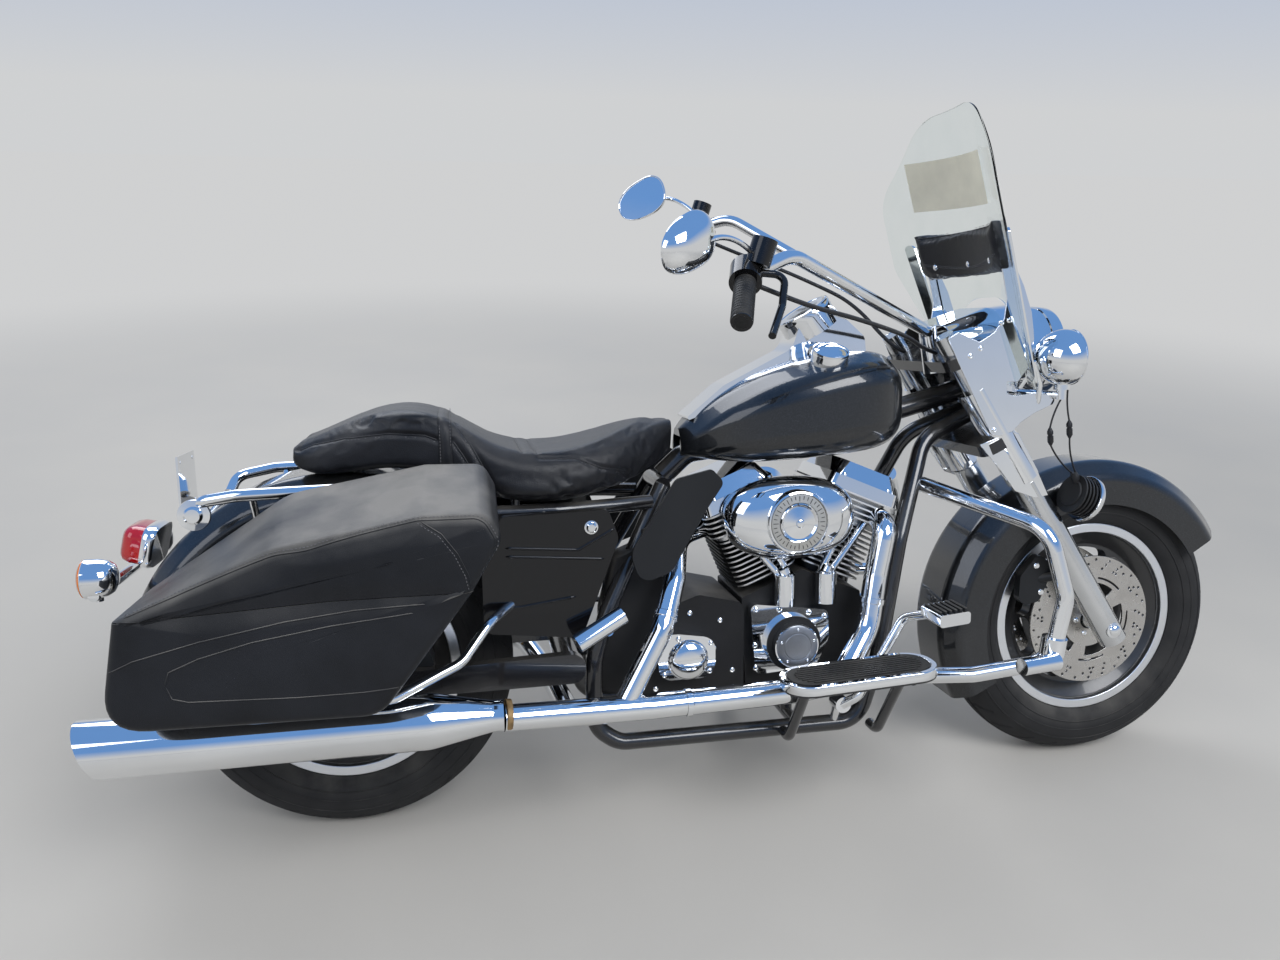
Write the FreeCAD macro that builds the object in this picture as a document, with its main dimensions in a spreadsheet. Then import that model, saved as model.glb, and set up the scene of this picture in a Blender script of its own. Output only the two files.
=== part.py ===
# Touring cruiser motorcycle with hard saddlebags and a clear windshield, in millimetres.
# It is drawn upright, with X forward from the rear axle, Y to the left and Z up from the floor,
# and every piece then gets one placement that leans the machine on its side stand.
import FreeCAD, Part
import math
import os
import re
from FreeCAD import Placement, Rotation, Vector

doc = FreeCAD.newDocument("TouringCruiser")
sheet = doc.addObject("Spreadsheet::Sheet", "Sizes")

# Columns: alias, value, what it is.
DRIVING_SIZES = [
    ("wheelbase", 1612, "rear axle to front axle"),
    ("rake", 26, "steering axis from the vertical, degrees"),
    ("trail", 157, "steering axis to the front contact, at the floor"),
    ("lean", 12, "lean on the side stand, degrees"),
    ("tyre_radius", 323, "outside of both tyres"),
    ("tyre_half_width", 65, "half the width of both tyres"),
    ("tyre_shoulder", 48, "axle plane to tread shoulder"),
    ("tyre_shoulder_drop", 23, "tread crown above the shoulder"),
    ("rim_radius", 205, "bead seat of both wheels"),
    ("rim_flange", 12, "rim lip above the bead seat"),
    ("rim_half_width", 46, "half the width of the rim"),
    ("rim_wall", 8, "thickness of the rim barrel"),
    ("web_half", 14, "half the thickness of the wheel's web"),
    ("wheel_slots", 9, "slots round each wheel"),
    ("slot_centre", 158, "wheel centre to the middle of a slot"),
    ("slot_half_width", 19, "half the slot across its length"),
    ("hub_radius", 45, "wheel hub"),
    ("hub_half", 52, "half the length of the wheel hub"),
    ("axle_radius", 12.5, "both axles"),
    ("running_gap", 0.05, "radial clearance of a shaft in its bore"),
    ("disc_radius", 146, "outside of a brake disc"),
    ("disc_inner", 100, "inside of the braking band"),
    ("disc_wall", 5, "thickness of a brake disc"),
    ("disc_offset", 60, "wheel centre to a brake disc"),
    ("pulley_radius", 118, "rear belt pulley"),
    ("belt_width", 28, "drive belt"),
    ("belt_centre", 86, "wheel centre to the belt"),
    ("fork_angle", 33, "fork tubes from the vertical, degrees"),
    ("fork_half", 118, "centre plane to a fork tube"),
    ("fork_tube_radius", 20.5, "fork tube"),
    ("slider_radius", 30, "lower fork leg"),
    ("slider_length", 400, "lower fork leg, from the axle"),
    ("fork_length", 760, "fork tube, from the axle"),
    ("cover_radius", 34, "upper fork cover"),
    ("axle_overhang", 28, "axle end beyond a fork leg"),
    ("stem_radius", 16, "steering stem"),
    ("neck_radius", 36, "steering head"),
    ("neck_low", 790, "foot of the steering head above the floor"),
    ("neck_high", 935, "top of the steering head above the floor"),
    ("yoke_wall", 24, "thickness of a fork yoke"),
    ("front_fender_radius", 362, "outside of the front fender"),
    ("front_fender_half", 88, "half the width of the front fender"),
    ("rear_fender_radius", 398, "outside of the rear fender"),
    ("rear_fender_half", 108, "half the width of the rear fender"),
    ("fender_wall", 3, "fender sheet"),
    ("frame_tube_radius", 17, "frame tube"),
    ("rail_half", 128, "centre plane to a lower frame rail"),
    ("rail_height", 163, "lower frame rail above the floor"),
    ("pivot_place", 425, "rear axle to the swingarm pivot"),
    ("crank_place", 915, "rear axle to the crankshaft"),
    ("crank_height", 325, "crankshaft above the floor"),
    ("vee_half", 22.5, "cylinder axis from the vertical, degrees"),
    ("deck", 150, "crankshaft to the cylinder base"),
    ("fin_pitch", 11, "one fin to the next"),
    ("fin_wall", 3.5, "thickness of a fin"),
    ("barrel_fins", 10, "fins on a barrel"),
    ("head_fins", 5, "fins on a cylinder head"),
    ("barrel_half", 77, "centre of a barrel to its fins, fore and aft"),
    ("barrel_half_width", 84, "centre of a barrel to its fins, across"),
    ("head_half", 88, "centre of a head to its fins, fore and aft"),
    ("head_half_width", 104, "centre of a head to its fins, across"),
    ("core_radius", 58, "barrel inside its fins"),
    ("rocker_height", 58, "rocker cover"),
    ("case_half_width", 92, "half the width of the crankcase"),
    ("cleaner_half_length", 136, "air cleaner, fore and aft"),
    ("cleaner_half_height", 84, "air cleaner, up and down"),
    ("cleaner_depth", 62, "air cleaner, across"),
    ("pipe_radius", 24, "exhaust pipe with its shield"),
    ("muffler_radius", 50, "muffler"),
    ("muffler_half", 262, "centre plane to a muffler"),
    ("muffler_height", 296, "muffler above the floor"),
    ("guard_tube_radius", 16, "engine guard tube"),
    ("bag_inner", 205, "centre plane to a saddlebag's inner wall"),
    ("bag_outer", 432, "centre plane to a saddlebag's outer wall"),
    ("bag_wall", 5, "saddlebag wall under its leather"),
    ("lid_gap", 1, "saddlebag body to its lid"),
    ("bar_radius", 12.7, "handlebar tube"),
    ("grip_radius", 18, "hand grip"),
    ("bar_cant", 12, "right end of the bar knocked down, degrees"),
    ("bar_twist", 6, "right end of the bar knocked back, degrees"),
    ("screen_wall", 4, "windshield sheet"),
    ("screen_half", 240, "half the width of the windshield"),
    ("lamp_radius", 98, "headlamp"),
    ("passing_radius", 57, "passing lamp"),
    ("wire_radius", 1.8, "lamp wire"),
    ("board_length", 300, "footboard"),
    ("board_width", 112, "footboard, across"),
    ("board_wall", 20, "footboard with its rubber"),
    ("plate_width", 112, "standing plate, across"),
    ("plate_height", 106, "standing plate, up and down"),
    ("plate_hole_radius", 3.5, "corner holes of the standing plate"),
    ("stand_radius", 13, "side stand leg"),
    ("stand_reach", 165, "side stand foot, outwards from its pivot"),
    ("stand_forward", 95, "side stand foot, forward of its pivot"),
    ("foot_radius", 26, "side stand foot"),
    ("foot_wall", 10, "thickness of the side stand foot"),
    ("clearance", 0.4, "still pieces that face each other"),
]
for row, (alias, value, meaning) in enumerate(DRIVING_SIZES, start=1):
    sheet.set(f"A{row}", alias)
    sheet.set(f"B{row}", str(value))
    sheet.setAlias(f"B{row}", alias)
    sheet.set(f"C{row}", meaning)
doc.recompute()


class SheetReader:
    """Gives a driving size by its alias."""

    def __getattr__(self, alias):
        return float(getattr(sheet, alias))


s = SheetReader()

# Main places, worked out from the sheet.
REAR_AXLE = Vector(0, 0, s.tyre_radius)
FRONT_AXLE = Vector(s.wheelbase, 0, s.tyre_radius)
STEER_UP = Vector(-math.sin(math.radians(s.rake)), 0, math.cos(math.radians(s.rake)))
FORK_UP = Vector(-math.sin(math.radians(s.fork_angle)), 0, math.cos(math.radians(s.fork_angle)))
CRANK = Vector(s.crank_place, 0, s.crank_height)
TREAD_ROUND = (s.tyre_shoulder ** 2 + s.tyre_shoulder_drop ** 2) / (2 * s.tyre_shoulder_drop)
LEAN_ANGLE = math.radians(s.lean)
LEAN = Placement(
    Vector(0, -TREAD_ROUND * math.sin(LEAN_ANGLE), TREAD_ROUND * (1 - math.cos(LEAN_ANGLE))),
    Rotation(Vector(1, 0, 0), -s.lean),
)
ACROSS = Vector(0, 1, 0)
UP = Vector(0, 0, 1)
RIGHT = -1
LEFT = 1
SIDES = (("Right", RIGHT), ("Left", LEFT))


def on_steering(height):
    """The point of the steering axis at a height above the floor."""
    foot = Vector(s.wheelbase + s.trail, 0, 0)
    return foot + STEER_UP * (height / STEER_UP.z)


def on_fork(distance, side=0):
    """The point of a fork tube's centre line at a distance from the axle."""
    return FRONT_AXLE + FORK_UP * distance + ACROSS * (side * s.fork_half)


nodes = []


def node(piece, label):
    """Names a finished sub-part and leans it with the machine."""
    piece.Label = label
    piece.Placement = LEAN.multiply(piece.Placement)
    nodes.append(piece)
    return piece


def bind(piece, **formulas):
    """Binds properties to formulas of the sheet's aliases."""
    for prop, formula in formulas.items():
        piece.setExpression(prop, re.sub(r"\b([a-z]\w*)\b", r"Sizes.\1", formula))


def rod(name, start, end, radius):
    """Round bar from one point to another; radius is a formula of the sheet."""
    bar = doc.addObject("Part::Cylinder", name)
    bind(bar, Radius=radius)
    bar.Height = (end - start).Length
    bar.Placement = Placement(start, Rotation(UP, end - start))
    return bar


def cone(name, start, end, first, last):
    """Tapered bar between two points."""
    taper = doc.addObject("Part::Cone", name)
    taper.Radius1 = first
    taper.Radius2 = last
    taper.Height = (end - start).Length
    taper.Placement = Placement(start, Rotation(UP, end - start))
    return taper


def block(name, low, high):
    """Box between two opposite corners."""
    box = doc.addObject("Part::Box", name)
    box.Length = high[0] - low[0]
    box.Width = high[1] - low[1]
    box.Height = high[2] - low[2]
    box.Placement = Placement(Vector(*low), Rotation())
    return box


def ball(name, centre, radius):
    """Sphere."""
    sphere = doc.addObject("Part::Sphere", name)
    bind(sphere, Radius=radius)
    sphere.Placement = Placement(centre, Rotation())
    return sphere


def fused(name, pieces):
    """One solid of several."""
    joined = doc.addObject("Part::MultiFuse", name)
    joined.Shapes = pieces
    joined.Refine = True
    return joined


def cut(name, base, tool):
    """One solid less another."""
    less = doc.addObject("Part::Cut", name)
    less.Base = base
    less.Tool = tool
    return less


def group(name, pieces):
    """Like pieces that stand apart."""
    together = doc.addObject("Part::Compound", name)
    together.Links = pieces
    return together


def rounded(corners):
    """Lines and corner arcs round a closed outline of (across, up, corner radius)."""
    count = len(corners)
    edges = []
    ends = []
    for i in range(count):
        before = Vector(*corners[i - 1][:2])
        here = Vector(*corners[i][:2])
        after = Vector(*corners[(i + 1) % count][:2])
        radius = corners[i][2]
        to_before = (before - here).normalize()
        to_after = (after - here).normalize()
        turn = to_before.getAngle(to_after)
        if radius <= 0 or abs(turn - math.pi) < 1e-3:
            ends.append((here, None, here))
            continue
        room = 0.48 * min((before - here).Length, (after - here).Length)
        back = min(radius / math.tan(turn / 2), room)
        radius = back * math.tan(turn / 2)
        middle = (to_before + to_after).normalize()
        centre = here + middle * (radius / math.sin(turn / 2))
        ends.append((here + to_before * back, centre - middle * radius, here + to_after * back))
    for i in range(count):
        start, mid, end = ends[i]
        if mid is not None:
            edges.append(Part.Arc(start, mid, end))
        following = ends[(i + 1) % count][0]
        if (following - end).Length > 1e-6:
            edges.append(Part.LineSegment(end, following))
    return edges


# Sketch planes: X and Y of the sketch in the machine's axes.
SIDE_VIEW = Rotation(Vector(1, 0, 0), Vector(0, 0, 1), Vector(0, -1, 0), "XYZ")
FRONT_VIEW = Rotation(Vector(0, 1, 0), Vector(0, 0, 1), Vector(1, 0, 0), "XYZ")


def section(name, corners, place, view):
    """Sketch of a closed outline on a plane of its own."""
    sketch = doc.addObject("Sketcher::SketchObject", name)
    sketch.addGeometry(rounded(corners), False)
    sketch.Placement = Placement(place, view)
    return sketch


def slab(name, corners, low, high):
    """Side-view outline given thickness from one side plane to another, low to high in Y."""
    outline = section(name + "Outline", corners, Vector(0, high, 0), SIDE_VIEW)
    plate = doc.addObject("Part::Extrusion", name)
    plate.Base = outline
    plate.DirMode = "Custom"
    plate.Dir = Vector(0, -1, 0)
    plate.LengthFwd = high - low
    plate.Solid = True
    return plate


def loft(name, sections, ruled=False):
    """Solid through a few sections."""
    skin = doc.addObject("Part::Loft", name)
    skin.Sections = sections
    skin.Solid = True
    skin.Ruled = ruled
    return skin


def bent_path(points, bend):
    """Straight runs joined by tangent arcs, as a bender leaves a tube."""
    edges = []
    last = points[0]
    for i in range(1, len(points) - 1):
        here = points[i]
        to_before = (points[i - 1] - here).normalize()
        to_after = (points[i + 1] - here).normalize()
        turn = to_before.getAngle(to_after)
        back = bend / math.tan(turn / 2)
        room = 0.48 * min((points[i - 1] - here).Length, (points[i + 1] - here).Length)
        back = min(back, room)
        radius = back * math.tan(turn / 2)
        middle = (to_before + to_after).normalize()
        crown = here + middle * (radius / math.sin(turn / 2) - radius)
        start = here + to_before * back
        end = here + to_after * back
        edges.append(Part.LineSegment(last, start).toShape())
        edges.append(Part.Arc(start, crown, end).toShape())
        last = end
    edges.append(Part.LineSegment(last, points[-1]).toShape())
    return Part.Wire(edges)


def tube(name, points, radius, bend):
    """Round tube swept along a bent path; radius is a formula of the sheet."""
    path = doc.addObject("Part::Feature", name + "Path")
    path.Shape = bent_path(points, bend)
    ring = doc.addObject("Part::Circle", name + "Ring")
    bind(ring, Radius=radius)
    ring.Placement = Placement(points[0], Rotation(UP, points[1] - points[0]))
    sweep = doc.addObject("Part::Sweep", name)
    sweep.Sections = [ring]
    sweep.Spine = (path, ["Edge%d" % (i + 1) for i in range(len(path.Shape.Edges))])
    sweep.Solid = True
    sweep.Frenet = False
    return sweep


def mirrored(point, side):
    """A point of the left half taken to either side."""
    return Vector(point[0], side * point[1], point[2])


def plane_of(body, role):
    """One of a body's own origin planes or axes."""
    return [feature for feature in body.Origin.OriginFeatures if feature.Role == role][0]


def body_sketch(body, name, role, edges, offset=0):
    """Sketch on one of the body's own planes, moved along its normal."""
    sketch = body.newObject("Sketcher::SketchObject", name)
    sketch.AttachmentSupport = (plane_of(body, role), [""])
    sketch.MapMode = "FlatFace"
    sketch.AttachmentOffset = Placement(Vector(0, 0, offset), Rotation())
    sketch.addGeometry(edges, False)
    return sketch


def turned_body(name, corners):
    """Body of revolution about its own Y axis, from a half section of (along, out, corner radius)."""
    body = doc.addObject("PartDesign::Body", name)
    profile = body_sketch(body, name + "Profile", "YZ_Plane", rounded(corners))
    turn = body.newObject("PartDesign::Revolution", name + "Turn")
    turn.Profile = profile
    turn.ReferenceAxis = (profile, ["H_Axis"])
    turn.Angle = 360
    body.Tip = turn
    return body


def kidney(radius, half_width, half_angle):
    """Curved slot about the origin, as four arcs."""
    angle = math.radians(half_angle)
    inner = radius - half_width
    outer = radius + half_width

    def at(distance, bearing):
        return Vector(distance * math.cos(bearing), distance * math.sin(bearing), 0)

    def cap(bearing, onward):
        tip = at(radius, bearing) + Vector(-math.sin(bearing), math.cos(bearing), 0) * (onward * half_width)
        return Part.Arc(at(outer, bearing), tip, at(inner, bearing))

    return [
        Part.Arc(at(outer, -angle), at(outer, 0), at(outer, angle)),
        cap(angle, 1),
        Part.Arc(at(inner, angle), at(inner, 0), at(inner, -angle)),
        cap(-angle, -1),
    ]


def round_pattern(body, name, feature, count):
    """Repeats a pocket round the body's Y axis; count is a formula of the sheet or a number."""
    pattern = body.newObject("PartDesign::PolarPattern", name)
    pattern.Originals = [feature]
    pattern.Axis = (plane_of(body, "Y_Axis"), [""])
    pattern.Angle = 360
    pattern.Occurrences = int(count)
    body.Tip = pattern
    return pattern


def through_pocket(body, name, edges, half_depth):
    """Pocket cut both ways from the body's XZ plane."""
    outline = body_sketch(body, name + "Outline", "XZ_Plane", edges)
    pocket = body.newObject("PartDesign::Pocket", name)
    pocket.Profile = outline
    pocket.Midplane = True
    pocket.Length = 2 * half_depth
    body.Tip = pocket
    return pocket


# Wheels
def cast_wheel(name, label, axle):
    """Cast wheel: hub, slotted web and a rim with a machined lip, bored for its axle."""
    bore = s.axle_radius + s.running_gap
    well = s.rim_radius - 22
    lip = s.rim_radius + s.rim_flange
    edge = s.rim_half_width
    inner = well - s.rim_wall
    body = turned_body(name, [
        (-s.hub_half, bore, 0),
        (s.hub_half, bore, 0),
        (s.hub_half, s.hub_radius, 3),
        (s.web_half, s.hub_radius + 12, 8),
        (s.web_half, inner - 10, 8),
        (edge - 12, s.rim_radius - s.rim_wall, 8),
        (edge, s.rim_radius - s.rim_wall, 2),
        (edge, lip, 2),
        (edge - 6, lip, 2),
        (edge - 8, s.rim_radius, 2),
        (edge - 22, well, 3),
        (-edge + 22, well, 3),
        (-edge + 8, s.rim_radius, 2),
        (-edge + 6, lip, 2),
        (-edge, lip, 2),
        (-edge, s.rim_radius - s.rim_wall, 2),
        (-edge + 12, s.rim_radius - s.rim_wall, 8),
        (-s.web_half, inner - 10, 8),
        (-s.web_half, s.hub_radius + 12, 8),
        (-s.hub_half, s.hub_radius, 3),
    ])
    slot_half_angle = 0.29 * 360 / s.wheel_slots
    slot = through_pocket(
        body, name + "Slot", kidney(s.slot_centre - 20, s.slot_half_width, slot_half_angle), s.web_half + 20
    )
    round_pattern(body, name + "Slots", slot, s.wheel_slots)
    body.Placement = Placement(axle, Rotation())
    return node(body, label)


def tyre(name, label, axle):
    """Tyre: one closed ring with a rounded tread and bulged side walls, hollow over the rim's well."""
    bead = s.rim_radius
    well_gap = s.rim_half_width - 8 - s.clearance
    crown = s.tyre_radius
    shoulder = crown - s.tyre_shoulder_drop
    body = doc.addObject("PartDesign::Body", name)
    waist = (shoulder + bead) / 2
    wall = 14

    def at(along, out):
        return Vector(along, out, 0)

    outer = [
        Part.Arc(at(-s.rim_half_width, bead + s.rim_flange + 1), at(-s.tyre_half_width, waist),
                 at(-s.tyre_shoulder, shoulder)),
        Part.Arc(at(-s.tyre_shoulder, shoulder), at(0, crown), at(s.tyre_shoulder, shoulder)),
        Part.Arc(at(s.tyre_shoulder, shoulder), at(s.tyre_half_width, waist),
                 at(s.rim_half_width, bead + s.rim_flange + 1)),
    ]
    foot = [
        Part.LineSegment(at(s.rim_half_width, bead + s.rim_flange + 1), at(well_gap, bead + s.rim_flange + 1)),
        Part.LineSegment(at(well_gap, bead + s.rim_flange + 1), at(well_gap, bead + s.clearance)),
        Part.LineSegment(at(well_gap, bead + s.clearance), at(well_gap - wall, bead + s.clearance)),
    ]
    throat = (well_gap - wall + 4, bead + s.rim_flange + 7)
    inside = [
        Part.LineSegment(at(well_gap - wall, bead + s.clearance), at(*throat)),
        Part.Arc(at(*throat), at(0, crown - 1.4 * wall), at(-throat[0], throat[1])),
        Part.LineSegment(at(-throat[0], throat[1]), at(-well_gap + wall, bead + s.clearance)),
    ]
    other_foot = [
        Part.LineSegment(at(-well_gap + wall, bead + s.clearance), at(-well_gap, bead + s.clearance)),
        Part.LineSegment(at(-well_gap, bead + s.clearance), at(-well_gap, bead + s.rim_flange + 1)),
        Part.LineSegment(at(-well_gap, bead + s.rim_flange + 1), at(-s.rim_half_width, bead + s.rim_flange + 1)),
    ]
    profile = body_sketch(body, name + "Profile", "YZ_Plane", outer + foot + inside + other_foot)
    turn = body.newObject("PartDesign::Revolution", name + "Turn")
    turn.Profile = profile
    turn.ReferenceAxis = (profile, ["H_Axis"])
    turn.Angle = 360
    body.Tip = turn
    body.Placement = Placement(axle, Rotation())
    return node(body, label)


def brake_disc(name, axle, offset):
    """Brake disc: a braking band on a carrier with five curved slots, on a boss that reaches the hub."""
    half = s.disc_wall / 2
    inward = -1 if offset > 0 else 1
    boss = inward * (abs(offset) - s.hub_half)
    low, high = sorted((inward * half, boss))
    bore = s.axle_radius + 9
    corners = [
        (-half, bore, 0),
        (half, bore, 0),
        (half, s.disc_radius, 0),
        (-half, s.disc_radius, 0),
    ]
    body = turned_body(name, corners)
    slot = through_pocket(body, name + "Slot", kidney((s.disc_inner + s.hub_radius) / 2, 11, 22), s.disc_wall)
    round_pattern(body, name + "Slots", slot, 5)
    body.Placement = Placement(axle + ACROSS * offset, Rotation())
    spacer = rod(name + "Boss", axle + ACROSS * (offset + low), axle + ACROSS * (offset + high), "hub_radius - 4")
    hole = rod(name + "Bore", axle + ACROSS * (offset + low), axle + ACROSS * (offset + high), "axle_radius + 9")
    return fused(name + "WithBoss", [body, cut(name + "Ring", spacer, hole)])


tyre("FrontTyre", "front_tyre", FRONT_AXLE)
cast_wheel("FrontWheel", "front_wheel", FRONT_AXLE)
node(group("FrontDiscs", [
    brake_disc("FrontDisc" + side_name, FRONT_AXLE, side * s.disc_offset) for side_name, side in SIDES
]), "front_discs")
tyre("RearTyre", "rear_tyre", REAR_AXLE)
cast_wheel("RearWheel", "rear_wheel", REAR_AXLE)
node(brake_disc("RearDisc", REAR_AXLE, -s.disc_offset), "rear_disc")


def belt_pulley(name, radius, bore):
    """Toothless pulley with two flanges, carried against the hub."""
    half = s.belt_width / 2 + 3
    return turned_body(name, [
        (-half, bore, 0),
        (half, bore, 0),
        (half, radius + 4, 0),
        (half - 2.6, radius + 4, 0),
        (half - 2.6, radius, 0),
        (-half + 2.6, radius, 0),
        (-half + 2.6, radius + 4, 0),
        (-half, radius + 4, 0),
    ])


pulley = belt_pulley("RearPulley", s.pulley_radius, s.axle_radius + 9)
pulley.Placement = Placement(REAR_AXLE + ACROSS * s.belt_centre, Rotation())
pulley_boss_outer = rod("PulleyBoss", REAR_AXLE + ACROSS * s.hub_half,
                        REAR_AXLE + ACROSS * (s.belt_centre - s.belt_width / 2), "hub_radius - 4")
pulley_boss_bore = rod("PulleyBore", REAR_AXLE + ACROSS * s.hub_half,
                       REAR_AXLE + ACROSS * (s.belt_centre - s.belt_width / 2), "axle_radius + 9")
node(fused("RearPulleyWithBoss", [pulley, cut("PulleyRing", pulley_boss_outer, pulley_boss_bore)]), "rear_pulley")

# Frame
neck_low = on_steering(s.neck_low)
neck_high = on_steering(s.neck_high)
neck = cut(
    "Neck",
    rod("NeckTube", neck_low, neck_high, "neck_radius"),
    rod("NeckBore", neck_low - STEER_UP * 5, neck_high + STEER_UP * 5, "stem_radius + running_gap"),
)
neck_back = on_steering(s.neck_low + 60) - Vector(s.neck_radius - 6, 0, 0)
BACKBONE_REAR = Vector(640, 0, 680)
PIVOT = Vector(s.pivot_place, 0, s.tyre_radius + 8)
seat_cross = rod("SeatCross", Vector(628, -60, 668), Vector(628, 60, 668), "frame_tube_radius")
backbone = cut("Backbone", tube("BackboneTube", [
    neck_back, Vector(1150, 0, 802), Vector(690, 0, 726), BACKBONE_REAR,
], "frame_tube_radius + 6", 60), seat_cross)
TUNNEL_HALF = s.frame_tube_radius + 14
tank_mounts = [
    rod("TankMount%d" % i, place - ACROSS * TUNNEL_HALF, place + ACROSS * TUNNEL_HALF, "axle_radius - 4")
    for i, place in enumerate((Vector(1090, 0, 792), Vector(724, 0, 732)))
]
node(fused("NeckAndBackbone", [neck, backbone] + tank_mounts), "frame_backbone")

# Columns: forward, out, up. Each row is a point of the left tube, from the neck to the seat's nose.
CRADLE = [
    (1330, 26, 800),
    (1200, 44, 745),
    (1118, 112, 540),
    (1072, 128, 300),
    (1030, 128, 163),
    (520, 128, 163),
    (474, 122, 196),
    (474, 122, 250),
]
cradle_points = {
    side: [mirrored(point, side) for point in CRADLE] for _, side in SIDES
}
CRADLE_JOINT = (Vector(*CRADLE[4]) - Vector(*CRADLE[3])) * 0.35
downtubes = {
    side: tube("Downtube" + side_name, cradle_points[side][:4] + [cradle_points[side][3] + CRADLE_JOINT],
               "frame_tube_radius", 90)
    for side_name, side in SIDES
}
node(group("Downtubes", list(downtubes.values())), "frame_downtubes")
lower_rails = [
    tube("LowerRail" + side_name,
         [cradle_points[side][3] + CRADLE_JOINT] + cradle_points[side][4:],
         "frame_tube_radius", 60)
    for side_name, side in SIDES
]
rear_frame = []
struts = {}
seat_tubes = {}
for side_name, side in SIDES:
    seat_tubes[side] = tube("SeatTube" + side_name, [
        mirrored(CRADLE[7], side),
        mirrored((474, 122, 284), side),
        mirrored((474, 130, 340), side),
        mirrored((500, 126, 430), side),
        mirrored((628, 58, 668), side),
    ], "frame_tube_radius", 120)
    struts[side] = tube("RearStrut" + side_name, [
        mirrored((600, 78, 640), side),
        mirrored((420, 124, 640), side),
        mirrored((0, 124, 640), side),
        mirrored((-150, 124, 610), side),
    ], "frame_tube_radius - 3", 120)
    rear_frame += [seat_tubes[side], struts[side]]
    rear_frame += [
        tube("BagMount%s%d" % (side_name, i), [
            mirrored((x, 124, height), side),
            mirrored((x, 138, 574), side),
            mirrored((x, 168, 540), side),
            mirrored((x, s.bag_inner, 540), side),
        ], "axle_radius - 5", 24)
        for i, (x, height) in enumerate(((60, 640), (-100, 620)))
    ]
    rear_frame.append(rod("FenderBolt" + side_name, mirrored((-40, 124, 632), side),
                          mirrored((-40, s.rear_fender_half, 632), side), "axle_radius - 6"))

# Swingarm and shocks
arm_half = 138
arm_pieces = [rod("PivotTube", PIVOT - ACROSS * 110, PIVOT + ACROSS * 110, "frame_tube_radius + 8")]
for side_name, side in SIDES:
    arm_pieces.append(slab("Arm" + side_name, [
        (-45, s.tyre_radius - 26, 20),
        (-45, s.tyre_radius + 26, 20),
        (120, s.tyre_radius + 26, 30),
        (PIVOT.x + 30, PIVOT.z + 30, 28),
        (PIVOT.x + 30, PIVOT.z - 30, 28),
        (120, s.tyre_radius - 24, 30),
    ], side * arm_half - 12, side * arm_half + 12))
    inner_end = PIVOT + ACROSS * (side * 100)
    outer_end = PIVOT + ACROSS * (side * (arm_half + 2))
    arm_pieces.append(rod("ArmBoss" + side_name, inner_end, outer_end, "frame_tube_radius + 8"))
arm_pieces.append(rod("RearAxle", REAR_AXLE - ACROSS * (arm_half + 22), REAR_AXLE + ACROSS * (arm_half + 22),
                      "axle_radius"))
for side_name, side in SIDES:
    arm_pieces.append(rod("RearAxleNut" + side_name, REAR_AXLE + ACROSS * (side * (arm_half + 11)),
                          REAR_AXLE + ACROSS * (side * (arm_half + 20)), "axle_radius + 7"))
swingarm = fused("Swingarm", arm_pieces)

shock_pieces = []
for side_name, side in SIDES:
    low = mirrored((70, arm_half + 30, s.tyre_radius + 20), side)
    high = mirrored((235, arm_half + 30, s.tyre_radius + 300), side)
    along = (high - low).normalize()
    shock_pieces.append(fused("Shock" + side_name, [
        rod("ShockBody" + side_name, low + along * 20, high - along * 110, "frame_tube_radius + 9"),
        rod("ShockRod" + side_name, low, high, "axle_radius"),
        rod("ShockLowEye" + side_name, low - ACROSS * (side * 17.8), low + ACROSS * (side * 8), "frame_tube_radius"),
        rod("ShockHighEye" + side_name, high - ACROSS * (side * 30), high + ACROSS * (side * 8), "frame_tube_radius"),
    ]))
node(group("RearSuspension", [swingarm] + shock_pieces), "rear_suspension")

# Drive belt, as its two straight runs
BELT_FRONT = Vector(622, 0, s.tyre_radius + 24)
FRONT_SPROCKET = 42
BELT_WALL = 4
BELT_END = 585


def belt_tangent(upward):
    """Ends of the belt's straight run above or below both pulleys, cut short at the gearbox."""
    across = BELT_FRONT - REAR_AXLE
    onward = Vector(across).normalize()
    square = Vector(-onward.z, 0, onward.x) * upward
    rear_reach = s.pulley_radius + s.clearance + BELT_WALL / 2
    lean = (rear_reach - FRONT_SPROCKET) / across.Length
    normal = onward * lean + square * math.sqrt(1 - lean ** 2)
    rear_end = REAR_AXLE + normal * rear_reach
    front_end = BELT_FRONT + normal * FRONT_SPROCKET
    kept = (BELT_END - rear_end.x) / (front_end.x - rear_end.x)
    return rear_end, rear_end + (front_end - rear_end) * kept, normal * (BELT_WALL / 2)


belt_runs = []
for run_name, upward in (("Upper", 1), ("Lower", -1)):
    rear_end, front_end, half_wall = belt_tangent(upward)
    belt_runs.append(slab("Belt" + run_name, [
        ((rear_end - half_wall).x, (rear_end - half_wall).z, 0),
        ((front_end - half_wall).x, (front_end - half_wall).z, 0),
        ((front_end + half_wall).x, (front_end + half_wall).z, 0),
        ((rear_end + half_wall).x, (rear_end + half_wall).z, 0),
    ], s.belt_centre - s.belt_width / 2, s.belt_centre + s.belt_width / 2))
node(group("BeltRuns", belt_runs), "drive_belt")


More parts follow.
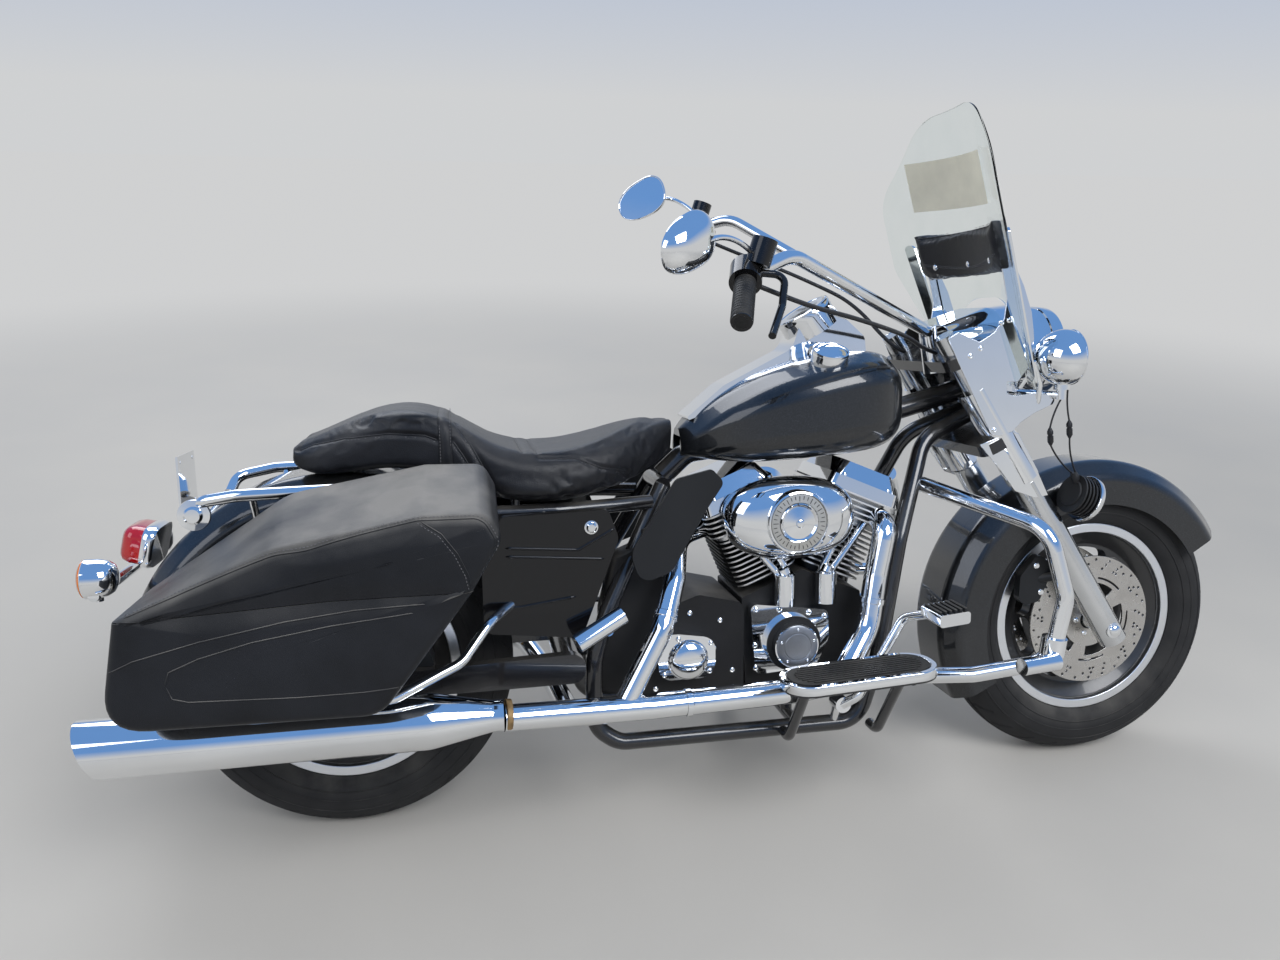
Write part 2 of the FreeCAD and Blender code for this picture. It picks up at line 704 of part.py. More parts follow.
# Fenders: a rounded skin about the wheel's axle, open below
def fender(name, label, axle, radius, half, first, last, skirt):
    """Fender from one bearing to another, in degrees from straight ahead, with side skirts."""
    wall = s.fender_wall
    shoulder = 34
    profile = [
        (-half, radius - skirt, 0),
        (-half + wall, radius - skirt, 0),
        (-half + wall, radius - shoulder, 0),
        (-half + wall + shoulder, radius - wall, 0),
        (half - wall - shoulder, radius - wall, 0),
        (half - wall, radius - shoulder, 0),
        (half - wall, radius - skirt, 0),
        (half, radius - skirt, 0),
        (half, radius - shoulder + 2, 26),
        (half - shoulder, radius, 26),
        (-half + shoulder, radius, 26),
        (-half, radius - shoulder + 2, 26),
    ]
    body = doc.addObject("PartDesign::Body", name)
    sketch = body_sketch(body, name + "Profile", "YZ_Plane", rounded(profile))
    turn = body.newObject("PartDesign::Revolution", name + "Turn")
    turn.Profile = sketch
    turn.ReferenceAxis = (sketch, ["H_Axis"])
    turn.Angle = last - first
    body.Tip = turn
    body.Placement = Placement(axle, Rotation(ACROSS, 90 - last))
    return node(body, label)


fender("FrontFender", "front_fender", FRONT_AXLE, s.front_fender_radius, s.front_fender_half, 32, 207, 95)
fender("RearFender", "rear_fender", REAR_AXLE, s.rear_fender_radius, s.rear_fender_half, 62, 186, 120)

# Engine
VEE = {"Front": s.vee_half, "Rear": -s.vee_half}
FIRST_FIN = 16
HEAD_JOINT = s.deck + FIRST_FIN + (s.barrel_fins - 1) * s.fin_pitch + s.fin_wall + 4
HEAD_TOP = HEAD_JOINT + 8 + s.head_fins * s.fin_pitch


def on_cylinder(which, along, fore=0, out=0):
    """Point by its distance up a cylinder's axis, forward of it and to the left."""
    angle = math.radians(VEE[which])
    axis = Vector(math.sin(angle), 0, math.cos(angle))
    forward = Vector(math.cos(angle), 0, -math.sin(angle))
    return CRANK + axis * along + forward * fore + ACROSS * out


def fin_outline(which, along, half, half_width, corner):
    """Rounded square, cut short where the other cylinder stands."""
    reach = min(half, along * math.tan(math.radians(s.vee_half)) - 3)
    inner = -reach if which == "Front" else -half
    outer = half if which == "Front" else reach
    return [
        (inner, -half_width, corner),
        (outer, -half_width, corner),
        (outer, half_width, corner),
        (inner, half_width, corner),
    ]


def cylinder_plate(name, which, along, thickness, half, half_width, corner):
    """One plate square to a cylinder's axis."""
    turn = Rotation(ACROSS, VEE[which])
    outline = section(name + "Outline", fin_outline(which, along, half, half_width, corner),
                      on_cylinder(which, along), turn)
    plate = doc.addObject("Part::Extrusion", name)
    plate.Base = outline
    plate.DirMode = "Normal"
    plate.LengthFwd = thickness
    plate.Solid = True
    return plate


def cylinder(which):
    """Finned barrel and finned head."""
    name = which + "Cylinder"
    pieces = [rod(name + "Core", on_cylinder(which, s.deck), on_cylinder(which, HEAD_TOP), "core_radius")]
    for i in range(int(s.barrel_fins)):
        along = s.deck + FIRST_FIN + i * s.fin_pitch
        pieces.append(cylinder_plate(name + "Fin%d" % i, which, along, s.fin_wall,
                                     s.barrel_half, s.barrel_half_width, 30))
    pieces.append(cylinder_plate(name + "Gasket", which, HEAD_JOINT, 8, s.barrel_half - 4, s.barrel_half_width, 24))
    for i in range(int(s.head_fins)):
        along = HEAD_JOINT + 8 + i * s.fin_pitch
        pieces.append(cylinder_plate(name + "HeadFin%d" % i, which, along + s.fin_pitch - s.fin_wall, s.fin_wall,
                                     s.head_half, s.head_half_width, 26))
    pieces.append(cylinder_plate(name + "HeadCore", which, HEAD_JOINT + 8, HEAD_TOP - HEAD_JOINT - 8,
                                 s.head_half - 20, s.head_half_width - 20, 20))
    return fused(name, pieces)


def rocker_cover(which):
    """Cover in two steps, with sloped ends."""
    name = which + "Rocker"
    half = s.head_half - 6
    wide = s.head_half_width - 6
    turn = Rotation(ACROSS, VEE[which])

    def ring(suffix, along, shrink):
        return section(name + suffix, [
            (-half + shrink, -wide + shrink, 14),
            (half - shrink, -wide + shrink, 14),
            (half - shrink, wide - shrink, 14),
            (-half + shrink, wide - shrink, 14),
        ], on_cylinder(which, along), turn)

    base = HEAD_TOP
    middle = base + s.rocker_height * 0.45
    top = base + s.rocker_height
    lower = loft(name + "Lower", [ring("A", base, 0), ring("B", middle, 3)], True)
    upper = loft(name + "Upper", [ring("C", middle, 8), ring("D", top, 22)], True)
    return fused(name, [lower, upper])


def head_block(which, use):
    """The space inside a head's fins, for trimming what bolts to it."""
    return cylinder_plate(which + use, which, HEAD_JOINT, 8 + s.head_fins * s.fin_pitch,
                          s.head_half, s.head_half_width, 0)


head_blocks = [head_block(which, "HeadBlock") for which in VEE]
node(group("Cylinders", [cylinder("Front"), cylinder("Rear")]), "cylinders")
node(group("RockerCovers", [rocker_cover("Front"), rocker_cover("Rear")]), "rocker_covers")

deck_front = on_cylinder("Front", s.deck, s.barrel_half)
deck_rear = on_cylinder("Rear", s.deck, -s.barrel_half)
deck_middle = s.deck / math.cos(math.radians(s.vee_half))
crankcase = slab("Crankcase", [
    (deck_rear.x, deck_rear.z, 4),
    (CRANK.x, CRANK.z + deck_middle, 0),
    (deck_front.x, deck_front.z, 4),
    (CRANK.x + 142, CRANK.z + 20, 30),
    (CRANK.x + 118, CRANK.z - 100, 40),
    (CRANK.x - 118, CRANK.z - 100, 20),
    (CRANK.x - 128, CRANK.z + 60, 10),
], -s.case_half_width, s.case_half_width)

GEARBOX_REAR = 588
GEARBOX_FRONT = CRANK.x - 130
gearbox = slab("Gearbox", [
    (GEARBOX_REAR, 250, 20),
    (GEARBOX_FRONT, 215, 10),
    (GEARBOX_FRONT, 430, 20),
    (690, 452, 20),
    (600, 420, 30),
], -112, s.case_half_width)
node(group("EngineCases", [crankcase, gearbox]), "engine_cases")

# Chrome covers on the right: cam cover with its round timer cover, gearbox end cover, tappet blocks
cam_face = -s.case_half_width - 26
cam_cover = slab("CamCover", [
    (CRANK.x - 118, CRANK.z + 102, 12),
    (CRANK.x + 48, CRANK.z + 80, 12),
    (CRANK.x + 52, CRANK.z + 20, 30),
    (CRANK.x + 24, CRANK.z - 40, 30),
    (CRANK.x - 106, CRANK.z - 48, 14),
], cam_face, -s.case_half_width - s.clearance)
TIMER = Vector(CRANK.x - 30, 0, CRANK.z + 18)
timer = rod("TimerCover", TIMER + ACROSS * cam_face, TIMER + ACROSS * (cam_face - 34), "core_radius - 12")
timer_ring = rod("TimerRing", TIMER + ACROSS * cam_face, TIMER + ACROSS * (cam_face - 14), "core_radius")
gear_cover = slab("GearCover", [
    (600, 290, 28),
    (716, 290, 34),
    (716, 372, 30),
    (640, 384, 16),
    (600, 384, 10),
], -146, -112 - s.clearance)
tappets = []
for which, fore in (("Front", 1), ("Rear", -1)):
    low = CRANK + Vector(fore * 44, -s.case_half_width - 22, 96)
    high = on_cylinder(which, s.deck + 14, fore * -20, -s.case_half_width - 22)
    tappets.append(rod("Tappet" + which, low, high, "frame_tube_radius + 4"))
node(group("EngineCovers", [
    fused("CamAndTimer", [cam_cover, timer, timer_ring] + tappets), gear_cover
]), "engine_covers")

pushrods = []
for (which, fore), tappet in zip((("Front", 1), ("Rear", -1)), tappets):
    for i, apart in enumerate((-9, 9)):
        start = on_cylinder(which, s.deck + 10, fore * -20 + apart, -s.case_half_width - 16)
        end = on_cylinder(which, HEAD_JOINT + 13, fore * 6 + 2.4 * apart, -s.barrel_half_width - 9)
        tube_piece = rod("PushrodTube%s%d" % (which, i), start, end, "axle_radius - 5")
        pushrods.append(cut("Pushrod%s%d" % (which, i), tube_piece, tappet))
node(group("Pushrods", pushrods), "pushrod_tubes")

# Air cleaner: an oval dome on a back plate, with a round insert
CLEANER = Vector(875, 0, 604)
cleaner_back = -s.head_half_width - 10


def oval(shrink):
    long = s.cleaner_half_length - shrink
    tall = s.cleaner_half_height - shrink
    return [
        (CLEANER.x - long, CLEANER.z - 0.62 * tall, 0.5 * tall),
        (CLEANER.x - 0.3 * long, CLEANER.z - tall, 0.6 * tall),
        (CLEANER.x + 0.3 * long, CLEANER.z - tall, 0.6 * tall),
        (CLEANER.x + long, CLEANER.z - 0.62 * tall, 0.5 * tall),
        (CLEANER.x + long, CLEANER.z + 0.62 * tall, 0.5 * tall),
        (CLEANER.x + 0.3 * long, CLEANER.z + tall, 0.6 * tall),
        (CLEANER.x - 0.3 * long, CLEANER.z + tall, 0.6 * tall),
        (CLEANER.x - long, CLEANER.z + 0.62 * tall, 0.5 * tall),
    ]


shell = loft("CleanerDome", [
    section("CleanerA", oval(0), Vector(0, cleaner_back, 0), SIDE_VIEW),
    section("CleanerB", oval(2), Vector(0, cleaner_back - 0.55 * s.cleaner_depth, 0), SIDE_VIEW),
    section("CleanerC", oval(26), Vector(0, cleaner_back - s.cleaner_depth, 0), SIDE_VIEW),
])
insert = rod("CleanerInsert", CLEANER + ACROSS * (cleaner_back - 10),
             CLEANER + ACROSS * (cleaner_back - s.cleaner_depth - 8), "0.62 * cleaner_half_height")
throat = rod("CleanerThroat", Vector(CRANK.x, 30, CLEANER.z + 6), Vector(CRANK.x, cleaner_back, CLEANER.z + 6),
             "frame_tube_radius + 6")
node(fused("AirCleaner", [shell, insert]), "air_cleaner")
port_rear = on_cylinder("Rear", HEAD_JOINT + 26, s.head_half)
port_front = on_cylinder("Front", HEAD_JOINT + 26, -s.head_half)
manifold = rod("Manifold", port_rear - Vector(20, 0, 0), port_front + Vector(20, 0, 0), "frame_tube_radius + 1")
intake = cut("Intake", fused("IntakeWhole", [manifold, throat]), fused("HeadBlocks", head_blocks))

# Primary cover on the left, horn between the cylinders
node(slab("PrimaryCover", [
    (CRANK.x + 100, CRANK.z + 60, 60),
    (CRANK.x + 112, CRANK.z - 84, 70),
    (GEARBOX_REAR + 40, 225, 70),
    (GEARBOX_REAR + 30, 395, 70),
], s.case_half_width + s.clearance, 178), "primary_cover")
horn_seat = Vector(CRANK.x, 0, CLEANER.z + 4)
horn = cone("HornBell", horn_seat + ACROSS * (s.head_half_width + 6), horn_seat + ACROSS * (s.head_half_width + 58), 30, 58)
horn_stem = rod("HornStem", horn_seat + ACROSS * (30 + s.clearance), horn_seat + ACROSS * (s.head_half_width + 8),
                "frame_tube_radius - 3")
node(group("HornAndIntake", [fused("Horn", [horn, horn_stem]), intake]), "horn_and_intake")

# Exhaust: two headers join on the right, and a pipe crosses to the left muffler
MUFFLER_FRONT = 290
pipe_height = s.muffler_height - 22
front_header = tube("FrontHeader", [
    on_cylinder("Front", HEAD_JOINT + 34, s.head_half - 40, -s.head_half_width + 20),
    Vector(1078, -s.head_half_width - 32, 578),
    Vector(1056, -142, 480),
    Vector(1036, -156, 376),
    Vector(960, -196, pipe_height + 6),
    Vector(860, -212, pipe_height),
    Vector(560, -228, pipe_height),
    Vector(MUFFLER_FRONT, -s.muffler_half, s.muffler_height - 6),
], "pipe_radius", 90)
rear_header = tube("RearHeader", [
    on_cylinder("Rear", HEAD_JOINT + 36, -s.head_half + 16, -44),
    Vector(652, -84, 568),
    Vector(632, -150, 500),
    Vector(596, -206, 420),
    Vector(515, -226, pipe_height + 6),
], "pipe_radius - 2", 70)
left_pipe = tube("ExhaustLeft", [
    Vector(478, -226, pipe_height - 4),
    Vector(424, -150, 236),
    Vector(400, 120, 236),
    Vector(360, s.muffler_half - 20, s.muffler_height - 26),
    Vector(MUFFLER_FRONT, s.muffler_half, s.muffler_height - 6),
], "pipe_radius - 2", 60)
exhaust = cut("ExhaustRun", fused("ExhaustWhole", [front_header, rear_header, left_pipe]), fused("PortBlocks", [
    head_block(which, "PortBlock") for which in VEE
]))
node(group("ExhaustPipes", [exhaust]), "exhaust_pipes")
MUFFLER_TAIL = -430
mufflers = []
for side_name, side in SIDES:
    line = mirrored((0, s.muffler_half, s.muffler_height), side)
    profile = section("MufflerProfile" + side_name, [
        (MUFFLER_FRONT - 1, s.muffler_height, 0),
        (MUFFLER_FRONT - 1, s.muffler_height + s.pipe_radius + 4, 0),
        (MUFFLER_FRONT - 20, s.muffler_height + s.pipe_radius + 4, 20),
        (MUFFLER_FRONT - 130, s.muffler_height + s.muffler_radius, 90),
        (MUFFLER_TAIL, s.muffler_height + s.muffler_radius, 0),
        (MUFFLER_TAIL, s.muffler_height + s.muffler_radius - s.fender_wall, 0),
        (MUFFLER_TAIL + 160, s.muffler_height + s.muffler_radius - s.fender_wall, 0),
        (MUFFLER_TAIL + 160, s.muffler_height, 0),
    ], line - Vector(0, 0, s.muffler_height), SIDE_VIEW)
    whole = doc.addObject("Part::Revolution", "MufflerTurn" + side_name)
    whole.Source = profile
    whole.Axis = Vector(1, 0, 0)
    whole.Base = line
    whole.Angle = 360
    whole.Solid = True
    slash = slab("MufflerSlash" + side_name, [
        (MUFFLER_TAIL - 20, s.muffler_height - 80, 0),
        (MUFFLER_TAIL + 66, s.muffler_height - 80, 0),
        (MUFFLER_TAIL + 4, s.muffler_height + 80, 0),
        (MUFFLER_TAIL - 20, s.muffler_height + 80, 0),
    ], line.y - 80, line.y + 80)
    mufflers.append(cut("Muffler" + side_name, cut("MufflerOpen" + side_name, whole, slash), exhaust))
node(group("Mufflers", mufflers), "mufflers")

# Fuel tank: sections across the machine, from its rear tip to its front
# Columns: forward, half width, bottom, top, corner low, corner high.
TANK_SECTIONS = [
    (672, 40, 728, 778, 14, 18),
    (740, 108, 718, 838, 36, 50),
    (860, 158, 718, 898, 56, 80),
    (1000, 168, 728, 930, 60, 84),
    (1090, 140, 744, 925, 56, 74),
    (1124, 92, 776, 890, 30, 40),
]
tank_skin = loft("TankSkin", [
    section("TankSection%d" % i, [
        (-half, low, low_corner),
        (half, low, low_corner),
        (half, high - 34, high_corner * 0.6),
        (half * 0.5, high, high_corner),
        (-half * 0.5, high, high_corner),
        (-half, high - 34, high_corner * 0.6),
    ], Vector(forward, 0, 0), FRONT_VIEW)
    for i, (forward, half, low, high, low_corner, high_corner) in enumerate(TANK_SECTIONS)
])
tunnel = slab("TankTunnel", [
    (650, 690, 0),
    (1140, 690, 0),
    (1140, 836, 0),
    (650, 760, 0),
], -TUNNEL_HALF, TUNNEL_HALF)
node(cut("Tank", tank_skin, tunnel), "fuel_tank")

# Console along the tank's top, with the speedometer in its raised front
console_outline = slab("ConsoleBlade", [
    (668, 790, 4),
    (760, 866, 60),
    (905, 938, 40),
    (925, 1000, 30),
    (985, 1028, 20),
    (1062, 960, 20),
    (1066, 925, 0),
    (960, 915, 0),
    (800, 840, 60),
], -44, 44)
SPEEDO = Vector(943, 0, 1012)
speedo_up = Vector(-0.53, 0, 0.848)
speedo = rod("Speedometer", SPEEDO - speedo_up * 46, SPEEDO + speedo_up * 4, "core_radius")
console = cut("Console", fused("ConsoleWhole", [console_outline, speedo]), tank_skin)
cap_seat = Vector(960, -104, 912)
cap_up = Vector(0, -0.42, 0.91).normalize()
filler_cap = cut("FillerCap", rod("CapDisc", cap_seat - cap_up * 12, cap_seat + cap_up * 26, "grip_radius + 18"), tank_skin)
node(group("ConsoleAndCap", [console, filler_cap]), "console_and_cap")

# Seat: sections across, from its nose to its tail
# Columns: forward, half width, bottom, top, corner.
SEAT_SECTIONS = [
    (655, 46, 742, 812, 22),
    (560, 110, 690, 790, 34),
    (430, 165, 662, 752, 36),
    (300, 168, 672, 765, 34),
    (215, 150, 708, 812, 34),
    (60, 140, 731, 822, 34),
    (-80, 92, 738, 776, 16),
]
seat = loft("Seat", [
    section("SeatSection%d" % i, [
        (-half, low, corner * 0.4),
        (half, low, corner * 0.4),
        (half, high, corner),
        (-half, high, corner),
    ], Vector(forward, 0, 0), FRONT_VIEW)
    for i, (forward, half, low, high, corner) in enumerate(SEAT_SECTIONS)
])
node(group("SeatPad", [seat]), "seat")
seat_posts = fused("SeatPosts", [
    rod("SeatPost" + side_name, mirrored((330, 118, 642), side), mirrored((330, 118, 700), side), "axle_radius - 4")
    for side_name, side in SIDES
])
node(fused("RearFrame", rear_frame + [seat_cross, cut("TrimmedPosts", seat_posts, seat)]), "frame_rear")

# Side covers below the seat and heat deflectors behind the rear cylinder
covers = []
cover_panels = {}
deflectors = []
for side_name, side in SIDES:
    low, high = sorted((side * 150, side * 172))
    cover_post = rod("CoverPost" + side_name, mirrored((380, 124, 634), side), mirrored((380, 151, 634), side),
                     "axle_radius - 4")
    cover_panels[side] = slab("CoverPanel" + side_name, [
        (262, 420, 20),
        (446, 400, 30),
        (520, 590, 30),
        (500, 646, 10),
        (300, 640, 10),
        (262, 560, 20),
    ], low, high)
    covers.append(cut("SideCover" + side_name, fused("CoverWhole" + side_name, [cover_panels[side], cover_post]), struts[side]))
    low, high = sorted((side * 172, side * 180))
    deflector_post = rod("DeflectorPost" + side_name, mirrored((583, 82, 584), side), mirrored((583, 173, 584), side),
                         "axle_radius - 5")
    deflector = slab("DeflectorPanel" + side_name, [
        (700, 716, 10),
        (630, 700, 20),
        (540, 560, 40),
        (560, 500, 26),
        (620, 520, 40),
        (690, 640, 40),
        (724, 690, 14),
    ], low, high)
    deflectors.append(cut("Deflector" + side_name, fused("DeflectorWhole" + side_name, [deflector, deflector_post]),
                          seat_tubes[side]))
node(group("SideCovers", covers), "side_covers")
node(group("Deflectors", deflectors), "heat_deflectors")

# Saddlebags: leather over a hard shell, hollow, with a hinged lid
# Columns: forward, up, corner. The outer wall's outlines, each starting along the lid line.
BAG_BODY = [
    (243, 572, 0),
    (26, 572, 0),
    (-288, 556, 0),
    (-318, 384, 60),
    (92, 378, 60),
]
BAG_LID = [
    (-288, 556, 0),
    (26, 572, 0),
    (243, 572, 0),
    (292, 650, 26),
    (270, 692, 30),
    (170, 694, 60),
    (-60, 652, 120),
]
LID_CREST = 58


def inset(corners, walls):
    """Closed outline moved inwards, each edge by its own wall; a negative wall moves it out."""
    count = len(corners)
    lines = []
    for i in range(count):
        start = Vector(*corners[i][:2])
        end = Vector(*corners[(i + 1) % count][:2])
        way = (end - start).normalize()
        lines.append((start + Vector(-way.y, way.x, 0) * walls[i], way))
    moved = []
    for i in range(count):
        (p, u), (q, v) = lines[i - 1], lines[i]
        turn = u.x * v.y - u.y * v.x
        if abs(turn) < 1e-6:
            meet = q
        else:
            meet = p + u * (((q.x - p.x) * v.y - (q.y - p.y) * v.x) / turn)
        moved.append((meet.x, meet.y, max(corners[i][2] - abs(walls[i]), 0)))
    return moved


def bag_block(name, side, corners, crest, from_plane, to_plane):
    """Block between two outlines; past its first three corners the inboard one stands higher."""
    raised = [(x, z + (crest if i > 2 else 0), corner) for i, (x, z, corner) in enumerate(corners)]
    return loft(name, [
        section(name + "In", raised, Vector(0, side * from_plane, 0), SIDE_VIEW),
        section(name + "Out", corners, Vector(0, side * to_plane, 0), SIDE_VIEW),
    ], True)


OPEN_EDGE = -30
for side_name, side in SIDES:
    name = "Bag" + side_name
    for part_name, label, corners, crest, lift in (
        ("Body", "saddlebag_", BAG_BODY, 0, 0),
        ("Lid", "saddlebag_lid_", BAG_LID, LID_CREST, s.lid_gap),
    ):
        lifted = [(x, z + lift, corner) for x, z, corner in corners]
        walls = [OPEN_EDGE, OPEN_EDGE] + [s.bag_wall] * (len(corners) - 2)
        outside = bag_block(name + part_name + "Outside", side, lifted, crest, s.bag_inner, s.bag_outer)
        inside = bag_block(name + part_name + "Inside", side, inset(lifted, walls), crest - 2,
                           s.bag_inner + s.bag_wall, s.bag_outer - s.bag_wall)
        node(cut(name + part_name, outside, inside), label + side_name.lower())

# Bag guards: a rail round the lower front corner of each saddlebag
bag_guards = [
    cut("BagGuard" + side_name, tube("BagGuardRun" + side_name, [
        mirrored((318, 160, 474), side),
        mirrored((270, 225, 456), side),
        mirrored((220, 262, 400), side),
        mirrored((100, 300, 356), side),
        mirrored((-150, 300, 360), side),
        mirrored((-240, 230, 366), side),
        mirrored((-240, 162, 380), side),
    ], "frame_tube_radius - 8", 60), cover_panels[side])
    for side_name, side in SIDES
]

# Chrome rails over the rear fender, with a cross loop behind them
rear_rails = []
for side_name, side in SIDES:
    rail = tube("RailRun" + side_name, [
        mirrored((130, 160, 690), side),
        mirrored((60, 178, 706), side),
        mirrored((-150, 178, 702), side),
        mirrored((-222, 160, 690), side),
        mirrored((-232, 130, 660), side),
    ], "frame_tube_radius - 6", 50)
    stays = [
        rod("RailStay%s%d" % (side_name, i), mirrored((x, 124, low), side), mirrored((x, 178, high), side),
            "axle_radius - 6")
        for i, (x, low, high) in enumerate(((40, 640, 704), (-128, 615, 701)))
    ]
    rear_rails.append(cut("RearRail" + side_name, fused("RailWhole" + side_name, [rail] + stays), struts[side]))
node(group("ChromeRails", bag_guards + rear_rails), "chrome_rails")

plate_foot = Vector(-278, 0, 652)
plate = block("PlateBlank", (plate_foot.x - 2, -s.plate_width / 2, plate_foot.z),
              (plate_foot.x + 2, s.plate_width / 2, plate_foot.z + s.plate_height))
PLATE_HOLE_SQUARE = s.plate_height - 24
plate_middle = plate_foot + UP * (s.plate_height / 2)
plate_holes = fused("PlateHoles", [
    rod("PlateHole%d%d" % (i, j),
        plate_middle + Vector(-5, across * PLATE_HOLE_SQUARE / 2, up * PLATE_HOLE_SQUARE / 2),
        plate_middle + Vector(5, across * PLATE_HOLE_SQUARE / 2, up * PLATE_HOLE_SQUARE / 2), "plate_hole_radius")
    for i, across in enumerate((-1, 1)) for j, up in enumerate((-1, 1))
])
plate_stay = tube("PlateStay", [
    Vector(plate_foot.x + 1, 0, plate_foot.z + 8),
    Vector(plate_foot.x + 1, 0, 632),
    Vector(-240, 0, 640),
    Vector(-206, 0, 676),
], "axle_radius - 5", 20)
fender_room = rod("FenderRoom", REAR_AXLE - ACROSS * 100, REAR_AXLE + ACROSS * 100, "rear_fender_radius + clearance")
drilled = cut("DrilledPlate", plate, plate_holes)
node(cut("StandingPlate", fused("PlateAndStay", [drilled, plate_stay]), fender_room), "standing_plate")

# Tail lamp and the two amber signals on a cross bar behind the fender
signal_bar_height = 565
LAMP_ABOVE_SIGNALS = 20
LAMP_SEAT = Vector(REAR_AXLE.x - 328, 0, signal_bar_height + LAMP_ABOVE_SIGNALS)
lamp_out = Vector(-0.85, 0, 0.2).normalize()
tail_lamp_block = loft("TailLampBlock", [
    section("TailLampA", [(-62, -40, 20), (62, -40, 20), (62, 44, 20), (-62, 44, 20)],
            LAMP_SEAT + lamp_out * -6, Rotation(UP, lamp_out)),
    section("TailLampB", [(-48, -32, 20), (48, -32, 20), (48, 36, 20), (-48, 36, 20)],
            LAMP_SEAT + lamp_out * 62, Rotation(UP, lamp_out)),
], True)
tail_lamp = cut("TailLamp", tail_lamp_block, fender_room)
signal_bar = rod("SignalBar", Vector(-392, -190, signal_bar_height - 26),
                 Vector(-392, 190, signal_bar_height - 26), "axle_radius - 2")
signals = [signal_bar]
for side_name, side in SIDES:
    centre = mirrored((-392, 165, signal_bar_height), side)
    signals.append(rod("Signal" + side_name, centre + Vector(34, 0, 0), centre + Vector(-26, 0, 0),
                       "0.62 * passing_radius"))
node(fused("RearLamps", [tail_lamp] + signals), "rear_lamps")

# Footboards with their brackets, passenger pegs, brake pedal and shift lever
boards = []
for side_name, side in SIDES:
    middle = mirrored((952, 302, 322), side)
    half_length = s.board_length / 2
    half_width = s.board_width / 2
    outline = section("Board%sOutline" % side_name, [
        (-half_length, -half_width, 50),
        (half_length, -half_width, 50),
        (half_length, half_width, 50),
        (-half_length, half_width, 50),
    ], middle, Rotation(ACROSS, -3))
    board = doc.addObject("Part::Extrusion", "Board" + side_name)
    board.Base = outline
    board.DirMode = "Normal"
    bind(board, LengthFwd="board_wall")
    board.Solid = True
    bracket_pieces = [board]
    for end_name, x in (("Front", 1050), ("Rear", 860)):
        bracket_pieces.append(tube("BoardBracket%s%s" % (side_name, end_name), [
            mirrored((x, s.rail_half + s.frame_tube_radius + s.clearance, s.rail_height), side),
            mirrored((x, s.rail_half + 52, s.rail_height), side),
            mirrored((x, 290, 322), side),
            mirrored((x, 330, 324), side),
        ], "axle_radius - 2", 50))
    boards.append(fused("Footboard" + side_name, bracket_pieces))
node(group("Footboards", boards), "footboards")
passenger_pegs = [
    fused("PassengerPeg" + side_name, [
        rod("PegBar" + side_name, mirrored((492, 147, 404), side), mirrored((492, 205, 420), side), "axle_radius - 3"),
        rod("Peg" + side_name, mirrored((520, 204, 450), side), mirrored((430, 224, 405), side), "grip_radius"),
    ])
    for side_name, side in SIDES
]
pedal = fused("PedalWhole", [
    tube("PedalArm", [
        Vector(975, -176, 222), Vector(1000, -196, 244), Vector(1090, -200, 404), Vector(1136, -262, 430),
    ], "axle_radius - 3", 30),
    rod("PedalPivot", Vector(975, -146, 222), Vector(975, -182, 222), "axle_radius + 4"),
    rod("PedalBracket", Vector(975, -156, 222), Vector(975, -130, 168), "axle_radius - 3"),
    slab("PedalPad", [(1104, 418, 6), (1166, 424, 6), (1166, 448, 6), (1104, 442, 6)], -322, -246),
])
lever = fused("LeverWhole", [
    tube("LeverArm", [
        Vector(960, 196, 262), Vector(1010, 214, 300), Vector(1120, 262, 380), Vector(1124, 320, 384),
    ], "axle_radius - 4", 26),
    rod("LeverPivot", Vector(960, 182, 262), Vector(960, 206, 262), "axle_radius + 2"),
    tube("LeverBracket", [Vector(960, 194, 262), Vector(960, 194, 176), Vector(960, 130, 164)], "axle_radius - 4", 30),
])
right_rail, left_rail = lower_rails
engine_rest = CRANK.z - 100
engine_mount = [rod("EngineCross", Vector(900, -s.rail_half, s.rail_height), Vector(900, s.rail_half, s.rail_height),
                    "axle_radius")]
for side_name, side in SIDES:
    engine_mount.append(rod("EnginePost" + side_name, mirrored((900, 50, s.rail_height), side),
                            mirrored((900, 50, engine_rest), side), "axle_radius"))
node(group("FootControls", [
    cut("BrakePedal", pedal, right_rail), cut("ShiftLever", lever, left_rail),
] + passenger_pegs), "foot_controls")

# Engine guard: one hoop a side, from the downtube out and back to the lower rail
# Columns: forward, out, up.
GUARD = [
    (1184, 78, 652),
    (1312, 334, 600),
    (1346, 348, 470),
    (1326, 342, 345),
    (1210, 268, 300),
    (1062, 146, 262),
]
guards = []
for side_name, side in SIDES:
    hoop = tube("GuardHoop" + side_name, [mirrored(point, side) for point in GUARD], "guard_tube_radius", 62)
    peg = rod("HighwayPeg" + side_name, mirrored((1322, 366, 352), side), mirrored((1240, 380, 352), side),
              "grip_radius - 2")
    clamp = rod("PegClamp" + side_name, mirrored((1330, 344, 392), side), mirrored((1327, 342, 358), side),
                "guard_tube_radius + 7")
    guards.append(cut("Guard" + side_name, fused("GuardWhole" + side_name, [hoop, clamp, peg]), downtubes[side]))
node(group("EngineGuards", guards), "engine_guards")

# Rear brake caliper on the right arm
node(slab("RearCaliper", [
    (40, 430, 14),
    (150, 408, 14),
    (168, 351, 4),
    (60, 349 + s.clearance, 4),
], -arm_half + 8, -s.disc_offset - 8), "rear_caliper")

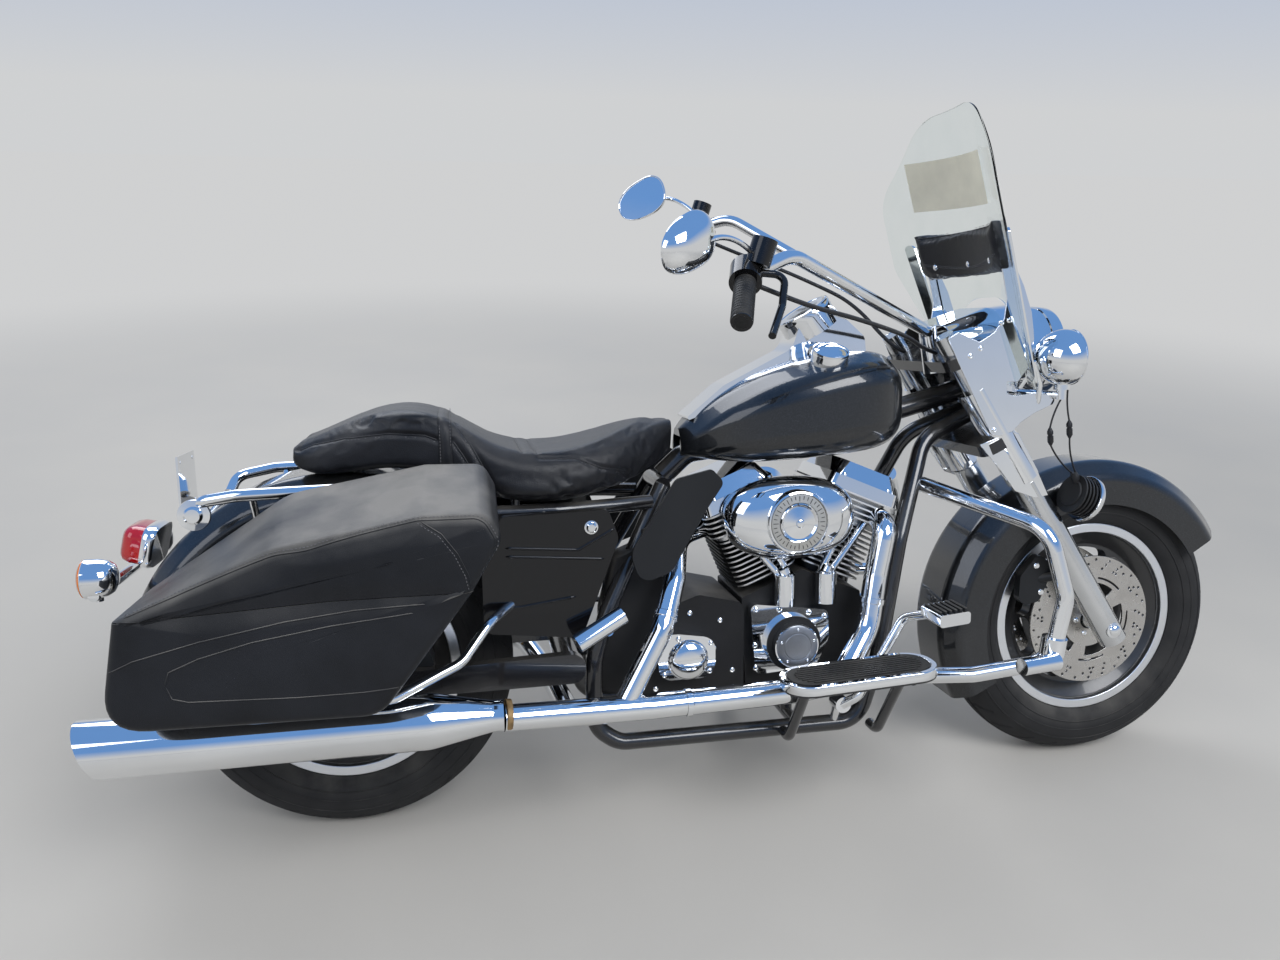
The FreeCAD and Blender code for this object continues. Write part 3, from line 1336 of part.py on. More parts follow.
# Fork: tubes, sliders and the front axle, with the two yokes and the stem
fork_pieces = []
sliders = {}
for side_name, side in SIDES:
    fork_pieces.append(rod("ForkTube" + side_name, on_fork(60, side), on_fork(s.fork_length, side),
                           "fork_tube_radius"))
    sliders[side] = rod("Slider" + side_name, on_fork(-34, side), on_fork(s.slider_length, side), "slider_radius")
    fork_pieces.append(sliders[side])
fork_pieces.append(rod("FrontAxle", FRONT_AXLE - ACROSS * (s.fork_half + s.axle_overhang),
                       FRONT_AXLE + ACROSS * (s.fork_half + s.axle_overhang), "axle_radius"))
for side_name, side in SIDES:
    outer = side * (s.fork_half + s.axle_overhang)
    inner = side * (s.hub_half + 10)
    fork_pieces.append(rod("AxleSpacer" + side_name, FRONT_AXLE + ACROSS * inner,
                           FRONT_AXLE + ACROSS * (side * s.fork_half), "axle_radius + 6"))
    fork_pieces.append(rod("AxleNut" + side_name, FRONT_AXLE + ACROSS * (outer - side * 10),
                           FRONT_AXLE + ACROSS * outer, "axle_radius + 5"))
node(fused("ForkLegs", fork_pieces), "fork_legs")


def yoke(name, height_on_axis):
    """Plate round both fork tubes and the stem, square to the steering axis."""
    centre = on_steering(height_on_axis)
    behind = 78
    tilt = Rotation(ACROSS, -s.rake)
    plate_outline = section(name + "Outline", [
        (30, -34, 24),
        (30, 34, 24),
        (-behind + 26, s.fork_half + 32, 26),
        (-behind - 42, s.fork_half + 32, 26),
        (-behind - 42, -s.fork_half - 32, 26),
        (-behind + 26, -s.fork_half - 32, 26),
    ], centre, tilt)
    plate = doc.addObject("Part::Extrusion", name)
    plate.Base = plate_outline
    plate.DirMode = "Normal"
    bind(plate, LengthFwd="yoke_wall")
    plate.Solid = True
    return plate


lower_yoke = yoke("LowerYoke", s.neck_low - 26)
upper_yoke = yoke("UpperYoke", s.neck_high + 3)
stem = rod("Stem", on_steering(s.neck_low - 20), on_steering(s.neck_high + 24), "stem_radius")
tube_room = fused("TubeRoom", [
    rod("TubeRoom" + side_name, on_fork(100, side), on_fork(s.fork_length + 60, side), "fork_tube_radius")
    for side_name, side in SIDES
])
node(cut("Yokes", fused("YokesAndStem", [lower_yoke, upper_yoke, stem]), tube_room), "fork_yokes")

# Upper fork covers and the nacelle between them, behind the headlamp
COVER_LOW = s.slider_length + 6
COVER_HIGH = s.fork_length - 128
cover_shells = []
cover_rooms = []
for side_name, side in SIDES:
    cover_shells.append(rod("CoverOuter" + side_name, on_fork(COVER_LOW, side), on_fork(COVER_HIGH, side),
                            "cover_radius"))
    cover_rooms.append(rod("CoverInner" + side_name, on_fork(COVER_LOW - 30, side), on_fork(s.fork_length, side),
                           "fork_tube_radius + clearance"))

LAMP = Vector(1400, 0, 925)
LAMP_EAR_END = 97
lamp_axis = Vector(1, 0, -0.04).normalize()
lamp_ears = [
    rod("LampEar" + side_name, mirrored((LAMP.x + 2, 56, LAMP.z), side), mirrored((LAMP.x + 2, LAMP_EAR_END, LAMP.z), side),
        "axle_radius - 4")
    for side_name, side in SIDES
]
node(fused("Headlamp", [
    rod("LampRim", LAMP + lamp_axis * 62, LAMP + lamp_axis * 92, "lamp_radius"),
    cone("LampBowl", LAMP + lamp_axis * 62, LAMP + lamp_axis * 4, s.lamp_radius - 4, s.lamp_radius - 38),
] + lamp_ears), "headlamp")
# Columns: forward, half width, bottom, top, corner low, corner high.
NACELLE_SECTIONS = [
    (1222, 108, 896, 982, 8, 40),
    (1326, 110, 770, 1018, 8, 60),
    (1404, 100, 822, 1026, 60, 96),
]


def nacelle_block(name, wall, drop, back):
    """Loft through the nacelle's sections, made smaller by a wall and let down below."""
    return loft(name, [
        section("%s%d" % (name, i), [
            (-half + wall, low - drop, low_corner),
            (half - wall, low - drop, low_corner),
            (half - wall, high - wall, high_corner),
            (-half + wall, high - wall, high_corner),
        ], Vector(forward + back * (i - 1), 0, 0), FRONT_VIEW)
        for i, (forward, half, low, high, low_corner, high_corner) in enumerate(NACELLE_SECTIONS)
    ], True)


nacelle_room = nacelle_block("NacelleRoom", s.fender_wall, 60, 4)
nacelle_solid = fused("NacelleSolid", [nacelle_block("NacelleSkin", 0, 0, 0)] + cover_shells)
node(cut(
    "Nacelle",
    nacelle_solid,
    fused("NacelleHollow", [nacelle_room, lower_yoke, upper_yoke] + cover_rooms),
), "nacelle_and_covers")

# Front brake calipers behind the fork legs, each on a lug
calipers = []
for side_name, side in SIDES:
    caliper_body = slab("CaliperBody" + side_name, [
        (1468, 380, 16),
        (1500, 455, 16),
        (1462, 490, 16),
        (1420, 440, 20),
        (1418, 372, 20),
    ], *sorted((side * (s.disc_offset + 6), side * (s.fork_half - s.slider_radius - 2))))
    lug = rod("CaliperLug" + side_name, mirrored((1468, s.disc_offset + 18, 430), side), on_fork(150, side),
              "axle_radius - 2.5")
    calipers.append(cut("FrontCaliper" + side_name, fused("CaliperWhole" + side_name, [caliper_body, lug]),
                        sliders[side]))
node(group("FrontCalipers", calipers), "front_calipers")

# Windshield: a bent clear sheet, on two side brackets
SCREEN_FOOT = Vector(1400, 0, 850)
SCREEN_TOP = Vector(1246, 0, 1417)
screen_up = (SCREEN_TOP - SCREEN_FOOT).normalize()
screen_height = (SCREEN_TOP - SCREEN_FOOT).Length
screen_round = 420


def screen_cylinder(name, radius):
    """Upright drum whose front face is the sheet's bend."""
    centre = SCREEN_FOOT - Vector(screen_round, 0, 0)
    drum = doc.addObject("Part::Cylinder", name)
    drum.Radius = radius
    drum.Height = screen_height + 200
    drum.Placement = Placement(centre - screen_up * 100, Rotation(UP, screen_up))
    return drum


bend_sheet = cut("BentSheet", screen_cylinder("ScreenFace", screen_round),
                 screen_cylinder("ScreenBack", screen_round - s.screen_wall))
screen_outline = section("ScreenOutline", [
    (-184, SCREEN_FOOT.z, 20),
    (-118, SCREEN_FOOT.z, 20),
    (-118, 1040, 110),
    (118, 1040, 110),
    (118, SCREEN_FOOT.z, 20),
    (184, SCREEN_FOOT.z, 20),
    (196, 985, 60),
    (s.screen_half, 1110, 90),
    (s.screen_half, 1270, 120),
    (110, SCREEN_TOP.z + 6, 120),
    (-110, SCREEN_TOP.z + 6, 120),
    (-s.screen_half, 1270, 120),
    (-s.screen_half, 1110, 90),
    (-196, 985, 60),
], Vector(1150, 0, 0), FRONT_VIEW)
screen_block = doc.addObject("Part::Extrusion", "ScreenBlock")
screen_block.Base = screen_outline
screen_block.DirMode = "Custom"
screen_block.Dir = Vector(1, 0, 0)
screen_block.LengthFwd = 400
screen_block.Solid = True
screen = doc.addObject("Part::Common", "Windshield")
screen.Base = bend_sheet
screen.Tool = screen_block
node(screen, "windshield")

# Windshield brackets: a chrome strip up each side of the sheet and an arm from the nacelle
strip_sheet = cut("StripSheet", screen_cylinder("StripFace", screen_round + s.clearance + s.fender_wall + 1),
                  screen_cylinder("StripBack", screen_round + s.clearance))
brackets = []
for side_name, side in SIDES:
    strip_outline = section("StripOutline" + side_name, [
        (side * across, height, corner) for across, height, corner in (
            (148, 862, 8),
            (172, 862, 8),
            (194, 1000, 60),
            (214, 1164, 10),
            (192, 1168, 10),
            (172, 1000, 60),
        )
    ], Vector(1150, 0, 0), FRONT_VIEW)
    strip_block = doc.addObject("Part::Extrusion", "StripBlock" + side_name)
    strip_block.Base = strip_outline
    strip_block.DirMode = "Custom"
    strip_block.Dir = Vector(1, 0, 0)
    strip_block.LengthFwd = 400
    strip_block.Solid = True
    strip = doc.addObject("Part::Common", "Strip" + side_name)
    strip.Base = strip_sheet
    strip.Tool = strip_block
    arm = tube("StripArm" + side_name, [
        mirrored((1352, 98, 804), side),
        mirrored((1400, 142, 806), side),
        mirrored((1392, 160, 862), side),
        mirrored((1372, 164, 908), side),
    ], "axle_radius - 7", 30)
    brackets.append(cut("Bracket" + side_name, fused("BracketWhole" + side_name, [strip, arm]), nacelle_solid))
node(group("Brackets", brackets), "windshield_brackets")

# Pouch hung on the windshield's inner face
POUCH_WALL = 24
POUCH_HALF = 165
pouch_sheet = cut("PouchSheet", screen_cylinder("PouchFace", screen_round - s.screen_wall - s.clearance),
                  screen_cylinder("PouchBack", screen_round - s.screen_wall - s.clearance - POUCH_WALL))
pouch_outline = section("PouchOutline", [
    (-POUCH_HALF, 1080, 30),
    (POUCH_HALF, 1080, 30),
    (POUCH_HALF, 1186, 10),
    (-POUCH_HALF, 1186, 10),
], Vector(1150, 0, 0), FRONT_VIEW)
pouch_block = doc.addObject("Part::Extrusion", "PouchBlock")
pouch_block.Base = pouch_outline
pouch_block.DirMode = "Custom"
pouch_block.Dir = Vector(1, 0, 0)
pouch_block.LengthFwd = 400
pouch_block.Solid = True
pouch = doc.addObject("Part::Common", "Pouch")
pouch.Base = pouch_sheet
pouch.Tool = pouch_block
node(pouch, "windshield_pouch")

# Handlebar with its grips and controls, knocked askew about its clamp
BAR_CLAMP = Vector(1200, 0, 980)
knock = Placement(BAR_CLAMP, Rotation()).multiply(
    Placement(Vector(), Rotation(Vector(1, 0, 0), s.bar_cant)).multiply(
        Placement(Vector(), Rotation(UP, -s.bar_twist)))
).multiply(Placement(-BAR_CLAMP, Rotation()))
# Columns: forward, out, up. Half of the bar, from its middle to its end.
BAR = [
    (1200, 0, 980),
    (1200, 84, 982),
    (838, 312, 1165),
    (750, 360, 1133),
    (726, 470, 1079),
]


def knocked(point, side=LEFT):
    """A point of the handlebar's group after the knock."""
    return knock.multVec(mirrored(point, side))


bar_points = [knocked(point, RIGHT) for point in reversed(BAR[1:])]
bar_points += [knocked(point, LEFT) for point in BAR[1:]]
bar = tube("Bar", bar_points, "bar_radius", 70)
risers = [
    rod("Riser" + side_name, mirrored((1216, 46, 884), side), mirrored((1199, 46, 980), side),
        "bar_radius + 6")
    for side_name, side in SIDES
]
node(cut("Handlebar", fused("BarAndRisers", [bar] + risers), upper_yoke), "handlebar")
controls = []
for side_name, side in SIDES:
    inner = knocked(BAR[3], side)
    outer = knocked(BAR[4], side)
    along = (outer - inner).normalize()
    grip = rod("Grip" + side_name, inner + along * 18, outer + along * 3, "grip_radius")
    housing = rod("Switch" + side_name, inner - along * 26, inner + along * 18, "grip_radius + 10")
    reservoir = rod("Reservoir" + side_name, inner + Vector(20, 0, 20), inner + Vector(34, 0, 62), "grip_radius + 4")
    lever_blade = tube("Lever" + side_name, [
        inner + Vector(8, 0, 8),
        inner + Vector(66, side * 10, 2),
        inner + along * 60 + Vector(66, 0, -14),
        inner + along * 150 + Vector(52, 0, -8),
    ], "axle_radius - 6", 18)
    controls.append(cut("Control" + side_name, fused("ControlWhole" + side_name, [
        grip, housing, reservoir, lever_blade,
    ]), bar))
node(group("HandControls", controls), "hand_controls")
mirrors = []
for (side_name, side), control in zip(SIDES, controls):
    centre = knocked((645, 430, 1193), side)
    foot = knocked((762, 350, 1170), side)
    facing = Vector(-1, 0, 0.15).normalize()
    pod = doc.addObject("Part::Ellipsoid", "MirrorPod" + side_name)
    pod.Radius1 = 20
    pod.Radius2 = 62
    pod.Radius3 = 46
    pod.Placement = Placement(centre, Rotation(UP, -facing))
    stem_bend = (centre + foot) * 0.5 + Vector(10, side * -4, 26)
    whole = fused("MirrorWhole" + side_name, [
        pod, tube("MirrorStem" + side_name, [foot, stem_bend, centre - facing * 10], "axle_radius - 7", 40),
    ])
    mirrors.append(cut("Mirror" + side_name, whole, control))
node(group("Mirrors", mirrors), "mirrors")

# Passing lamps: a round shell each side on an arm from the nacelle; the right one is open, its insert out
PASSING = (1440, 162, 915)
SHELL_MOUTH = 16
SHELL_REACH = s.passing_radius + 10
lamps = []
for side_name, side in SIDES:
    centre = mirrored(PASSING, side)
    mouth = block("ShellMouth" + side_name, centre + Vector(SHELL_MOUTH, -SHELL_REACH, -SHELL_REACH),
                  centre + Vector(SHELL_REACH, SHELL_REACH, SHELL_REACH))
    shell_whole = cut("ShellWhole" + side_name, ball("ShellBall" + side_name, centre, "passing_radius"), mouth)
    stud = rod("ShellStud" + side_name, centre - UP * (s.passing_radius - 6), centre - UP * (s.passing_radius + 28),
               "axle_radius - 3")
    collar = rod("ShellCollar" + side_name, centre - UP * (s.passing_radius - 4), centre - UP * (s.passing_radius + 8),
                 "axle_radius + 3")
    arm = rod("LampArm" + side_name, mirrored((1376, 90, 842), side), centre - UP * (s.passing_radius + 20),
              "axle_radius - 4.5")
    pieces = [shell_whole, stud, collar, arm]
    if side == LEFT:
        pieces.append(rod("InsertRim", centre + Vector(SHELL_MOUTH, 0, 0), centre + Vector(SHELL_MOUTH + 12, 0, 0),
                          "passing_radius - 3"))
    lamp = cut("PassingLamp" + side_name, fused("LampWhole" + side_name, pieces), nacelle_solid)
    if side == RIGHT:
        lamp = cut("OpenShell", lamp, ball("ShellRoom", centre, "passing_radius - fender_wall"))
    lamps.append(lamp)
node(group("PassingLamps", lamps), "passing_lamps")

# The right lamp's insert hangs on its two wires against the front fender
INSERT = Vector(1514, -142, 621)
insert_way = Vector(0.93, 0.05, -0.36).normalize()
insert_up = ACROSS.cross(insert_way).normalize() * -1
gland_way = (insert_up - insert_way).normalize()
gland_start = INSERT - insert_way * 26 + insert_up * 28
gland_end = gland_start + gland_way * 20
insert_pieces = [
    rod("InsertCore", INSERT - insert_way * 28, INSERT + insert_way * 12, "0.5 * passing_radius"),
    rod("InsertBezel", INSERT + insert_way * 8, INSERT + insert_way * 20, "passing_radius - 8"),
    rod("InsertGland", gland_start, gland_end, "axle_radius - 3.5"),
]
for i in range(4):
    fin = INSERT + insert_way * (6 - 9 * i)
    insert_pieces.append(rod("InsertFin%d" % i, fin, fin - insert_way * 4, "passing_radius - 15"))
lamp_insert = fused("LampInsert", insert_pieces)
gland_side = gland_way.cross(ACROSS).normalize()
# Columns: name, wire from the lamp to the plug's top, wire from the plug's foot to the insert.
WIRES = [
    ("A", [(1455, -162, 856), (1452, -162, 820), (1462, -162, 786)], [(1466, -161, 750), (1470, -156, 714)], -4),
    ("B", [(1440, -162, 830), (1424, -162, 802), (1419, -162, 772)], [(1423, -162, 736), (1444, -157, 702)], 4),
]
wires = []
plugs = []
for wire_name, above, below, aside in WIRES:
    upper = [Vector(*point) for point in above]
    lower = [Vector(*point) for point in below] + [gland_end + gland_side * aside]
    plugs.append(rod("Plug" + wire_name, upper[-1], lower[0], "axle_radius - 6.5"))
    wires.append(cut("WireUpper" + wire_name, tube("RunUpper" + wire_name, upper, "wire_radius", 12), lamps[0]))
    wires.append(cut("WireLower" + wire_name, tube("RunLower" + wire_name, lower, "wire_radius", 12), lamp_insert))
node(group("HangingLamp", [lamp_insert] + plugs), "hanging_lamp")
node(group("LampWires", wires), "lamp_wires")

# Control cables, from the controls down to the steering head behind the nacelle
# Columns: forward, out, up before the handlebar's knock.
CABLE = [
    (772, 356, 1118), (860, 344, 1084), (944, 304, 1060), (1030, 246, 1030), (1114, 176, 996),
]
CABLE_END = [(1180, 73, 934), (1209, 72, 925)]
cables = []
for (side_name, side), control in zip(SIDES, controls):
    route = [knocked(point, side) for point in CABLE] + [mirrored(point, side) for point in CABLE_END]
    cables.append(cut("Cable" + side_name, tube("CableRun" + side_name, route, "wire_radius + 2.5", 60), control))
node(group("Cables", cables), "control_cables")

# Side stand: its foot lies flat on the floor when the machine leans
STAND_PIVOT = Vector(770, s.rail_half + s.frame_tube_radius + 29, s.rail_height - 4)
pivot_on_floor = LEAN.multVec(STAND_PIVOT)
foot_on_floor = Vector(pivot_on_floor.x + s.stand_forward, pivot_on_floor.y + s.stand_reach, 0)
foot_upright = LEAN.inverse().multVec(foot_on_floor)
ankle = LEAN.inverse().multVec(foot_on_floor + Vector(0, 0, s.foot_wall + s.stand_radius - 2))
floor_up = LEAN.inverse().Rotation.multVec(UP)
stand_leg = rod("StandLeg", STAND_PIVOT, ankle, "stand_radius")
stand_foot = rod("StandFoot", foot_upright, foot_upright + floor_up * s.foot_wall, "foot_radius")
stand_ankle = rod("StandAnkle", foot_upright + floor_up * (s.foot_wall - 1), ankle, "stand_radius")
leg_way = (ankle - STAND_PIVOT).normalize()
folded_way = Vector(-1, 0.05, 0.08).normalize()
stand_axis = leg_way.cross(folded_way).normalize()
stand_knuckle = rod("StandKnuckle", STAND_PIVOT - stand_axis * 14, STAND_PIVOT + stand_axis * 14, "stand_radius + 4")
stand_pin_room = rod("StandPinRoom", STAND_PIVOT - stand_axis * 30, STAND_PIVOT + stand_axis * 30,
                     "axle_radius - 6 + running_gap")
node(cut("SideStand", fused("StandWhole", [stand_leg, stand_foot, stand_ankle, stand_knuckle]), stand_pin_room),
     "side_stand")
stand_pin = rod("StandPin", STAND_PIVOT - stand_axis * 22, STAND_PIVOT + stand_axis * 22, "axle_radius - 6")
stand_lug = rod("StandLug", STAND_PIVOT - stand_axis * 18, STAND_PIVOT - stand_axis * 28, "stand_radius + 4")
lug_stay = rod("StandLugStay", Vector(STAND_PIVOT.x, s.rail_half, s.rail_height - 15), STAND_PIVOT - stand_axis * 23,
               "stand_radius - 4")
node(fused("LowerRails", lower_rails + engine_mount + [stand_lug, lug_stay, stand_pin]), "frame_lower_rails")

doc.recompute()


def check(document):
    """Stops on any feature that failed and on any sub-part that is empty or invalid."""
    faults = [
        f"{feature.Name}: {feature.getStatusString()}" for feature in document.Objects
        if "Invalid" in feature.State or "Error" in feature.State
    ]
    faults += [
        f"{piece.Label} has no valid solid" for piece in nodes
        if piece.Shape.isNull() or not piece.Shape.isValid() or not piece.Shape.Solids
    ]
    if faults:
        raise RuntimeError("; ".join(faults))


check(doc)
os.makedirs("parts", exist_ok=True)
for piece in nodes:
    piece.Shape.exportStep(f"parts/{piece.Label}.step")
print(len(nodes), "sub-parts written")
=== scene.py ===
import math

import bmesh
import bpy
from mathutils import Matrix, Vector
from mathutils.bvhtree import BVHTree
from mathutils.kdtree import KDTree


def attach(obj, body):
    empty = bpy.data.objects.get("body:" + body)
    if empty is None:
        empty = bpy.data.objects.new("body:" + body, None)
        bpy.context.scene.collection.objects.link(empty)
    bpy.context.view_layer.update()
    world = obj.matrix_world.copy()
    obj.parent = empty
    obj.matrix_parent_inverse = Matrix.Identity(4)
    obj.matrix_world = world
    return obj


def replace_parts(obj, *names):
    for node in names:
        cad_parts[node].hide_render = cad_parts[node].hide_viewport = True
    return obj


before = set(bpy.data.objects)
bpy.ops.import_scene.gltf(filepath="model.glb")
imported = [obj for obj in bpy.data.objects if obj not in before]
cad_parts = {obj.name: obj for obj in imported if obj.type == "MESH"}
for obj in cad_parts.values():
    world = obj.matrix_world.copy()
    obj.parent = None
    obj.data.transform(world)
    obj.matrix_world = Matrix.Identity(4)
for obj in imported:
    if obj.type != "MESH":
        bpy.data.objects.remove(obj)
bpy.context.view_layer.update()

# Camera
# It stands on the machine's right at eye height and looks a little down, as the photograph was taken.
# Its place is in metres and its turns are in degrees.
CAMERA_PLACE = (0.22805, -1.67322, 1.35332)
CAMERA_TURN = (-11.499, 69.294, 1.8091)
SENSOR_WIDTH, FOCAL_PIXELS, PHOTO_WIDTH = 36, 950, 1280
camera_data = bpy.data.cameras.new("camera")
camera_data.sensor_width = SENSOR_WIDTH
camera_data.lens = SENSOR_WIDTH * FOCAL_PIXELS / PHOTO_WIDTH
camera = bpy.data.objects.new("camera", camera_data)
bpy.context.scene.collection.objects.link(camera)
heading, tilt, roll = (math.radians(angle) for angle in CAMERA_TURN)
camera.matrix_world = (
    Matrix.Translation(CAMERA_PLACE)
    @ Matrix.Rotation(heading, 4, "Z") @ Matrix.Rotation(tilt, 4, "X") @ Matrix.Rotation(roll, 4, "Z")
)
bpy.context.scene.camera = camera
bpy.context.scene.view_settings.view_transform = "Standard"

# Floor, backdrop and lamps
# A pale plain floor, a pale sky above it and three large soft lamps.
# The backdrop is what the camera, mirrors and glass see; softer light of its own falls on the object.
PALE_SKY, DEEP_SKY, SOFT_WHITE = (0.66, 0.67, 0.68, 1), (0.16, 0.34, 0.70, 1), (0.86, 0.92, 1.0, 1)
SOFT_STRENGTH, BACKDROP_STRENGTH, SKY_FADE = 0.36, 0.95, (0.02, 0.42)
world = bpy.data.worlds.new("studio")
bpy.context.scene.world = world
world.use_nodes = True
sky_nodes = world.node_tree.nodes
sky_links = world.node_tree.links
sky_nodes.clear()
sky_out = sky_nodes.new("ShaderNodeOutputWorld")
sky_mix = sky_nodes.new("ShaderNodeMixShader")
soft_light = sky_nodes.new("ShaderNodeBackground")
soft_light.inputs["Color"].default_value = SOFT_WHITE
soft_light.inputs["Strength"].default_value = SOFT_STRENGTH
backdrop = sky_nodes.new("ShaderNodeBackground")
backdrop.inputs["Strength"].default_value = BACKDROP_STRENGTH
bearing = sky_nodes.new("ShaderNodeTexCoord")
height_part = sky_nodes.new("ShaderNodeSeparateXYZ")
sky_ramp = sky_nodes.new("ShaderNodeValToRGB")
sky_ramp.color_ramp.elements[0].position = SKY_FADE[0]
sky_ramp.color_ramp.elements[0].color = PALE_SKY
sky_ramp.color_ramp.elements[1].position = SKY_FADE[1]
sky_ramp.color_ramp.elements[1].color = DEEP_SKY
sky_links.new(bearing.outputs["Generated"], height_part.inputs[0])
sky_links.new(height_part.outputs["Z"], sky_ramp.inputs[0])
sky_links.new(sky_ramp.outputs[0], backdrop.inputs["Color"])
rays = sky_nodes.new("ShaderNodeLightPath")
seen = sky_nodes.new("ShaderNodeMath")
seen.operation = "ADD"
seen.use_clamp = True
seen_through = sky_nodes.new("ShaderNodeMath")
seen_through.operation = "ADD"
seen_through.use_clamp = True
sky_links.new(rays.outputs["Is Camera Ray"], seen.inputs[0])
sky_links.new(rays.outputs["Is Glossy Ray"], seen.inputs[1])
sky_links.new(seen.outputs[0], seen_through.inputs[0])
sky_links.new(rays.outputs["Is Transmission Ray"], seen_through.inputs[1])
sky_links.new(seen_through.outputs[0], sky_mix.inputs[0])
sky_links.new(soft_light.outputs[0], sky_mix.inputs[1])
sky_links.new(backdrop.outputs[0], sky_mix.inputs[2])
sky_links.new(sky_mix.outputs[0], sky_out.inputs[0])

# Columns: name, place, width in metres, power in watts.
LAMPS = [
    ("key_lamp", (2.6, -3.6, 4.6), 3.0, 220),
    ("fill_lamp", (-3.4, -2.6, 3.4), 3.2, 65),
    ("back_lamp", (-0.6, 3.6, 3.8), 3.0, 90),
]
LAMP_TARGET = Vector((0.7, 0, 0.5))
for lamp_name, place, size, power in LAMPS:
    lamp_data = bpy.data.lights.new(lamp_name, "AREA")
    lamp_data.size = size
    lamp_data.energy = power
    lamp = bpy.data.objects.new(lamp_name, lamp_data)
    lamp.location = place
    lamp.rotation_euler = (LAMP_TARGET - Vector(place)).to_track_quat("-Z", "Y").to_euler()
    bpy.context.scene.collection.objects.link(lamp)


FLAKE_COLOUR, FLAKE_SCALE = (0.62, 0.68, 0.78, 1), 1800
# The colour that upward faces are lightened towards: dust, and on the bags' lids a painted sheen.
DUST_AND_SHEEN_COLOUR = (0.33, 0.315, 0.29, 1)
UNEVEN_GLOSS, SMOOTHEST, COAT_ROUGHNESS, GRAIN_DEPTH = 0.4, 0.02, 0.04, 0.001


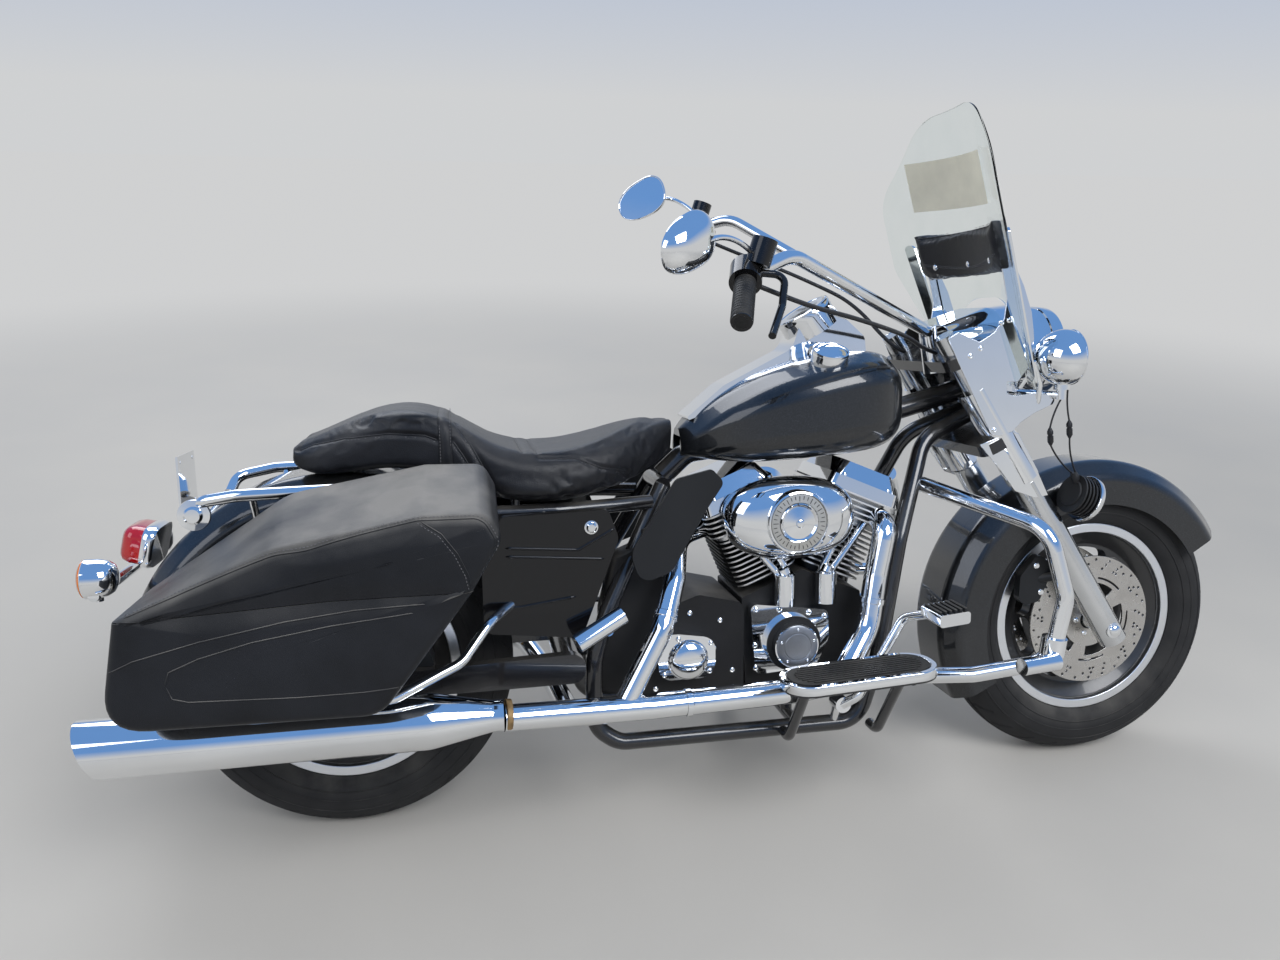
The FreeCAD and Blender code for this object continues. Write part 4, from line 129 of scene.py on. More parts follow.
def surface(name, colour, rough, metal=0.0, vary=0.08, patch=9.0, grain=400.0, bump=0.05, coat=0.0,
            dust_and_sheen=0.0, speck=0.0, leather=False, shine=0.5):
    """A finish with uneven tone, uneven gloss and a fine grain; what faces up is lightened, as dust and a
    painted sheen.
    """
    finish = bpy.data.materials.new(name)
    finish.use_nodes = True
    nodes, links = finish.node_tree.nodes, finish.node_tree.links
    shader = nodes["Principled BSDF"]
    shader.inputs["Metallic"].default_value = metal
    shader.inputs["Coat Weight"].default_value = coat
    shader.inputs["Coat Roughness"].default_value = COAT_ROUGHNESS
    shader.inputs["Specular IOR Level"].default_value = shine
    place = nodes.new("ShaderNodeTexCoord")
    broad = nodes.new("ShaderNodeTexNoise")
    broad.inputs["Scale"].default_value = patch
    broad.inputs["Detail"].default_value = 6
    links.new(place.outputs["Object"], broad.inputs["Vector"])
    tone = nodes.new("ShaderNodeValToRGB")
    tone.color_ramp.elements[0].position = 0.32
    tone.color_ramp.elements[1].position = 0.68
    tone.color_ramp.elements[0].color = tuple(c * (1 - vary) for c in colour) + (1,)
    tone.color_ramp.elements[1].color = tuple(min(c * (1 + vary), 1) for c in colour) + (1,)
    links.new(broad.outputs["Fac"], tone.inputs[0])
    tinted = tone.outputs[0]
    fine = nodes.new("ShaderNodeTexNoise")
    fine.inputs["Scale"].default_value = grain
    fine.inputs["Detail"].default_value = 3
    links.new(place.outputs["Object"], fine.inputs["Vector"])
    if speck:
        flake = nodes.new("ShaderNodeTexVoronoi")
        flake.inputs["Scale"].default_value = FLAKE_SCALE
        links.new(place.outputs["Object"], flake.inputs["Vector"])
        bright = nodes.new("ShaderNodeMapRange")
        bright.inputs["From Min"].default_value = 0.72
        bright.inputs["From Max"].default_value = 1.0
        bright.inputs["To Max"].default_value = speck
        links.new(flake.outputs["Color"], bright.inputs["Value"])
        flaked = nodes.new("ShaderNodeMix")
        flaked.data_type = "RGBA"
        flaked.inputs["B"].default_value = FLAKE_COLOUR
        links.new(bright.outputs[0], flaked.inputs["Factor"])
        links.new(tinted, flaked.inputs["A"])
        tinted = flaked.outputs["Result"]
    gloss = nodes.new("ShaderNodeMapRange")
    gloss.inputs["To Min"].default_value = max(rough - UNEVEN_GLOSS * rough, SMOOTHEST)
    gloss.inputs["To Max"].default_value = min(rough + UNEVEN_GLOSS * rough, 1)
    links.new(broad.outputs["Fac"], gloss.inputs["Value"])
    # Faces turned up are lightened towards the dust colour in patches: real dust, and a painted sheen where
    # light falls on the tops.
    if dust_and_sheen:
        facing = nodes.new("ShaderNodeNewGeometry")
        upward = nodes.new("ShaderNodeSeparateXYZ")
        links.new(facing.outputs["Normal"], upward.inputs[0])
        settled = nodes.new("ShaderNodeMapRange")
        settled.inputs["From Min"].default_value = 0.25
        settled.inputs["From Max"].default_value = 1.0
        settled.inputs["To Max"].default_value = dust_and_sheen
        links.new(upward.outputs["Z"], settled.inputs["Value"])
        uneven = nodes.new("ShaderNodeMath")
        uneven.operation = "MULTIPLY"
        uneven.use_clamp = True
        scatter = nodes.new("ShaderNodeMapRange")
        scatter.inputs["From Min"].default_value = 0.3
        scatter.inputs["From Max"].default_value = 0.62
        links.new(broad.outputs["Fac"], scatter.inputs["Value"])
        links.new(settled.outputs[0], uneven.inputs[0])
        links.new(scatter.outputs[0], uneven.inputs[1])
        dust_and_sheen_tint = nodes.new("ShaderNodeMix")
        dust_and_sheen_tint.data_type = "RGBA"
        dust_and_sheen_tint.inputs["B"].default_value = DUST_AND_SHEEN_COLOUR
        links.new(uneven.outputs[0], dust_and_sheen_tint.inputs["Factor"])
        links.new(tinted, dust_and_sheen_tint.inputs["A"])
        tinted = dust_and_sheen_tint.outputs["Result"]
    links.new(tinted, shader.inputs["Base Color"])
    links.new(gloss.outputs[0], shader.inputs["Roughness"])
    relief = nodes.new("ShaderNodeBump")
    relief.inputs["Strength"].default_value = bump
    relief.inputs["Distance"].default_value = GRAIN_DEPTH
    if leather:
        pebble = nodes.new("ShaderNodeTexVoronoi")
        pebble.feature = "DISTANCE_TO_EDGE"
        pebble.inputs["Scale"].default_value = grain
        bend = nodes.new("ShaderNodeMix")
        bend.data_type = "VECTOR"
        bend.inputs["Factor"].default_value = 0.04
        links.new(place.outputs["Object"], bend.inputs["A"])
        links.new(broad.outputs["Color"], bend.inputs["B"])
        links.new(bend.outputs["Result"], pebble.inputs["Vector"])
        links.new(pebble.outputs["Distance"], relief.inputs["Height"])
    else:
        links.new(fine.outputs["Fac"], relief.inputs["Height"])
    links.new(relief.outputs[0], shader.inputs["Normal"])
    return finish


FLOOR_HALF = 30.0
FADE_START, FADE_END, FADE_MIDDLE, FAR_COLOUR = 1.8, 7.0, (0.7, 0, 0), (0.63, 0.635, 0.64, 1)
floor_mesh = bpy.data.meshes.new("floor")
floor_corners = [(x * FLOOR_HALF, y * FLOOR_HALF, 0) for x, y in ((-1, -1), (1, -1), (1, 1), (-1, 1))]
floor_mesh.from_pydata(floor_corners, [], [(0, 1, 2, 3)])
floor = bpy.data.objects.new("floor", floor_mesh)
bpy.context.scene.collection.objects.link(floor)
pale_floor = surface("pale_floor", (0.56, 0.545, 0.52), 0.8, vary=0.03, patch=1.5, grain=120, bump=0.1)
floor_mesh.materials.append(pale_floor)
# Far from the machine the floor fades into the backdrop, for the rays that show it.
floor_nodes, floor_links = pale_floor.node_tree.nodes, pale_floor.node_tree.links
floor_place = floor_nodes.new("ShaderNodeTexCoord")
from_machine = floor_nodes.new("ShaderNodeVectorMath")
from_machine.operation = "SUBTRACT"
from_machine.inputs[1].default_value = FADE_MIDDLE
how_far = floor_nodes.new("ShaderNodeVectorMath")
how_far.operation = "LENGTH"
fade = floor_nodes.new("ShaderNodeMapRange")
fade.interpolation_type = "SMOOTHSTEP"
fade.inputs["From Min"].default_value = FADE_START
fade.inputs["From Max"].default_value = FADE_END
floor_rays = floor_nodes.new("ShaderNodeLightPath")
ray_seen = floor_nodes.new("ShaderNodeMath")
ray_seen.operation = "MAXIMUM"
ray_through = floor_nodes.new("ShaderNodeMath")
ray_through.operation = "MAXIMUM"
fade_seen = floor_nodes.new("ShaderNodeMath")
fade_seen.operation = "MULTIPLY"
far_floor = floor_nodes.new("ShaderNodeEmission")
far_floor.inputs["Color"].default_value = FAR_COLOUR
floor_blend = floor_nodes.new("ShaderNodeMixShader")
floor_links.new(floor_place.outputs["Object"], from_machine.inputs[0])
floor_links.new(from_machine.outputs[0], how_far.inputs[0])
floor_links.new(how_far.outputs["Value"], fade.inputs["Value"])
floor_links.new(floor_rays.outputs["Is Camera Ray"], ray_seen.inputs[0])
floor_links.new(floor_rays.outputs["Is Glossy Ray"], ray_seen.inputs[1])
floor_links.new(ray_seen.outputs[0], ray_through.inputs[0])
floor_links.new(floor_rays.outputs["Is Transmission Ray"], ray_through.inputs[1])
floor_links.new(fade.outputs[0], fade_seen.inputs[0])
floor_links.new(ray_through.outputs[0], fade_seen.inputs[1])
floor_links.new(fade_seen.outputs[0], floor_blend.inputs[0])
floor_links.new(floor_nodes["Principled BSDF"].outputs[0], floor_blend.inputs[1])
floor_links.new(far_floor.outputs[0], floor_blend.inputs[2])
floor_links.new(floor_blend.outputs[0], floor_nodes["Material Output"].inputs[0])

# Wires of the hanging lamp insert
# Two thin black insulated copper wires, each with a rubber plug half way; the insert hangs on them.
# Places on the machine are in millimetres, forward, left and up from the rear contact, before it leans.
LEAN = math.radians(12)
LEAN_SHIFT = Vector((0, -12.80, 1.346))


def way_on_bike(x, y, z):
    """A direction on the upright machine, taken to the leaning one."""
    return Vector((x, y * math.cos(LEAN) + z * math.sin(LEAN), z * math.cos(LEAN) - y * math.sin(LEAN)))


def on_bike(x, y, z):
    """A place on the upright machine in millimetres, taken to the leaning one in metres."""
    return (way_on_bike(x, y, z) + LEAN_SHIFT) / 1000


def join_scene(name, mesh, material, body):
    """Puts a finished mesh or curve into the scene and on its body."""
    piece = bpy.data.objects.new(name, mesh)
    bpy.context.scene.collection.objects.link(piece)
    mesh.materials.append(material)
    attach(piece, body)
    return piece


def flexible_line(name, places, radius, material, body):
    """A round line along one smooth spline through a few places in metres."""
    line = bpy.data.curves.new(name, "CURVE")
    line.dimensions = "3D"
    spline = line.splines.new("NURBS")
    spline.points.add(len(places) - 1)
    for point, place in zip(spline.points, places):
        point.co = (*place, 1)
    spline.order_u = 3
    spline.use_endpoint_u = True
    line.resolution_u = 16
    line.bevel_depth = radius
    line.bevel_resolution = 4
    line.use_fill_caps = True
    return join_scene(name, line, material, body)


POINT_RADIUS, TURNED_EDGE = 1e-6, 35


def fill_rings(shape, rings):
    """Faces between each ring of points and the next; a ring may be a single point."""
    for ring, onward in zip(rings, rings[1:]):
        count = max(len(ring), len(onward))
        for k in range(count):
            after = (k + 1) % count
            corners = [ring[k % len(ring)], ring[after % len(ring)],
                       onward[after % len(onward)], onward[k % len(onward)]]
            face = list(dict.fromkeys(corners))
            if len(face) > 2:
                shape.faces.new(face)


def made_piece(name, shape, material, body, smooth=True, sharp=0):
    """Turns drawn faces into a piece, smooth but for edges that bend more than sharp degrees."""
    bmesh.ops.recalc_face_normals(shape, faces=shape.faces)
    for face in shape.faces:
        face.smooth = smooth
    mesh = bpy.data.meshes.new(name)
    shape.to_mesh(mesh)
    shape.free()
    if sharp:
        mesh.set_sharp_from_angle(angle=math.radians(sharp))
    return join_scene(name, mesh, material, body)


def turned(name, rows, place, way, material, body, sides=48):
    """A turned part: rows of radius and height in millimetres, from its foot at place along way."""
    shape = bmesh.new()
    seat = Matrix.Translation(place) @ way.to_track_quat("Z", "Y").to_matrix().to_4x4()
    rings = []
    for radius, height in rows:
        bearings = [2 * math.pi * i / sides for i in range(sides)] if radius > POINT_RADIUS else [0]
        rings.append([
            shape.verts.new(seat @ Vector((
                radius / 1000 * math.cos(bearing), radius / 1000 * math.sin(bearing), height / 1000)))
            for bearing in bearings
        ])
    fill_rings(shape, rings)
    return made_piece(name, shape, material, body, sharp=TURNED_EDGE)


wire_black = surface("wire_black", (0.016, 0.016, 0.018), 0.45, grain=900, bump=0.08, shine=0.3)
WIRE_RADIUS = 0.0018
insert_way = Vector((0.93, 0.05, -0.36)).normalized()
insert_up = -Vector((0, 1, 0)).cross(insert_way).normalized()
INSERT = Vector((1514, -142, 621))
gland_way = (insert_up - insert_way).normalized()
gland_start = INSERT - insert_way * 26 + insert_up * 28
gland_end = gland_start + gland_way * 20
gland_side = gland_way.cross(Vector((0, 1, 0))).normalized()
# Columns: wire, points above its plug, points below its plug, place on the gland, length above, length below.
WIRES = [
    ("A", [(1455, -162, 856), (1452, -162, 820), (1462, -162, 786)],
     [(1466, -161, 750), (1470, -156, 714)], -4, 0.0708, 0.0819),
    ("B", [(1440, -162, 830), (1424, -162, 802), (1419, -162, 772)],
     [(1423, -162, 736), (1444, -157, 702)], 4, 0.0620, 0.0931),
]
PLUG_ROWS = [(0, 0), (2.6, 0), (3.6, 2), (6, 7), (6, 13), (4.6, 14), (4.6, 16), (6, 17), (6, 29), (3.6, 34),
             (2.6, 36), (0, 36)]
for wire, above, below, aside, length_above, length_below in WIRES:
    top = [on_bike(*point) for point in above]
    foot = [on_bike(*point) for point in below] + [on_bike(*(gland_end + gland_side * aside))]
    plug_way = foot[0] - top[-1]
    stretch = plug_way.length * 1000 / PLUG_ROWS[-1][1]
    plug = turned("wire_plug_" + wire, [(out, along * stretch) for out, along in PLUG_ROWS], top[-1],
                  plug_way.normalized(), wire_black, "steering", 20)
    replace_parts(plug, "hanging_lamp")
    upper = flexible_line("lamp_wire_upper_" + wire, top, WIRE_RADIUS, wire_black, "steering")
    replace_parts(upper, "lamp_wires")
    lower = flexible_line("lamp_wire_lower_" + wire, foot, WIRE_RADIUS, wire_black, "steering")
    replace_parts(lower, "lamp_wires")

# Control cables
# A steel cable in a black plastic cover on each side, which hangs free from the hand control to the
# steering head. The part in sight is modelled.
BAR_CLAMP = Vector((1200, 0, 980))
BAR_CANT, BAR_TWIST = math.radians(12), math.radians(-6)
KNOCK = Matrix.Rotation(BAR_CANT, 3, "X") @ Matrix.Rotation(BAR_TWIST, 3, "Z")


def knocked(x, y, z):
    """A place of the handlebar's group, in upright millimetres, after the knock that turned it askew."""
    return BAR_CLAMP + KNOCK @ (Vector((x, y, z)) - BAR_CLAMP)


SIDES = (("right", -1), ("left", 1))
CABLE = [(772, 356, 1118), (860, 344, 1084), (944, 304, 1060), (1030, 246, 1030), (1114, 176, 996)]
CABLE_END = [(1180, 73, 934), (1209, 72, 925)]
CABLE_RADIUS = 0.0043
cable_black = surface("cable_black", (0.02, 0.02, 0.022), 0.35, grain=500, bump=0.06, dust_and_sheen=0.2, shine=0.3)
for side_name, side in SIDES:
    places = [on_bike(*knocked(x, side * y, z)) for x, y, z in CABLE]
    places += [on_bike(x, side * y, z) for x, y, z in CABLE_END]
    cable = flexible_line("control_cable_" + side_name, places, CABLE_RADIUS, cable_black, "steering")
    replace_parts(cable, "control_cables")

# Tyres
# Black rubber road tyres, moulded with two zigzag grooves round the crown and slanted ones at the shoulders.
# Three thin ribs run round each sidewall, and the tyre is hollow down to its beads on the rim.
TYRE_RADIUS, TYRE_SHOULDER, SHOULDER_RADIUS = 323, 48, 300
TYRE_HALF, BEAD_HALF, BEAD_RADIUS, TYRE_WALL = 65, 46, 205, 20
WAIST_RADIUS = (SHOULDER_RADIUS + BEAD_RADIUS) / 2
tyre_rubber = surface("tyre_rubber", (0.026, 0.026, 0.027), 0.72, vary=0.25, patch=14, grain=700, bump=0.25,
                      dust_and_sheen=0.25, shine=0.2)
REAR_AXLE = Vector((0, 0, 323))
FRONT_AXLE = Vector((1612, 0, 323))


def arc_through(start, middle, end, count):
    """Evenly spread points of the circle through three points of a section."""
    (ax, ay), (bx, by), (cx, cy) = start, middle, end
    twice_area = 2 * (ax * (by - cy) + bx * (cy - ay) + cx * (ay - by))
    a, b, c = ax ** 2 + ay ** 2, bx ** 2 + by ** 2, cx ** 2 + cy ** 2
    ux = (a * (by - cy) + b * (cy - ay) + c * (ay - by)) / twice_area
    uy = (a * (cx - bx) + b * (ax - cx) + c * (bx - ax)) / twice_area
    radius = math.hypot(ax - ux, ay - uy)
    first = math.atan2(ay - uy, ax - ux)
    half = math.atan2(by - uy, bx - ux)
    last = math.atan2(cy - uy, cx - ux)
    sweep = (last - first) % (2 * math.pi)
    if (half - first) % (2 * math.pi) > sweep:
        sweep -= 2 * math.pi
    return [
        (ux + radius * math.cos(first + sweep * i / count), uy + radius * math.sin(first + sweep * i / count))
        for i in range(count + 1)
    ]


ZIGZAGS, ZIGZAG_SWING, ZIGZAG_FROM_MIDDLE, ZIGZAG_HALF_WIDTH, ZIGZAG_DEPTH = 18, 5, 13, 2.6, 5.0
SLANT_START, SLANT, SLANT_PITCH, SLANT_WIDTH, SLANT_DEPTH, SLANT_SIDES = 22, 0.28, 12, 1.3, 4.5, (24, 47)


def groove_depth(along, turn):
    """How deep the tread is cut at a place: along is across the tyre, turn is the angle round it."""
    zigzag = ZIGZAG_SWING * abs(((turn * ZIGZAGS / math.pi) % 2) - 1)
    side = abs(along)
    if abs(side - ZIGZAG_FROM_MIDDLE - zigzag) < ZIGZAG_HALF_WIDTH:
        return ZIGZAG_DEPTH
    slant = (math.degrees(turn) + (side - SLANT_START) * SLANT * (1 if along > 0 else -1)) % SLANT_PITCH
    if SLANT_SIDES[0] < side < SLANT_SIDES[1] and slant < SLANT_WIDTH:
        return SLANT_DEPTH
    return 0.0


TREAD_STEPS, TREAD_POINTS, WALL_POINTS = 560, 50, 14
tread = arc_through((-TYRE_SHOULDER, SHOULDER_RADIUS), (0, TYRE_RADIUS), (TYRE_SHOULDER, SHOULDER_RADIUS),
                    TREAD_POINTS)
left_wall = arc_through((TYRE_SHOULDER, SHOULDER_RADIUS), (TYRE_HALF, WAIST_RADIUS),
                        (BEAD_HALF, BEAD_RADIUS + 13), WALL_POINTS)[1:]
right_wall = [(-along, out) for along, out in reversed(left_wall)]
bead = [(37.6, 218), (37.6, 205.4), (23.6, 205.4)]
inner_wall = bead + arc_through((27.6, 232), (0, TYRE_RADIUS - TYRE_WALL), (-27.6, 232), WALL_POINTS)
inner_wall += [(-along, out) for along, out in reversed(bead)]
tyre_section = right_wall + tread + left_wall + inner_wall
WALL_RIBS = (244, 262, 285)
for tyre_name, body, axle in (("front_tyre", "front_wheel_set", FRONT_AXLE),
                              ("rear_tyre", "rear_wheel_set", REAR_AXLE)):
    verts = []
    for step in range(TREAD_STEPS):
        turn = 2 * math.pi * step / TREAD_STEPS
        for index, (along, out) in enumerate(tyre_section):
            if len(right_wall) <= index < len(right_wall) + len(tread):
                out -= groove_depth(along, turn)
            verts.append(on_bike(axle.x + out * math.cos(turn), along, axle.z + out * math.sin(turn)))
    count = len(tyre_section)
    faces = []
    for step in range(TREAD_STEPS):
        onward = (step + 1) % TREAD_STEPS
        for index in range(count):
            after = (index + 1) % count
            faces.append((step * count + index, step * count + after,
                          onward * count + after, onward * count + index))
    mesh = bpy.data.meshes.new(tyre_name + "_rubber")
    mesh.from_pydata(verts, [], faces)
    mesh.shade_smooth()
    mesh.set_sharp_from_angle(angle=math.radians(40))
    tyre = join_scene(tyre_name + "_rubber", mesh, tyre_rubber, body)
    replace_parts(tyre, tyre_name)
    for side_name, side in SIDES:
        for k, radius in enumerate(WALL_RIBS):
            plane = min(left_wall, key=lambda point: abs(point[1] - radius))[0]
            rows = [(radius - 2.4, plane - 3), (radius - 1, plane + 1), (radius + 1, plane + 1),
                    (radius + 2.4, plane - 3)]
            turned("%s_rib_%s_%d" % (tyre_name, side_name, k), rows, on_bike(*axle), way_on_bike(0, side, 0),
                   tyre_rubber, body, 160)

# Wheels
# Cast aluminium discs with kidney slots, powder-coated black; the rim's lip is machined bright afterwards.
# The casting itself is the carried-over solid, and only its finish is given here.
wheel_axis = way_on_bike(0, 1, 0)
LIP_RADIUS, LIP_BLEND = 0.196, 0.0005


def rim_finish(name, axle):
    """Black powder coat that gives way to turned metal on the rim's lip, by the distance from the axle."""
    coat = surface(name, (0.018, 0.018, 0.019), 0.32, grain=300, bump=0.12, coat=0.4, dust_and_sheen=0.3)
    nodes, links = coat.node_tree.nodes, coat.node_tree.links
    shader = nodes["Principled BSDF"]
    place = nodes.new("ShaderNodeTexCoord")
    from_axle = nodes.new("ShaderNodeVectorMath")
    from_axle.operation = "SUBTRACT"
    from_axle.inputs[1].default_value = on_bike(*axle)
    across = nodes.new("ShaderNodeVectorMath")
    across.operation = "CROSS_PRODUCT"
    across.inputs[1].default_value = wheel_axis
    distance = nodes.new("ShaderNodeVectorMath")
    distance.operation = "LENGTH"
    lip = nodes.new("ShaderNodeMapRange")
    lip.inputs["From Min"].default_value = LIP_RADIUS - LIP_BLEND
    lip.inputs["From Max"].default_value = LIP_RADIUS + LIP_BLEND
    links.new(place.outputs["Object"], from_axle.inputs[0])
    links.new(from_axle.outputs[0], across.inputs[0])
    links.new(across.outputs[0], distance.inputs[0])
    links.new(distance.outputs["Value"], lip.inputs["Value"])
    bright = nodes.new("ShaderNodeMix")
    bright.data_type = "RGBA"
    bright.inputs["B"].default_value = (0.78, 0.79, 0.80, 1)
    links.new(lip.outputs[0], bright.inputs["Factor"])
    links.new(shader.inputs["Base Color"].links[0].from_socket, bright.inputs["A"])
    links.new(bright.outputs["Result"], shader.inputs["Base Color"])
    links.new(lip.outputs[0], shader.inputs["Metallic"])
    return coat


def dress(node, material):
    """Gives a carried-over sub-part its finish."""
    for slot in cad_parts[node].material_slots:
        slot.material = material


dress("front_wheel", rim_finish("front_rim_finish", FRONT_AXLE))
dress("rear_wheel", rim_finish("rear_rim_finish", REAR_AXLE))

# Brake discs, pulley and belt
# Stainless discs drilled in rows and slotted at their carriers, each held by five button bolts on its boss.
# The pulley is cast alloy, and a toothed rubber belt drives it.
disc_steel = surface("disc_steel", (0.55, 0.53, 0.50), 0.26, metal=1.0, vary=0.06, patch=30, grain=900,
                     bump=0.06)
cast_alloy = surface("cast_alloy", (0.56, 0.57, 0.58), 0.34, metal=1.0, vary=0.1, grain=500, bump=0.08)
belt_rubber = surface("belt_rubber", (0.02, 0.02, 0.02), 0.6, grain=800, bump=0.2, shine=0.2)
dress("rear_pulley", cast_alloy)
dress("drive_belt", belt_rubber)
DISC_RADIUS, DISC_BORE, DISC_WALL, DISC_OFFSET, BOSS_END = 146, 22, 5, 60, 52
# Rows of drilled holes: radius, swing in degrees.
DRILL_ROWS = ((138, 0), (128, 8), (118, 16))
# Slots of a carrier's arm: radius, half width, start and end in degrees.
ARM_SLOTS = ((74, 11, -22, 22), (96, 2.2, -30, 8))
DISC_ARMS, ARM_TURN, HOLES_PER_ARM, HOLE_TURN, KIDNEY_STEPS = 5, 72, 5, 14.4, 12
HOLE_RADIUS, BOLT_RING, BOLT_LIFT = 3.0, 33, 2.4
DISC_BOLT = [(0, -1), (6, -1), (6, 2), (4, 4), (2.4, 4), (2.2, 2.4), (0, 2.4)]


def ring_outline(centre, radius, count):
    """Points of a round hole or edge in a flat part."""
    bearings = [2 * math.pi * i / count for i in range(count)]
    return [(centre[0] + radius * math.cos(bearing), centre[1] + radius * math.sin(bearing))
            for bearing in bearings]


def kidney_outline(radius, half_width, start, end):
    """Points of a curved slot between two bearings in degrees."""
    points = []
    for i in range(KIDNEY_STEPS + 1):
        bearing = math.radians(start + (end - start) * i / KIDNEY_STEPS)
        points.append(((radius + half_width) * math.cos(bearing), (radius + half_width) * math.sin(bearing)))
    for i in range(KIDNEY_STEPS + 1):
        bearing = math.radians(end + (start - end) * i / KIDNEY_STEPS)
        points.append(((radius - half_width) * math.cos(bearing), (radius - half_width) * math.sin(bearing)))
    return points


def flat_part(name, outlines, thickness, place, right, upward, material, body, edge=0.4):
    """A flat part cut from sheet, centred on place: its edge and its holes in millimetres, edges broken."""
    blank = bpy.data.curves.new(name, "CURVE")
    blank.dimensions = "2D"
    blank.fill_mode = "BOTH"
    blank.extrude = (thickness / 2 - edge) / 1000
    blank.bevel_depth = edge / 1000
    blank.bevel_resolution = 1
    blank.offset = -edge / 1000
    for outline in outlines:
        spline = blank.splines.new("POLY")
        spline.points.add(len(outline) - 1)
        for point, (x, y) in zip(spline.points, outline):
            point.co = (x / 1000, y / 1000, 0, 1)
        spline.use_cyclic_u = True
    cutter = bpy.data.objects.new(name + "_blank", blank)
    bpy.context.scene.collection.objects.link(cutter)
    bpy.context.view_layer.update()
    mesh = bpy.data.meshes.new_from_object(cutter.evaluated_get(bpy.context.evaluated_depsgraph_get()))
    bpy.data.objects.remove(cutter)
    turn = Matrix((right, upward, right.cross(upward))).transposed().to_4x4()
    mesh.transform(Matrix.Translation(place) @ turn)
    mesh.materials.clear()
    return join_scene(name, mesh, material, body)


forward = way_on_bike(1, 0, 0)
across = way_on_bike(0, 1, 0)
up = way_on_bike(0, 0, 1)


def brake_disc(name, node, axle, offset, body):
    """A drilled and slotted disc on its carrier, with five button bolts."""
    outlines = [ring_outline((0, 0), DISC_RADIUS, 120), ring_outline((0, 0), DISC_BORE, 40)]
    for k in range(DISC_ARMS):
        for radius, half_width, start, end in ARM_SLOTS:
            outlines.append(kidney_outline(radius, half_width, ARM_TURN * k + start, ARM_TURN * k + end))
        for hole in range(HOLES_PER_ARM):
            for radius, swing in DRILL_ROWS:
                bearing = math.radians(ARM_TURN * k + HOLE_TURN * hole + swing * (1 if hole % 2 else 0.35))
                centre = (radius * math.cos(bearing), radius * math.sin(bearing))
                outlines.append(ring_outline(centre, HOLE_RADIUS, 12))
    middle = on_bike(axle.x, offset, axle.z)
    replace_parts(flat_part(name, outlines, DISC_WALL, middle, forward, up, disc_steel, body, 0.3), node)
    inward = -1 if offset > 0 else 1
    boss_rows = [(22, 0), (41, 0), (41, abs(offset) - BOSS_END), (22, abs(offset) - BOSS_END)]
    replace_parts(turned(name + "_boss", boss_rows, middle, across * inward, cast_alloy, body), node)
    for k in range(DISC_ARMS):
        bearing = math.radians(ARM_TURN * (k + 0.5))
        place = on_bike(axle.x + BOLT_RING * math.cos(bearing), offset - inward * BOLT_LIFT,
                        axle.z + BOLT_RING * math.sin(bearing))
        bolt = turned("%s_bolt_%d" % (name, k), DISC_BOLT, place, across * -inward, chrome, body, 20)


chrome = surface("chrome", (0.84, 0.85, 0.86), 0.05, metal=1.0, vary=0.03, patch=7, grain=30, bump=0.008)
for side_name, side in SIDES:
    brake_disc("front_disc_" + side_name, "front_discs", FRONT_AXLE, side * DISC_OFFSET, "front_wheel_set")
brake_disc("rear_disc_band", "rear_disc", REAR_AXLE, -DISC_OFFSET, "rear_wheel_set")

# Frame, swingarm, shocks, yokes and side stand
# Welded steel tube and forgings, powder-coated gloss black; springs and bolts are fitted afterwards.
# All of them are the carried-over solids, and only their finish is given here.
frame_black = surface("frame_black", (0.012, 0.012, 0.014), 0.22, grain=260, bump=0.06, coat=0.6, dust_and_sheen=0.25)
for node in ("frame_backbone", "frame_downtubes", "frame_lower_rails", "frame_rear", "rear_suspension",
             "fork_yokes", "side_stand"):
    dress(node, frame_black)

# Engine
# An air-cooled two-cylinder engine of cast aluminium: black barrels and heads whose fin edges are milled
# bright, over black cases. The black oil box bolted behind it fills the frame's right side.
VEE = {"front": math.radians(22.5), "rear": math.radians(-22.5)}
CRANK = Vector((915, 0, 325))
BARREL_FOOT, FIN_PITCH, BARREL_FINS, HEAD_FINS = 150, 11, 9, 5
HEAD_JOINT = BARREL_FOOT + 16 + BARREL_FINS * FIN_PITCH + 3.5 + 4
HEAD_TOP = HEAD_JOINT + 8 + HEAD_FINS * FIN_PITCH
engine_black = surface("engine_black", (0.016, 0.016, 0.017), 0.5, vary=0.2, grain=600, bump=0.3, dust_and_sheen=0.35,
                       shine=0.2)
dress("engine_cases", engine_black)
OIL_BOX = [(486, 262), (600, 240), (640, 250), (652, 300), (650, 430), (606, 520), (560, 556), (520, 540),
           (492, 430)]
OIL_BOX_WIDTH, OIL_BOX_MIDDLE = 56, -84
flat_part("oil_box", [OIL_BOX], OIL_BOX_WIDTH, on_bike(0, OIL_BOX_MIDDLE, 0), forward, up, engine_black,
          "chassis", 6)


def on_cylinder(which, along, fore=0, out=0):
    """A place by its distance up a cylinder's axis, forward of it and to the left, in upright millimetres."""
    angle = VEE[which]
    return CRANK + Vector((math.sin(angle), 0, math.cos(angle))) * along \
        + Vector((math.cos(angle), 0, -math.sin(angle))) * fore + Vector((0, out, 0))


# How square to a cylinder a face may lie, and how far out it starts, to count as a milled edge.
SQUARE_ENOUGH, FIN_EDGE = 0.72, 0.07


